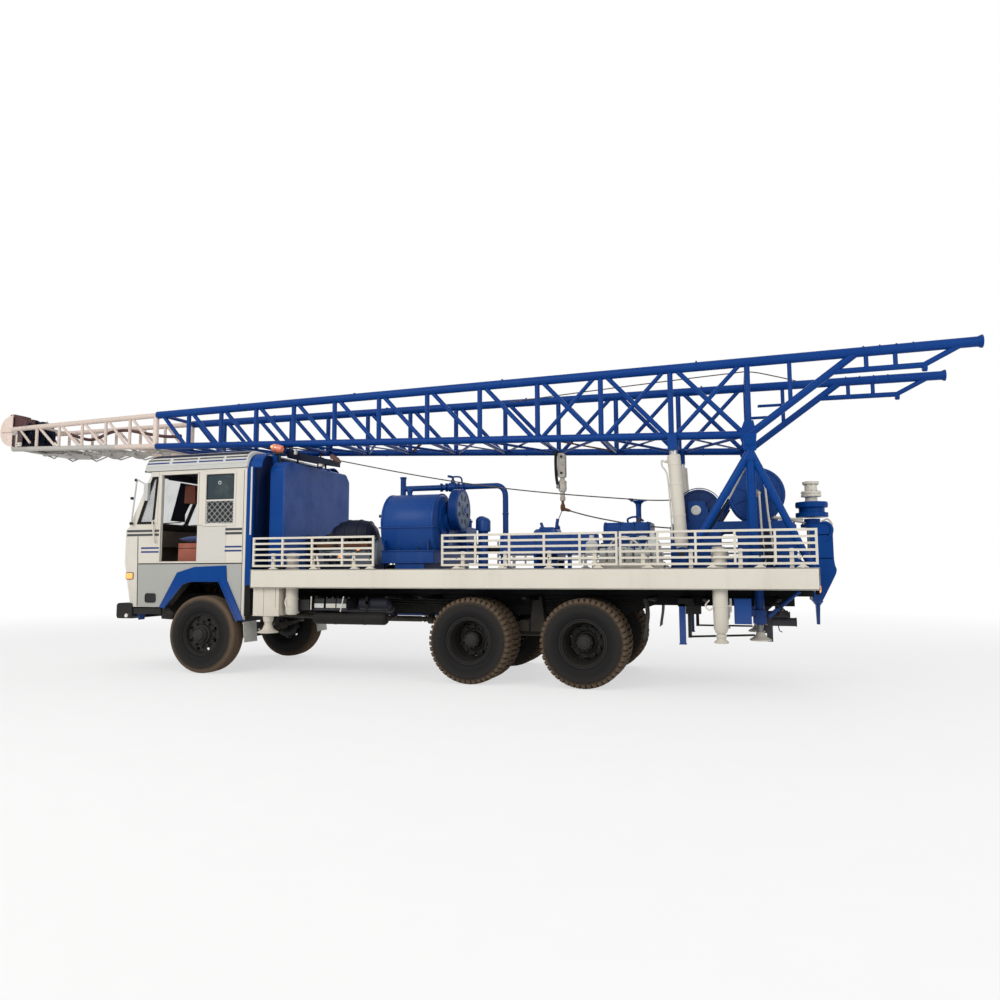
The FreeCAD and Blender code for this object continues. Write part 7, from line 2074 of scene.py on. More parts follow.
def makeCrown():
    s = crownShape
    blank = Blank()
    mx, mz = s["middle"]
    start = math.acos((s["cut"] - mx) / s["rim"])

    def bow(radius):
        return [(mx + radius * math.cos(a), mz + radius * math.sin(a))
            for a in (start + (2 * math.pi - 2 * start) * i / 40 for i in range(41))]

    arc, inner = bow(s["rim"]), bow(s["rim"] - 0.018)
    for side in (-1, 1):
        # pale half-round cheeks with a rolled rim and a ledge at half height
        blank.use(cheekPaint)
        blank.cut([arc], 0.01, sideFlat(side * (s["half"] - 0.006)))
        blank.loft([[at(x, side * (s["half"] - w), z)
            for (x, z), w in ((o, 0.002), (o, 0.045), (n, 0.045), (n, 0.002))]
            for o, n in zip(arc, inner)])
        blank.block(at(-4.714, side * (s["half"] - 0.04), 3.697),
            at(-4.49, side * (s["half"] + 0.024), 3.715))
        blank.block(at(s["cut"], side * (s["half"] - 0.012), 3.42),
            at(s["cut"] + 0.016, side * (s["half"] - 0.001), 4.005))
        # darker side plates behind the wheels, with the bearing block
        if side < 0:
            blank.use(platePaint).cut([oblong(-4.5, 3.46, -4.307, 3.75)], 0.01, sideFlat(-0.312))
        blank.use(crownGrey).turned(at(s["wheel"], side * 0.3, s["z"]), (0, side, 0),
            [(0, 0.085), (0.012, 0.085), (0.014, 0.06), (0.036, 0.06), (0.037, 0.0)], 32)
        # the last bay of the section, carried forward to the cheeks
        y = side * 0.306
        blank.use(crownPaint)
        blank.rod(at(-4.552, y, mastTop(-4.55)), at(-4.137, side * 0.318, mastTop(-4.137)), 0.0395,
            sides=24)
        blank.turned(at(-4.553, y, mastTop(-4.55)), rearward,
            [(-0.012, 0.0), (-0.01, 0.036), (0.0, 0.0395)], 24)
        blank.rod(at(-4.425, y, mastLow(-4.42) + 0.02), at(-4.425, y, mastTop(-4.42) - 0.02),
            0.023, sides=20)
        blank.rod(at(-4.36, y, mastTop(-4.36) - 0.02), at(-4.137, side * 0.312, 3.5), 0.02,
            sides=18)
        blank.use(crownGrey).rod(at(-4.494, y, mastLow(-4.49)),
            at(-4.137, side * 0.318, mastLow(-4.137)), 0.0395, sides=24)
        blank.use(creamPaint).block(at(-4.4, side * 0.318, 3.452), at(-4.305, side * 0.334, 3.515))
        for x in (-4.385, -4.32):
            blank.use(darkSteel).rod(at(x, side * 0.332, 3.484), at(x, side * 0.342, 3.484), 0.009,
                sides=6)
    blank.use(crownGrey)
    blank.rod(at(s["wheel"], -s["half"] + 0.02, s["z"]), at(s["wheel"], s["half"] - 0.02, s["z"]),
        0.044, sides=28)
    blank.rod(at(-4.425, -0.3, mastTop(-4.42)), at(-4.425, 0.3, mastTop(-4.42)), 0.021, sides=18)
    blank.rod(at(-4.425, -0.3, mastLow(-4.42)), at(-4.425, 0.3, mastLow(-4.42)), 0.021, sides=18)
    blank.use(maroonPaint)  # a narrow dark hood over the first wheel
    hood = [(-4.6, 3.8), (-4.6, 4.004), (-4.5, 4.004), (-4.345, 3.965), (-4.34, 3.925),
        (-4.257, 3.915), (-4.257, 3.8)]
    for y in (-0.3, -0.135):
        blank.prism([at(x, y, z) for x, z in hood], (0, 0.008, 0))
    for (xa, za), (xb, zb) in zip(hood, hood[1:]):
        blank.loft([[at(xa, y, za), at(xb, y, zb), at(xb * 1.001, y, zb - 0.006),
            at(xa * 1.001, y, za - 0.006)] for y in (-0.296, -0.131)])
    blank.made("crown_wheel_box", "mast", bevel=0.002, stands=("crown_block",))
    struts = Blank()
    for side in (-1, 1):
        x = mastShape["joint"] - 0.03
        struts.use(cheekPaint).rod(at(x, side * mastHalf(x), mastLow(x) + 0.02),
            at(x, side * mastHalf(x), mastTop(x) - 0.02), 0.04, sides=24)
        for z in (mastLow(x), mastTop(x)):
            struts.turned(at(x + 0.01, side * mastHalf(x), z), rearward,
                [(0, 0.041), (0.001, 0.06), (0.012, 0.06), (0.014, 0.041)], 28)
    # grey belly tray, a zig-zag of thin bars and scalloped plates under the section
    struts.use(crownGrey)
    tray = [(-4.135, 3.335), (-3.83, 3.285), (-3.46, 3.268), (-3.3, 3.3), (-3.3, 3.312),
        (-3.46, 3.28), (-3.83, 3.297), (-4.135, 3.348)]
    struts.prism([at(x, -0.3, z) for x, z in tray], (0, 0.6, 0))
    ends = crownBays()
    for i in range(len(ends) - 1):
        a, b = ends[i], ends[i + 1]
        m = (a + b) / 2
        z = mastLow(m) - 0.045
        deep = 0.1 if m < -3.0 else 0.075
        for side in (-1, 1):
            y = side * (mastHalf(m) - 0.1)
            struts.rod(at(a, y, z), at(m, y - side * 0.05, z - deep), 0.011, sides=10)
            struts.rod(at(m, y - side * 0.05, z - deep), at(b, y, z), 0.011, sides=10)
        struts.rod(at(a, -mastHalf(a) + 0.1, z), at(b, mastHalf(b) - 0.1, z), 0.013, sides=10)
    for front, rear in ((-3.28, -2.95), (-2.95, -2.45), (-2.45, -1.98), (-1.98, -1.62)):
        points = []
        for step in range(13):
            t = step / 12
            x = front + (rear - front) * t
            points.append(at(x, 0.05, mastLow(x) - 0.05 - 0.085 * math.sin(math.pi * t)))
        points += [at(rear, 0.05, mastLow(rear) - 0.02), at(front, 0.05, mastLow(front) - 0.02)]
        struts.prism(points, (0, -0.012, 0))
    struts.use(cheekPaint)
    foot = [at(-1.78, -0.2, 3.22), at(-1.6, -0.2, 3.22), at(-1.56, -0.2, 3.1),
        at(-1.6, -0.2, 3.095), at(-1.7, -0.2, 3.13)]
    struts.prism(foot, (0, 0.03, 0))
    return struts.made("crown_belly", "mast", bevel=0.0015)


def makeCrownWheels():
    s = crownShape
    low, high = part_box("crown_sheaves")
    blank = Blank()
    pitch = (high.y - low.y + 0.006) / 3
    for i in range(3):
        y = low.y + pitch * (i + 0.5) - 0.003
        blank.use(navyPaint).turned(at(s["wheel"], y, s["z"]), rightward,
            [(-0.027, 0.245), (-0.027, 0.2645), (-0.016, 0.2645), (0.0, 0.236), (0.016, 0.2645),
            (0.027, 0.2645), (0.027, 0.245), (0.008, 0.225), (0.008, 0.095), (0.03, 0.078),
            (0.03, 0.047), (-0.03, 0.047), (-0.03, 0.078), (-0.008, 0.095), (-0.008, 0.225)], 64,
            closed=True)
        for k in range(6):
            turn = k * math.pi / 3
            out = Vector((math.cos(turn), 0, math.sin(turn)))
            hub = at(s["wheel"], y, s["z"])
            for way in (-1, 1):
                blank.square(hub + out * 0.09 + Vector((0, way * 0.014, 0)),
                    hub + out * 0.232 + Vector((0, way * 0.011, 0)), 0.014, 0.012, rightward)
    return blank.made("crown_wheels", "crown_sheaves_body", bevel=0.0015,
        stands=("crown_sheaves",))


# hanging block and hook
hookShape = {"x": 4.79, "top": 2.952}
scruffy = vehiclePaint("worn_white_link", shade(206, 200, 190), shade(150, 134, 118), gloss=0.6,
    fade=0.7, dirt=0.9, chips=0.8)


def makeHook():
    s = hookShape
    blank = Blank().use(mastPaint)
    hangX = min(mastBays(), key=lambda x: abs(x - s["x"]))
    blank.rod(at(hangX, 0, mastLow(hangX) - 0.02), at(s["x"] - 0.02, 0, 2.93), 0.018, sides=14)
    blank.use(scruffy)
    for y in (-0.045, 0.045):
        blank.cut([roundedBox((s["x"] - 0.055, 2.62), (s["x"] + 0.045, 2.95), 0.03)], 0.03,
            sideFlat(y))
    for z in (2.9, 2.68):
        blank.use(darkSteel).rod(at(s["x"], -0.085, z), at(s["x"], 0.085, z), 0.016, sides=16)
    blank.use(scruffy)
    blank.turned(at(s["x"], 0, 2.3), upward, [(0, 0.02), (0.01, 0.034), (0.05, 0.04),
        (0.055, 0.032), (0.13, 0.032), (0.135, 0.048), (0.16, 0.055), (0.27, 0.055), (0.28, 0.046),
        (0.29, 0.032), (0.36, 0.028), (0.38, 0.024)], 28)
    for z in (2.475, 2.545):
        blank.turned(at(s["x"], 0, z), upward, [(0, 0.055), (0.003, 0.059), (0.012, 0.059),
            (0.015, 0.055)], 28)
    blank.use(rustyPaint).turned(at(s["x"], 0, 2.165), upward,
        [(0, 0.012), (0.01, 0.028), (0.05, 0.034), (0.085, 0.03), (0.1, 0.02), (0.145, 0.018)], 20)
    blank.turned(at(s["x"] + 0.01, 0, 2.195), (1, 0, -0.28),
        [(0, 0.016), (0.02, 0.022), (0.07, 0.02), (0.1, 0.011), (0.11, 0.0)], 16)
    blank.use(hoseRubber).curve([at(s["x"] - 0.06, -0.065, 2.985), at(s["x"] - 0.075, -0.07, 2.9),
        at(s["x"] - 0.074, -0.075, 2.74), at(s["x"] - 0.066, -0.07, 2.6),
        at(s["x"] - 0.055, -0.055, 2.52)], 0.02, 12, 7)
    blank.use(dullSteel).turned(at(s["x"] - 0.053, -0.053, 2.47), (0.1, 0, 1),
        [(0, 0.014), (0.01, 0.024), (0.05, 0.024), (0.055, 0.02)], 12)
    return blank.made("hanging_block_and_swivel", "mast", bevel=0.002,
        stands=("travelling_block",))


mastCollars()
makeBracing()
legDetail()
mastLines()
makeCrown()
makeCrownWheels()
makeHook()
print("mast ready")


# raising cylinders
liftShape = {"baseX": 6.395, "baseZ": 1.56, "eyeX": 6.312, "eyeZ": 2.88, "reach": 1.21,
    "radius": 0.0795, "rod": 0.0495}


def liftAxis(side):
    s = liftShape
    y = side * mastHalf(s["eyeX"])
    start, end = at(s["baseX"], y, s["baseZ"]), at(s["eyeX"], y, s["eyeZ"])
    return start, end, (end - start).normalized()


def makeLift():
    s = liftShape
    barrel, rods = Blank(), Blank()
    for side in (-1, 1):
        start, end, along = liftAxis(side)
        barrel.use(creamPaint).turned(start, along, [(0.1, 0.07), (0.112, s["radius"]),
            (0.26, s["radius"]), (0.262, s["radius"] + 0.006), (0.29, s["radius"] + 0.006),
            (0.292, s["radius"] - 0.003), (s["reach"] - 0.13, s["radius"] - 0.003),
            (s["reach"] - 0.128, s["radius"]), (s["reach"] - 0.012, s["radius"]),
            (s["reach"], s["radius"] - 0.01), (s["reach"], 0.052), (s["reach"] - 0.05, 0.0508),
            (0.2, 0.0508), (0.2, 0.02)], 48)
        barrel.turned(start, rightward, [(-0.042, 0.03), (-0.04, 0.072), (0.04, 0.072),
            (0.042, 0.03)], 32)
        barrel.rod(start + along * 0.05, start + along * 0.115, 0.055, 0.07, 28)
        barrel.use(darkSteel).rod(start - Vector((0, 0.088, 0)), start + Vector((0, 0.088, 0)),
            0.044, sides=24)
        front = along.cross(Vector(rightward)).normalized() * -1
        if front.x > 0:
            front = front * -1
        for reach in (0.2, s["reach"] - 0.07):  # ports with their elbows
            root = start + along * reach
            barrel.use(creamPaint).turned(root + front * (s["radius"] - 0.006), front,
                [(0, 0.02), (0.028, 0.02), (0.03, 0.014), (0.045, 0.014)], 16)
        top, low = start + along * (s["reach"] - 0.07), start + along * 0.2
        barrel.use(whiteHose).curve([top + front * 0.118, top + front * 0.145 + along * 0.015,
            top + front * 0.148 - along * 0.05, top + front * 0.105 - along * 0.13,
            top + front * 0.092 - along * 0.26, low + front * 0.092 + along * 0.4,
            low + front * 0.096 + along * 0.16, low + front * 0.105 + along * 0.02], 0.0105, 12)
        for reach in (0.46, 0.84):
            barrel.use(creamPaint).turned(start + along * reach, along,
                [(0, s["radius"] - 0.003), (0.001, s["radius"] + 0.001),
                (0.022, s["radius"] + 0.001), (0.023, s["radius"] - 0.003)], 40)
        rods.use(chrome).turned(start, along, [(0.235, 0.0), (0.236, 0.044), (0.24, s["rod"]),
            (1.268, s["rod"]), (1.27, 0.043)], 40)
        rods.use(darkSteel).turned(start, along, [(1.262, 0.0497), (1.27, 0.0498), (1.3, 0.045)],
            32)
        rods.use(dullSteel).turned(end, rightward, [(-0.0395, 0.033), (-0.0395, 0.0445),
            (-0.036, 0.0478), (0.036, 0.0478), (0.0395, 0.0445), (0.0395, 0.033)], 36, closed=True)
        rods.use(darkSteel).turned(end, rightward, [(-0.044, 0.0), (-0.044, 0.031), (0.044, 0.031),
            (0.044, 0.0)], 28)
        rods.use(dullSteel).rod(end - along * 0.1, end - along * 0.03, 0.043, 0.038, 28)
    barrel.made("lift_cylinder_barrels", "lift_barrels_body", bevel=0.0012,
        stands=("lift_barrels",))
    rods.made("lift_cylinder_rods", "lift_rods_body", bevel=0.001, stands=("lift_rods",))


# drawworks
drawShape = {"front": 6.242, "rear": 7.698, "half": 0.498, "wall": 0.038, "top": 1.958,
    "brakeX": 6.59, "brakeZ": 2.1, "drumX": 7.27, "drumZ": 2.285, "drumRim": 0.3285}
hubWhite = vehiclePaint("hub_white", shade(222, 222, 216), shade(196, 194, 186), dirt=0.0)
discBlue = vehiclePaint("disc_blue", shade(20, 48, 100), shade(44, 66, 112), gloss=0.4, dirt=0.0,
    chips=0.3)


def makeDrawworks():
    s = drawShape
    blank = Blank().use(machinePaint)
    for side in (-1, 1):
        y = side * (s["half"] - s["wall"] / 2)
        outline = [(s["front"], 1.39), (s["rear"], 1.39), (s["rear"], 1.9), (7.62, s["top"]),
            (6.3, s["top"]), (s["front"], 1.9)]
        hole = roundedBox((6.83, 1.5), (7.03, 1.84), 0.05)
        blank.cut([outline, hole], s["wall"] - 0.004, sideFlat(y))
        for x in (6.26, 6.8, 7.07, 7.66):
            blank.block(at(x, y, 1.4), at(x + 0.022, side * s["half"], 1.94))
        for x, z, r in ((s["brakeX"], s["brakeZ"], 0.084), (s["drumX"], s["drumZ"], 0.096)):
            base = [at(x - 0.128, y - 0.016, s["top"] - 0.03),
                at(x + 0.128, y - 0.016, s["top"] - 0.03)]
            arch = [at(x + 0.105 * math.cos(a), y - 0.016, z + 0.095 * math.sin(a))
                for a in (math.pi * i / 12 for i in range(13))]
            blank.prism(base + arch, (0, 0.032, 0))
            blank.turned(at(x, side * (s["half"] - 0.04), z), (0, side, 0),
                [(0, r), (0.036, r), (0.04, r - 0.02), (0.041, 0.047)], 32)
            for px in (-0.1, 0.1):
                blank.use(darkSteel).rod(at(x + px, y, s["top"] - 0.002),
                    at(x + px, y, s["top"] + 0.03), 0.012, sides=6)
                blank.use(machinePaint)
    for x in (s["front"] + 0.002, s["brakeX"] + 0.3, s["rear"] - 0.062):
        blank.block(at(x, -s["half"] + 0.01, deckTop), at(x + 0.058, s["half"] - 0.01, 1.5))
    blank.rod(at(6.95, -0.46, 1.9), at(6.95, 0.46, 1.9), 0.03, sides=18)
    for side in (-1, 1):  # brake discs with a raised rim, a paler pad and a white hub boss
        face = side * 0.438
        blank.use(discBlue).turned(at(s["brakeX"], face, s["brakeZ"]), (0, -side, 0),
            [(0.0, 0.235), (0.0, 0.258), (0.004, 0.262), (0.054, 0.262), (0.058, 0.258),
            (0.058, 0.235), (0.046, 0.232), (0.046, 0.05), (0.01, 0.05), (0.01, 0.232)], 64,
            closed=True)
        for k in range(8):
            turn = k * math.pi / 4
            out = Vector((math.cos(turn), 0, math.sin(turn)))
            hub = at(s["brakeX"], face - side * 0.006, s["brakeZ"])
            blank.square(hub + out * 0.11, hub + out * 0.236, 0.012, 0.01, rightward)
        blank.use(machinePaint).cut([roundedBox((6.462, 1.977), (6.668, 2.213), 0.016)], 0.022,
            sideFlat(side * 0.486))
        blank.use(hubWhite).turned(at(6.556, side * 0.49, 2.1), (0, side, 0),
            [(0, 0.06), (0.018, 0.06), (0.022, 0.054), (0.023, 0.03), (0.016, 0.028),
            (0.016, 0.0)], 36)
        blank.use(machinePaint)
        band = []  # brake band with its anchor
        for i in range(29):
            a = math.radians(-50 + 280 * i / 28)
            band.append(at(s["brakeX"] + 0.274 * math.cos(a), side * 0.41,
                s["brakeZ"] + 0.274 * math.sin(a)))
        loops = []
        for i, point in enumerate(band):
            a = math.radians(-50 + 280 * i / 28)
            out = Vector((math.cos(a), 0, math.sin(a)))
            wide = Vector((0, 0.022, 0))
            loops.append([point - wide, point + wide, point + wide + out * 0.008,
                point - wide + out * 0.008])
        blank.use(discBlue).loft(loops)
        blank.use(machinePaint)
    blank.turned(at(s["brakeX"], -0.37, s["brakeZ"]), rightward,
        [(0, 0.05), (0.002, 0.108), (0.738, 0.108), (0.74, 0.05)], 40)
    for i in range(9):  # cathead line on the front drum
        y = -0.3 + i * 0.075
        blank.turned(at(s["brakeX"], y, s["brakeZ"]), rightward,
            [(0, 0.107), (0.008, 0.112), (0.016, 0.107)], 32)
    # levers, links and guards of the working position at the left
    blank.use(creamPaint)
    for topX, topZ, lowX in ((7.293, 2.279, 7.309), (7.363, 2.366, 7.405)):
        blank.curve([at(lowX + 0.03, -0.535, 1.42), at(lowX, -0.54, 1.85),
            at((lowX + topX) / 2, -0.545, 2.06), at(topX, -0.545, topZ)], 0.0125, 10)
        blank.turned(at(topX, -0.545, topZ - 0.012), upward,
            [(0, 0.0), (0.005, 0.013), (0.019, 0.019), (0.033, 0.013), (0.038, 0.0)], 16)
    blank.use(creamPaint).rod(at(7.302, -0.4, 2.021), at(7.8, -0.1, 1.981), 0.014, sides=12)
    blank.rod(at(7.302, -0.4, 2.021), at(7.86, -0.02, 1.942), 0.012, sides=12)
    blank.use(hoseRubber)
    for k in range(4):
        blank.curve([at(7.3 + 0.05 * k, -0.53, 1.42), at(7.34 + 0.04 * k, -0.56, 1.56),
            at(7.3 + 0.05 * k, -0.55, 1.7), at(7.36 + 0.03 * k, -0.53, 1.86)], 0.011, 8, 5)
    return blank.made("drawworks_frame", "truck", bevel=0.003, stands=("drawworks",))


def makeDrum():
    s = drawShape
    blank = Blank().use(machinePaint)
    for side in (-1, 1):
        outer = side * 0.37
        blank.turned(at(s["drumX"], outer, s["drumZ"]), (0, -side, 0),
            [(0.0, 0.296), (0.0, 0.325), (0.004, s["drumRim"]), (0.026, s["drumRim"]),
            (0.03, 0.325), (0.03, 0.145), (0.02, 0.145), (0.012, 0.15), (0.012, 0.291)], 96,
            closed=True)
        for k in range(8):
            turn = (k + 0.5) * math.pi / 4
            out = Vector((math.cos(turn), 0, math.sin(turn)))
            hub = at(s["drumX"], outer - side * 0.007, s["drumZ"])
            blank.square(hub + out * 0.1, hub + out * 0.298, 0.02, 0.014, rightward)
        blank.use(discBlue).turned(at(s["drumX"], outer - side * 0.013, s["drumZ"]), (0, -side, 0),
            [(0, 0.06), (0.0, 0.15), (0.008, 0.15), (0.008, 0.06)], 48, closed=True)
        blank.use(machinePaint).turned(at(s["drumX"], outer - side * 0.012, s["drumZ"]),
            (0, side, 0), [(0, 0.095), (0.02, 0.09), (0.022, 0.06), (0.05, 0.055), (0.052, 0.046)],
            36)
        blank.use(dullSteel).rod(at(s["drumX"], side * 0.4, s["drumZ"]),
            at(s["drumX"], side * 0.5195, s["drumZ"]), 0.0445, sides=28)
        blank.use(machinePaint)
    blank.rod(at(s["drumX"], -0.36, s["drumZ"]), at(s["drumX"], 0.36, s["drumZ"]), 0.15, sides=56)
    blank.use(wireRope)
    points = []
    turns, radius, steps = 24, 0.166, 28
    for i in range(turns * steps + 1):
        a = 2 * math.pi * i / steps
        y = -0.325 + 0.65 * i / (turns * steps)
        points.append(at(s["drumX"] + radius * math.cos(a), y, s["drumZ"] + radius * math.sin(a)))
    blank.tube(points, 0.0135, 8)
    return blank.made("winch_drum_with_rope", "winch_drum_body", bevel=0.0015,
        stands=("winch_drum",))


# A-frames and cab rest
def makeSupportDetail():
    blank = Blank().use(bluePaint)
    for side in (-1, 1):
        y = side * 0.95
        apex = at(7.2, y, 2.74)
        for footX, radius in ((7.2, 0.05), (6.39, 0.046), (7.82, 0.042)):
            foot = at(footX, y, 1.39)
            way = (apex - foot).normalized()
            lift = 0.02
            blank.use(bluePaint)
            blank.turned(foot + way * lift, way, [(0, radius), (0.001, radius + 0.012),
                (0.02, radius + 0.012), (0.022, radius)], 28)
            low = at(footX, y, deckTop)
            if footX < 7.7:
                blank.block(low + Vector((-0.13, -0.1, 0)), low + Vector((0.13, 0.1, 0.018)))
                for px in (-0.1, 0.1):
                    for py in (-0.075, 0.075):
                        blank.use(darkSteel).rod(low + Vector((px, py, 0.017)),
                            low + Vector((px, py, 0.034)), 0.013, sides=6)
            blank.use(bluePaint)
            for reach in (0.42, 0.98):
                blank.turned(foot + way * reach, way, [(0, radius), (0.002, radius + 0.003),
                    (0.014, radius + 0.003), (0.016, radius)], 28)
            for turn in (0.0, math.pi):
                off = way.cross(Vector(rightward)).normalized() * math.cos(turn)
                blank.prism([foot + off * radius * 0.9 + Vector((0, -0.006, 0.012)),
                    foot + off * (radius + 0.07) + Vector((0, -0.006, 0.012)),
                    foot + way * 0.12 + off * radius * 0.9 + Vector((0, -0.006, 0))],
                    (0, 0.012, 0))
        blank.turned(at(7.2, side * 0.985, 2.84), (0, side, 0),
            [(-0.006, 0.052), (0.004, 0.052), (0.0055, 0.034), (0.014, 0.033), (0.0145, 0.0)], 32)
        blank.use(creamPaint)  # slim pale stays tied to the front leg
        blank.curve([at(7.141, y - side * 0.1, 2.559), at(7.04, y - side * 0.1, 2.375),
            at(6.945, y - side * 0.1, 2.2)], 0.012, 10)
        blank.use(hoseRubber).curve([at(6.94, y - side * 0.1, 2.19),
            at(6.856, y - side * 0.1, 2.056), at(6.76, y - side * 0.09, 1.9),
            at(6.667, y - side * 0.07, 1.768)], 0.013, 10)
        blank.use(bluePaint)
        for z in (1.62, 2.62):
            x = 7.2
            blank.block(at(x - 0.055, y - 0.055, z), at(x + 0.055, y + 0.055, z + 0.012))
    for side in (-1, 1):  # cab rest: a strap under each low chord
        y = side * mastHalf(0.738)
        blank.use(darkSteel)
        blank.block(at(0.7, y - 0.08, 3.118), at(0.776, y + 0.08, 3.126))
        blank.use(bluePaint)
        blank.turned(at(0.738, side * 0.62, 1.36), upward,
            [(0, 0.046), (0.001, 0.06), (0.03, 0.06), (0.032, 0.046)], 28)
    return blank.made("support_collars", "truck", bevel=0.002)


# rotary head at the tail
rotaryShape = {"x": 7.915, "front": 7.867, "rear": 8.148, "half": 0.238, "low": 1.0, "top": 1.898}


def makeRotaryHead():
    s = rotaryShape
    blank = Blank().use(bluePaint)
    outline = [(s["front"], s["low"]), (7.972, s["low"]), (8.004, 1.06), (8.08, 1.21),
        (8.138, 1.33), (8.146, 1.375), (8.128, 1.43), (8.12, 1.5), (8.118, 1.87),
        (8.088, s["top"]), (s["front"], s["top"])]
    for low, high in ((-s["half"], -0.19), (0.19, s["half"])):
        blank.prism([at(x, low, z) for x, z in outline], (0, high - low, 0))
    blank.prism([at(x - 0.012 if x > 7.9 else x + 0.004, -0.195, z) for x, z in outline],
        (0, 0.39, 0))
    for z in (1.5, 1.78):
        blank.block(at(s["front"] + 0.002, -s["half"], z), at(8.121, s["half"], z + 0.018))
    for k in range(6):
        for y in (-0.15, 0.15):
            blank.use(darkSteel).rod(at(8.1, y, 1.46 + k * 0.07), at(8.117, y, 1.46 + k * 0.07),
                0.01, sides=6)
    blank.use(bluePaint)  # the narrow foot that reaches down below the casing
    blank.loft([[at(x, y, z) for x, y in oblong(xa, -w, xb, w)]
        for z, xa, xb, w in ((1.002, 7.875, 7.99, 0.19), (0.94, 7.916, 7.962, 0.06),
        (0.8, 7.918, 7.957, 0.04), (0.712, 7.92, 7.955, 0.036))])
    blank.turned(at(s["x"], 0, s["top"]), upward, [(-0.01, 0.135), (0.03, 0.135), (0.034, 0.096),
        (0.095, 0.094), (0.099, 0.0303), (-0.01, 0.0303)], 40, closed=True)
    blank.bolts(at(s["x"], 0, s["top"] + 0.03), upward, 0.116, 10, 0.009, 0.012)
    for side in (-1, 1):
        blank.block(at(7.885, side * 0.14, s["top"] - 0.004),
            at(8.08, side * 0.23, s["top"] + 0.02))
    blank.use(redLens)
    for side in (-1, 1):
        blank.turned(at(8.05, side * 0.215, 1.19), (1, 0, -0.5),
            [(0, 0.02), (0.014, 0.02), (0.018, 0.0)], 20)
    blank.made("rotary_head_casing", "truck", bevel=0.004, stands=("rotary_gearbox",))
    table = Blank().use(bluePaint)
    table.turned(at(s["x"], 0, 2.0125), upward, [(0, 0.0303), (0, 0.184), (0.004, 0.1885),
        (0.052, 0.1885), (0.056, 0.184), (0.06, 0.15), (0.112, 0.15), (0.118, 0.182),
        (0.122, 0.1865), (0.182, 0.1865), (0.187, 0.182), (0.192, 0.0303)], 64, closed=True)
    for k in range(16):
        turn = math.pi * k / 8
        out = Vector((math.cos(turn), math.sin(turn), 0))
        for height in (2.04, 2.165):
            spot = at(s["x"], 0, height) + out * 0.18
            table.square(spot, spot + out * 0.0085, 0.026, 0.026)
    table.use(creamPaint).turned(at(s["x"], 0, 2.2), upward,
        [(0, 0.0303), (0, 0.074), (0.058, 0.07), (0.064, 0.112), (0.068, 0.118), (0.088, 0.118),
        (0.092, 0.108), (0.1, 0.108), (0.104, 0.118), (0.126, 0.118), (0.13, 0.112),
        (0.132, 0.074), (0.212, 0.073), (0.222, 0.094), (0.226, 0.098), (0.25, 0.098),
        (0.254, 0.094), (0.254, 0.0303)], 48, closed=True)
    table.use(dullSteel).bolts(at(s["x"], 0, 2.325), upward, 0.096, 8, 0.01, 0.014)
    for k in range(8):
        turn = math.pi * k / 4
        spot = at(s["x"], 0, 2.4538) + Vector((math.cos(turn), math.sin(turn), 0)) * 0.081
        table.rod(spot - Vector((0, 0, 0.045)), spot + Vector((0, 0, 0.001)), 0.008, sides=10)
    table.made("rotary_table_and_swivel", "rotary_table_body", bevel=0.0015,
        stands=("rotary_table",))
    side = Blank().use(bluePaint)  # blue pipework curling out beside the head
    side.curve([at(7.93, -0.2, 1.7), at(8.06, -0.235, 1.74), at(8.11, -0.235, 1.85),
        at(8.06, -0.22, 1.93), at(7.97, -0.18, 1.92)], 0.02, 14)
    side.use(whiteHose).curve([at(8.0, -0.2, 1.95), at(8.07, -0.225, 1.975),
        at(8.115, -0.225, 1.91), at(8.1, -0.22, 1.84)], 0.011, 10)
    side.made("rotary_head_pipes", "truck")


def makeTautLines():
    blank = Blank().use(wireRope)
    runs = [((1.66, -0.4, 2.935), (5.795, -0.02, 2.292), 0.085, 0.008),
        ((5.795, 0.0, 2.292), (6.262, 0.0, 2.275), 0.006, 0.008),
        ((4.8, 0.0, 2.198), (5.3, 0.0, 2.055), 0.008, 0.009),
        ((5.3, 0.0, 2.055), (6.348, 0.0, 1.901), 0.022, 0.009),
        ((4.793, 0.0, 2.21), (4.716, 0.0, 2.029), 0.0, 0.006)]
    for start, end, sag, radius in runs:
        a, b = at(*start), at(*end)
        points = []
        for s in range(25):
            t = s / 24
            point = a.lerp(b, t)
            point.z -= sag * math.sin(math.pi * t)
            points.append(point)
        blank.tube(points, radius, 8)
    blank.use(rustyPaint)
    blank.turned(at(5.7, -0.01, 2.298), (1, 0, -0.1),
        [(-0.03, 0.0), (-0.02, 0.014), (0.03, 0.016), (0.05, 0.0)], 14)
    # the pale end fitting and the dark maroon clamp on the roof end of the upper line
    blank.use(maroonPaint).turned(at(1.5, -0.4, 3.02), (0.82, 0, -0.56),
        [(0.0, 0.0), (0.005, 0.03), (0.05, 0.036), (0.13, 0.036), (0.16, 0.026), (0.19, 0.012),
        (0.2, 0.0)], 18)
    blank.use(creamPaint).block(at(1.31, -0.42, 2.87), at(1.37, -0.34, 2.94), 0.006)
    blank.rod(at(1.37, -0.4, 2.9), at(1.54, -0.4, 2.995), 0.01, sides=10)
    return blank.made("taut_lines", "truck")


makeLift()
makeDrawworks()
makeDrum()
makeSupportDetail()
makeRotaryHead()
makeTautLines()
print("rear machinery ready")


# jacks
jackShape = {"y": 1.08, "tailY": 0.64, "foot": 0.5605, "front": {"x": 0.98, "low": 0.702},
    "rear": {"x": 6.822, "low": 0.672}, "tail": {"x": 7.25, "low": 0.742}}


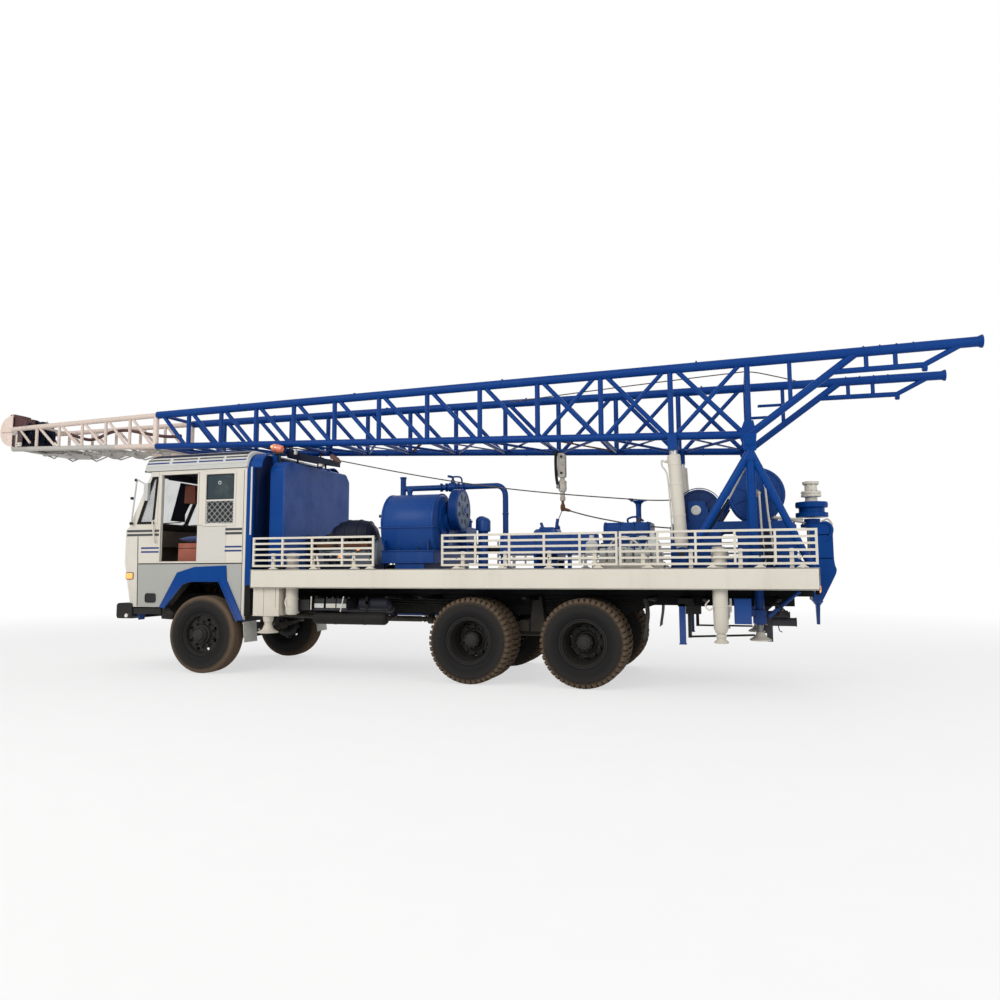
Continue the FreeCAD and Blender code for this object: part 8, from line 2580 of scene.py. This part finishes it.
def jackFoot(blank, x, y, radius, finish, rod, top):
    s = jackShape
    blank.use(finish).turned(at(x, y, s["foot"]), upward,
        [(0, radius * 0.96), (0.004, radius), (0.014, radius), (0.022, radius * 0.9),
        (0.045, radius * 0.58), (0.075, rod + 0.014), (0.095, rod + 0.01), (0.1, rod)], 44)
    blank.use(finish if rod > 0.04 else dullSteel).rod(at(x, y, s["foot"] + 0.09), at(x, y, top),
        rod, sides=32)


def makeJackLegs():
    s = jackShape
    for side, word in sideName.items():
        for name, y, radius, finish, rod, top in (("front", s["y"], 0.139, creamPaint, 0.049,
                1.33), ("rear", s["y"], 0.08, creamPaint, 0.046, 1.6),
                ("tail", s["tailY"], 0.122, creamPaint, 0.036, 1.33)):
            blank = Blank()
            jackFoot(blank, s[name]["x"], side * y, radius, finish, rod, top)
            blank.made(f"{name}_jack_foot_{word}", f"{name}_jack_leg_{word}", bevel=0.001,
                stands=(f"{name}_jack_{word}",))


def makeJackHousings():
    s = jackShape
    for side, word in sideName.items():
        blank = Blank().use(creamPaint)
        x, y = s["front"]["x"], side * s["y"]
        # front: wide folded casing up to the board, cone neck
        blank.block(at(0.795, side * 0.985, 0.79), at(1.188, side * 1.166, 1.158))
        for seam in (0.955, 1.135):
            blank.use(sealRubber).block(at(seam, side * 1.16, 0.795),
                at(seam + 0.005, side * 1.1672, 1.156))
        blank.use(creamPaint)
        blank.block(at(1.09, side * 0.985, 0.786), at(1.192, side * 1.17, 0.9))
        blank.block(at(0.79, side * 0.983, 0.786), at(1.192, side * 1.168, 0.797))
        blank.turned(at(x, y, 0.702), upward, [(0, 0.0505), (0, 0.058), (0.012, 0.062),
            (0.075, 0.074), (0.09, 0.074), (0.09, 0.0505)], 44, closed=True)
        blank.turned(at(x, y, 1.15), upward, [(0, 0.08), (0.2, 0.08), (0.206, 0.06), (0.21, 0.0)],
            36)
        # second upright cylinder beside it, which also stands above the deck
        blank.turned(at(1.315, side * 1.05, 0.8), upward,
            [(0, 0.05), (0.01, 0.07), (0.05, 0.082), (0.2, 0.082), (0.202, 0.088), (0.225, 0.088),
            (0.227, 0.082), (0.358, 0.082)], 44)
        blank.turned(at(1.315, side * 1.05, deckTop), upward,
            [(0, 0.1), (0.014, 0.1), (0.016, 0.08), (0.17, 0.08), (0.172, 0.088), (0.196, 0.088),
            (0.198, 0.078), (0.225, 0.072), (0.232, 0.04), (0.236, 0.0)], 44)
        blank.rod(at(1.3, side * 1.03, 0.83), at(1.3, side * 0.86, 0.83), 0.02, sides=14)
        blank.use(darkSteel).block(at(1.29, side * railFace, 0.86), at(1.54, side * 0.98, 1.0))
        # rear: long barrel with a clamp ring and a drawn-in lower end
        x, low = s["rear"]["x"], s["rear"]["low"]
        blank.use(creamPaint).turned(at(x, y, low), upward,
            [(0, 0.0505), (0, 0.058), (0.012, 0.064), (0.05, 0.08), (0.29, 0.083), (0.292, 0.0875),
            (0.312, 0.0875), (0.314, 0.083), (0.88, 0.083), (0.882, 0.0875), (0.92, 0.0875),
            (0.923, 0.083), (0.955, 0.08), (0.968, 0.066), (0.972, 0.03), (0.972, 0.0505)], 48,
            closed=True)
        blank.use(dullSteel).turned(at(x, y, 1.64), upward,
            [(0, 0.05), (0.006, 0.02), (0.009, 0.0)], 16)
        blank.use(creamPaint).block(at(x + 0.07, y - 0.012, 0.968),
            at(x + 0.118, y + 0.012, 0.986))
        blank.use(chassisPaint).block(at(x - 0.07, side * railFace, 0.9),
            at(x + 0.07, side * 1.01, 1.055))
        # tail: slim blue cylinder through a square guide
        x, y, low = s["tail"]["x"], side * s["tailY"], s["tail"]["low"]
        blank.use(bluePaint).turned(at(x, y, low), upward,
            [(0, 0.0375), (0, 0.05), (0.01, 0.053), (0.6, 0.053), (0.604, 0.05), (0.605, 0.0375)],
            36, closed=True)
        blank.block(at(x - 0.076, y - 0.074, 0.757), at(x + 0.072, y + 0.074, 0.912))
        blank.block(at(x - 0.06, side * railFace, 0.96), at(x + 0.06, side * 0.6, 1.052))
        for px in (-0.055, 0.055):
            blank.use(darkSteel).rod(at(x + px, y + side * 0.074, 0.835),
                at(x + px, y + side * 0.08, 0.835), 0.01, sides=6)
        blank.use(rustyPaint).turned(at(x + 0.062, y - 0.06, 0.742), upward,
            [(0, 0.012), (0.004, 0.02), (0.014, 0.02), (0.018, 0.01)], 12)
        stands = ("jack_housings",) if side < 0 else ()
        blank.made(f"jack_casings_{word}", "truck", bevel=0.003, stands=stands)


# chassis
railShape = {"inner": 0.35, "outer": 0.43, "wall": 0.009, "top": 1.058, "front": -1.178,
    "rear": 7.65, "profile": [(-1.178, 0.86), (-0.95, 0.802), (5.62, 0.802), (6.02, 0.945),
    (7.65, 0.945)]}
cardanPaint = vehiclePaint("driveline_black", shade(20, 20, 22), shade(52, 46, 40), gloss=0.55,
    dirt=0.25, shine=0.2)


def makeChassis():
    s = railShape
    blank = Blank().use(chassisPaint)
    outline = list(s["profile"]) + [(s["rear"], s["top"]), (s["front"], s["top"])]
    for side in (-1, 1):
        web = side * (s["outer"] - s["wall"] / 2)
        blank.cut([outline], s["wall"], sideFlat(web))
        inner, outer = sorted((side * s["inner"], side * s["outer"]))
        blank.block(at(s["front"], inner, s["top"] - s["wall"]), at(s["rear"], outer, s["top"]))
        for ends in zip(s["profile"], s["profile"][1:]):
            blank.loft([[at(x, inner, z), at(x, outer, z), at(x, outer, z + s["wall"]),
                at(x, inner, z + s["wall"])] for x, z in ends])
        blank.use(darkSteel)
        for i in range(46):  # rivets and bolts along the web
            x = -1.05 + i * 0.185
            for z in (0.99, 0.88) if x < 5.6 else (1.01, 0.975):
                blank.turned(at(x, side * s["outer"], z), (0, side, 0),
                    [(0, 0.01), (0.004, 0.009), (0.006, 0.004), (0.0065, 0.0)], 8)
        blank.use(chassisPaint)
        for x, low in ((-0.595, 0.66), (0.595, 0.66)):  # spring hangers
            blank.loft([[at(x - 0.055, side * y, 0.9), at(x + 0.055, side * y, 0.9),
                at(x + 0.03, side * y, low), at(x - 0.03, side * y, low)]
                for y in (railFace, 0.447)])
    for x in (-1.13, 0.49, 1.55, 2.7, 3.43, 4.55, 5.68, 6.55, 7.58):
        low = 0.95 if x > 6 else 0.905
        blank.use(chassisPaint)
        for px in (-0.032, 0.026):
            blank.block(at(x + px, -0.42, low), at(x + px + 0.006, 0.42, 1.05))
        blank.block(at(x - 0.032, -0.42, low), at(x + 0.032, 0.42, low + 0.006))
    # stay posts hanging behind the last wheel, tied back to the tail by a thin bar
    for side in (-1, 1):
        y = side * 0.9
        blank.use(bluePaint).block(at(6.352, y - 0.03, 0.5205), at(6.424, y + 0.03, 0.99))
        blank.block(at(6.346, y - 0.036, 0.5205), at(6.43, y + 0.036, 0.534))
        blank.use(chassisPaint)
        blank.block(at(6.45, y - 0.026, 0.6), at(6.49, y + 0.026, 1.0))
        blank.block(at(6.34, side * railFace, 0.955), at(6.5, side * 0.93, 1.05))
        blank.block(at(6.43, side * 0.8, 0.872), at(6.6, side * 0.95, 0.97))
        blank.rod(at(6.47, y, 0.612), at(7.185, side * 0.7, 0.626), 0.012, sides=12)
        blank.use(navyPaint).block(at(7.322, side * 0.56, 0.548), at(7.388, side * 0.63, 0.9))
        blank.turned(at(7.385, side * 0.6, 0.775), rearward,
            [(0, 0.048), (0.255, 0.048), (0.257, 0.054), (0.266, 0.054), (0.268, 0.03)], 32)
        blank.use(blackTrim).block(at(7.47, side * 0.56, 0.825), at(7.56, side * 0.64, 0.905))
        blank.use(bluePaint).rod(at(7.345, side * 0.64, 0.835), at(7.69, side * 0.64, 1.13), 0.024,
            sides=20)
    blank.use(bluePaint).block(at(6.967, -1.02, 0.77), at(7.155, -0.83, 1.056))
    blank.block(at(6.972, -1.024, 0.776), at(7.15, -1.018, 1.05))
    blank.use(latticePaint).block(at(6.918, -1.03, 0.9), at(6.944, -1.0, 1.056))
    return blank.made("chassis_rails", "truck", bevel=0.002, stands=("chassis_frame",))


def makeSprings():
    blank = Blank().use(cardanPaint)

    def leaf(x, y, base, half, wall, curl, rise):
        loops = []
        for i in range(17):
            t = -1 + i / 8
            z = base + curl * (t * half) ** 2 + rise
            loops.append([at(x + t * half, y - 0.0445, z), at(x + t * half, y + 0.0445, z),
                at(x + t * half, y + 0.0445, z + wall), at(x + t * half, y - 0.0445, z + wall)])
        blank.loft(loops)

    for side in (-1, 1):
        y = side * 0.39
        for i in range(7):
            leaf(0.0, y, 0.5645 - i * 0.014, 0.62 * (1 - 0.8 * i / 7), 0.0125, 0.16, 0.0)
        for x in (-0.595, 0.595):
            blank.turned(at(x, y - 0.046, 0.632), rightward, [(0, 0.028), (0.092, 0.028)], 20)
            blank.block(at(x - 0.022, y - 0.045, 0.63), at(x + 0.022, y - 0.034, 0.802))
            blank.block(at(x - 0.022, y + 0.034, 0.63), at(x + 0.022, y + 0.045, 0.802))
        for x in (-0.075, 0.075):
            for py in (-0.052, 0.052):
                blank.use(darkSteel).rod(at(x, y + py, 0.45), at(x, y + py, 0.612), 0.009,
                    sides=10)
            blank.use(cardanPaint).rod(at(x, y - 0.052, 0.606), at(x, y + 0.052, 0.606), 0.009,
                sides=10)
        blank.block(at(-0.1, y - 0.055, 0.58), at(0.1, y + 0.055, 0.598))
        y = side * 0.48
        for i in range(9):
            leaf(4.555, y, 0.602 + i * 0.016, 0.76 * (1 - 0.8 * i / 9), 0.0145, 0.0, 0.0)
        for x in (-0.26, 0.26):
            blank.block(at(4.555 + x - 0.02, y - 0.05, 0.598),
                at(4.555 + x + 0.02, y + 0.05, 0.722))
        foot, head = (y - 0.044, y + 0.044), sorted((side * 0.436, y + side * 0.04))
        blank.loft([[at(front, low, z), at(rear, low, z), at(rear, high, z), at(front, high, z)]
            for front, rear, (low, high), z in ((4.465, 4.645, foot, 0.745),
            (4.5, 4.61, head, 1.05))])
        for x in (-0.1, 0.1):
            for py in (-0.052, 0.052):
                blank.use(darkSteel).rod(at(4.555 + x, y + py, 0.585), at(4.555 + x, y + py, 0.77),
                    0.01, sides=10)
            blank.use(cardanPaint)
    return blank.made("leaf_spring_packs", "truck", bevel=0.001, stands=("leaf_springs",))


def makeAxles():
    blank = Blank().use(cardanPaint)
    for x in (3.85, 5.26):
        blank.turned(at(x, -0.7, 0.525), rightward, [(-0.05, 0.039), (0.0, 0.04), (0.0, 0.066),
            (0.2, 0.072), (0.42, 0.076), (0.5, 0.1), (0.56, 0.15), (0.62, 0.18), (0.7, 0.192),
            (0.78, 0.18), (0.84, 0.15), (0.9, 0.1), (0.98, 0.076), (1.2, 0.072), (1.4, 0.066),
            (1.4, 0.04), (1.45, 0.039)], 44)
        blank.use(darkSteel)
        blank.bolts(at(x + 0.15, 0, 0.525), rearward, 0.105, 10, 0.01, 0.012)
        blank.use(cardanPaint)
        blank.turned(at(x - 0.16, 0, 0.545), (-1, 0, 0.03),
            [(-0.1, 0.12), (0.0, 0.1), (0.06, 0.07), (0.1, 0.06), (0.102, 0.072), (0.118, 0.072),
            (0.12, 0.03)], 32)
        for side in (-1, 1):  # brake chambers and slack arms
            blank.turned(at(x + 0.12, side * 0.56, 0.6), (0.3, side, 0.2),
                [(0, 0.03), (0.004, 0.072), (0.03, 0.078), (0.034, 0.083), (0.042, 0.083),
                (0.046, 0.078), (0.08, 0.066), (0.085, 0.03)], 28)
            blank.turned(at(x, side * 0.655, 0.525), (0, side, 0),
                [(0, 0.1), (0.006, 0.15), (0.014, 0.15), (0.018, 0.1)], 36)

    def cardan(start, end, radius):
        a, b = at(*start), at(*end)
        way = (b - a).normalized()
        long = (b - a).length
        blank.turned(a, way, [(0, 0.056), (0.012, 0.056), (0.016, 0.034), (0.05, 0.038),
            (0.085, 0.032), (0.1, radius), (long - 0.12, radius), (long - 0.1, 0.032),
            (long - 0.06, 0.038), (long - 0.016, 0.034), (long - 0.012, 0.056), (long, 0.056)], 28)
        for spot in (a + way * 0.055, b - way * 0.055):
            up = way.orthogonal().normalized()
            blank.rod(spot - up * 0.048, spot + up * 0.048, 0.014, sides=12)

    cardan((0.345, 0, 0.74), (1.58, 0, 0.705), 0.04)
    cardan((1.66, 0, 0.702), (2.86, 0, 0.7), 0.04)
    cardan((2.92, 0, 0.7), (3.6, 0, 0.56), 0.042)
    cardan((4.05, 0, 0.535), (4.98, 0, 0.545), 0.038)
    for x in (1.62, 2.89):
        blank.turned(at(x - 0.035, 0, 0.702), rearward,
            [(0, 0.05), (0.004, 0.068), (0.066, 0.068), (0.07, 0.05)], 28)
        blank.use(chassisPaint)
        for side in (-1, 1):
            blank.loft([[at(x - 0.02, side * far, low), at(x + 0.02, side * far, low),
                at(x + 0.02, side * near, high), at(x - 0.02, side * near, high)]
                for far, low, near, high in ((0.062, 0.7, 0.05, 0.72), (0.2, 0.91, 0.185, 0.92))])
        blank.block(at(x - 0.03, -0.345, 0.9), at(x + 0.03, 0.345, 0.955))
        blank.use(cardanPaint)
    return blank.made("driven_axles_and_shafts", "truck", bevel=0.002, stands=("rear_axles",))


def makeFrontBeam():
    blank = Blank().use(cardanPaint)
    loops = []
    for i in range(33):  # forged I beam that dips between the spring seats
        y = -0.79 + 1.58 * i / 32
        far = max(0.0, abs(y) - 0.46) / 0.33
        z = 0.44 + 0.02 * min(1.0, far) ** 2
        flange, web, tall = 0.043, 0.012, 0.04 - 0.004 * far
        loops.append([at(px, y, z + pz) for px, pz in ((-flange, -tall), (flange, -tall),
            (flange, -tall + 0.016), (web, -tall + 0.024), (web, tall - 0.024),
            (flange, tall - 0.016), (flange, tall), (-flange, tall), (-flange, tall - 0.016),
            (-web, tall - 0.024), (-web, -tall + 0.024), (-flange, -tall + 0.016))])
    blank.loft(loops)
    for side in (-1, 1):
        blank.turned(at(0, side * 0.87, 0.463), upward,
            [(0, 0.0225), (0, 0.046), (0.006, 0.0495), (0.119, 0.0495), (0.125, 0.046),
            (0.125, 0.0225)], 32, closed=True)
        blank.loft([[at(x, side * y, z) for x, z in oblong(-0.036, low, 0.036, high)]
            for y, low, high in ((0.74, 0.41, 0.5), (0.835, 0.466, 0.584))])
        blank.block(at(-0.1, side * 0.335, 0.462), at(0.1, side * 0.445, 0.4795))
    return blank.made("front_axle_beam", "truck", bevel=0.002, stands=("front_axle",))


enginePaint = vehiclePaint("truck_engine_grey", shade(58, 60, 62), shade(74, 66, 58), gloss=0.6,
    dirt=0.3)


def makeTruckEngine():
    blank = Blank().use(enginePaint)
    blank.loft([[at(x, y * w, z) for y, z in ((-0.13, 0.625), (0.13, 0.625), (0.17, 0.7),
        (0.2, 0.84), (0.2, 1.02), (-0.2, 1.02), (-0.2, 0.84), (-0.17, 0.7))]
        for x, w in ((-0.7, 0.96), (-0.68, 1.0), (-0.12, 1.0), (-0.1, 0.96))])
    blank.loft([[at(x, y, z) for y, z in ((-0.15, 1.02), (0.15, 1.02), (0.12, 1.2), (-0.12, 1.2))]
        for x in (-0.68, -0.12)])
    for i in range(6):
        x = -0.63 + i * 0.09
        blank.use(enginePaint).block(at(x, -0.125, 1.195), at(x + 0.075, 0.125, 1.236), 0.008)
        for side in (-1, 1):
            blank.use(rustyPaint).curve([at(x + 0.035, side * 0.14, 1.12),
                at(x + 0.035, side * 0.22, 1.11), at(x + 0.035, side * 0.25, 1.03)], 0.022, 10, 4)
    blank.use(rustyPaint)
    for side in (-1, 1):
        blank.turned(at(-0.66, side * 0.25, 1.01), rearward,
            [(0, 0.02), (0.01, 0.035), (0.52, 0.035), (0.53, 0.02)], 20)
    blank.use(enginePaint).turned(at(-0.11, 0, 0.8), rearward,
        [(0, 0.175), (0.02, 0.18), (0.1, 0.17), (0.16, 0.135), (0.36, 0.12), (0.38, 0.135),
        (0.4, 0.135), (0.41, 0.06), (0.435, 0.055)], 36)
    blank.use(darkSteel).turned(at(-0.7, 0, 0.8), forward,
        [(0, 0.06), (0.02, 0.1), (0.05, 0.1), (0.055, 0.04)], 32)
    for k in range(6):
        turn = k * math.pi / 3
        out = Vector((0, math.cos(turn), math.sin(turn)))
        hub = at(-0.775, 0, 0.94)
        blank.use(blackTrim).square(hub + out * 0.04, hub + out * 0.24, 0.075, 0.008, (1, 0.5, 0))
    blank.rod(at(-0.79, 0, 0.94), at(-0.7, 0, 0.94), 0.045, sides=20)
    blank.use(blackTrim).block(at(-0.819, -0.298, 0.7), at(-0.795, 0.298, 1.235))
    for i in range(24):
        y = -0.285 + i * 0.0248
        blank.use(dullSteel).block(at(-0.8195, y, 0.72), at(-0.8185, y + 0.004, 1.22))
    return blank.made("truck_engine_and_gearbox", "truck", bevel=0.003, stands=("truck_engine",))


# side tanks, silencer, batteries
def makeSideTanks():
    blank = Blank().use(chassisPaint)
    axis = at(1.632, -1.0, 0.766)  # long silencer on the left
    blank.turned(axis, rearward, [(0, 0.03), (0.006, 0.06), (0.03, 0.079), (0.05, 0.083),
        (0.3, 0.083), (0.302, 0.086), (0.33, 0.086), (0.332, 0.083), (0.72, 0.083), (0.722, 0.086),
        (0.75, 0.086), (0.752, 0.083), (1.01, 0.083), (1.03, 0.079), (1.052, 0.06), (1.058, 0.03)],
        48)
    blank.curve([at(1.66, -0.98, 0.77), at(1.62, -0.92, 0.78), at(1.62, -0.8, 0.8),
        at(1.6, -0.55, 0.82), at(1.4, -0.3, 0.84)], 0.036, 18)
    blank.curve([at(2.67, -1.0, 0.766), at(2.7, -0.98, 0.77), at(2.7, -0.9, 0.78),
        at(2.7, -0.78, 0.8)], 0.03, 18)
    for x in (1.95, 2.37):
        blank.block(at(x, -1.0, 0.845), at(x + 0.035, -0.985, 1.045))
        blank.block(at(x, -1.0, 0.95), at(x + 0.035, -railFace, 0.985))
    blank.use(navyPaint).block(at(1.66, -1.1, 0.868), at(2.16, -0.8, 0.89))
    for i, x in enumerate((1.675, 1.845, 2.0)):
        blank.use(blackTrim).block(at(x, -1.09, 0.888), at(x + 0.145, -0.82, 1.02), 0.003)
        blank.use(latticePaint if i != 1 else doorPaint).block(at(x + 0.004, -1.094, 0.9),
            at(x + 0.141, -1.088, 0.955))
        for px in (0.03, 0.11):
            blank.use(dullSteel).turned(at(x + px, -0.96, 1.02), upward,
                [(0, 0.012), (0.014, 0.01), (0.016, 0.0)], 12)
    blank.use(navyPaint)  # air reservoirs lying behind
    for x, y, z, long in ((1.75, -0.62, 0.9, 0.86), (2.22, -0.88, 0.955, 0.46)):
        blank.turned(at(x, y, z), rearward, [(0, 0.02), (0.012, 0.055), (0.035, 0.078),
            (0.06, 0.082), (long - 0.06, 0.082), (long - 0.035, 0.078), (long - 0.012, 0.055),
            (long, 0.02)], 36)
    blank.use(creamPaint)
    blank.rod(at(2.13, -1.14, 1.05), at(2.085, -1.14, 0.855), 0.008, sides=10)
    blank.rod(at(1.66, -1.14, 1.05), at(1.655, -1.14, 0.875), 0.008, sides=10)
    # fuel tank on the right with its straps and filler
    blank.use(bluePaint)
    section = roundedBox((0.772, 0.688), (1.146, 1.036), 0.07, 6)
    blank.loft([[at(x, (y - 0.959) * w + 0.959, (z - 0.862) * w + 0.862) for y, z in section]
        for x, w in ((1.626, 0.95), (1.634, 0.99), (1.645, 1.0), (2.675, 1.0), (2.686, 0.99),
        (2.694, 0.95))])
    for x in (1.86, 2.44):
        strap = grown(section, 0.003)
        blank.use(chassisPaint).loft([[at(x + dx, y, z) for y, z in strap] for dx in (0, 0.05)])
        blank.block(at(x, railFace, 0.82), at(x + 0.05, 0.78, 0.9))
    blank.use(darkSteel).turned(at(1.76, 1.06, 1.033), upward,
        [(0, 0.045), (0.004, 0.045), (0.006, 0.038), (0.014, 0.038), (0.016, 0.0)], 28)
    return blank.made("silencer_batteries_and_fuel_tank", "truck", bevel=0.003,
        stands=("side_tanks",))


def makeTailFittings():
    blank = Blank()
    for side in (-1, 1):
        y = side * 1.01
        blank.use(chassisPaint).block(at(7.845, side * 0.86, 1.1), at(7.862, side * 1.16, 1.24))
        for k, finish in enumerate((redLens, amberLens)):
            blank.use(finish).turned(at(7.86, side * (0.95 + 0.12 * k), 1.17), rearward,
                [(-0.002, 0.046), (0.012, 0.045), (0.022, 0.036), (0.026, 0.0)], 28)
        # mud flaps behind the last wheels
        loops = []
        for i in range(9):
            t = i / 8
            bend = 0.018 * math.sin(math.pi * t * 1.4)
            loops.append([at(5.98 + bend, side * 0.8, 1.03 - 0.44 * t),
                at(5.98 + bend, side * 1.19, 1.03 - 0.44 * t),
                at(5.987 + bend, side * 1.19, 1.03 - 0.44 * t),
                at(5.987 + bend, side * 0.8, 1.03 - 0.44 * t)])
        blank.use(hoseRubber).loft(loops)
        blank.use(chassisPaint).block(at(5.975, side * 0.43, 1.015), at(5.995, side * 1.195, 1.05))
        # pipes and cables along the rail
        for k, z in enumerate((0.93, 0.965, 1.0)):
            points = []
            for i in range(31):
                t = i / 30
                points.append(at(0.9 + 5.0 * t, side * (0.442 + 0.004 * (k % 2)),
                    z + 0.008 * math.sin(t * 22 + k)))
            blank.use(hoseRubber).tube(points, 0.009, 8)
    blank.use(latticePaint).block(at(7.852, -0.74, 1.125), at(7.858, -0.48, 1.225))
    for side in (-1, 1):  # pale flaps behind the front wheels, hung from the cab's rear post
        blank.use(latticePaint).loft([[at(x, side * y, z), at(x + 0.008, side * y, z),
            at(x + 0.008, side * (y + 0.3), z + rise), at(x, side * (y + 0.3), z + rise)]
            for x, y, z, rise in ((0.6, 0.8, 0.705, 0.0), (0.612, 0.8, 0.56, 0.0),
            (0.63, 0.81, 0.42, 0.006))])
        blank.use(darkSteel).block(at(0.588, side * 0.55, 0.7), at(0.612, side * 1.11, 0.735))
    blank.use(chassisPaint)
    for x in (1.75, 2.75, 3.2, 4.55, 6.05, 6.65, 7.45):  # outriggers that carry the deck edge
        for side in (-1, 1):
            blank.loft([[at(x + dx, side * y, z) for dx, z in oblong(-0.02, low, 0.02, 1.056)]
                for y, low in ((railFace, 0.99), (1.17, 1.035))])
    blank.use(whiteHose)
    blank.curve([at(1.26, -1.1, 1.03), at(1.265, -1.13, 0.97), at(1.3, -1.14, 0.9),
        at(1.36, -1.12, 0.86)], 0.011, 10)
    blank.curve([at(6.7, -1.1, 1.04), at(6.66, -1.13, 0.98), at(6.7, -1.14, 0.93),
        at(6.745, -1.13, 0.96)], 0.01, 10)
    blank.use(hoseRubber)
    blank.curve([at(7.36, -0.66, 0.94), at(7.42, -0.7, 0.98), at(7.5, -0.71, 0.93),
        at(7.56, -0.66, 0.86)], 0.011, 10)
    blank.curve([at(7.45, -0.62, 0.73), at(7.46, -0.63, 0.68), at(7.49, -0.63, 0.66)], 0.006, 8)
    return blank.made("tail_lamps_flaps_and_lines", "truck", bevel=0.0015)


makeJackLegs()
makeJackHousings()
makeChassis()
makeSprings()
makeAxles()
makeFrontBeam()
makeTruckEngine()
makeSideTanks()
makeTailFittings()
print("underside ready")


print("model ready")
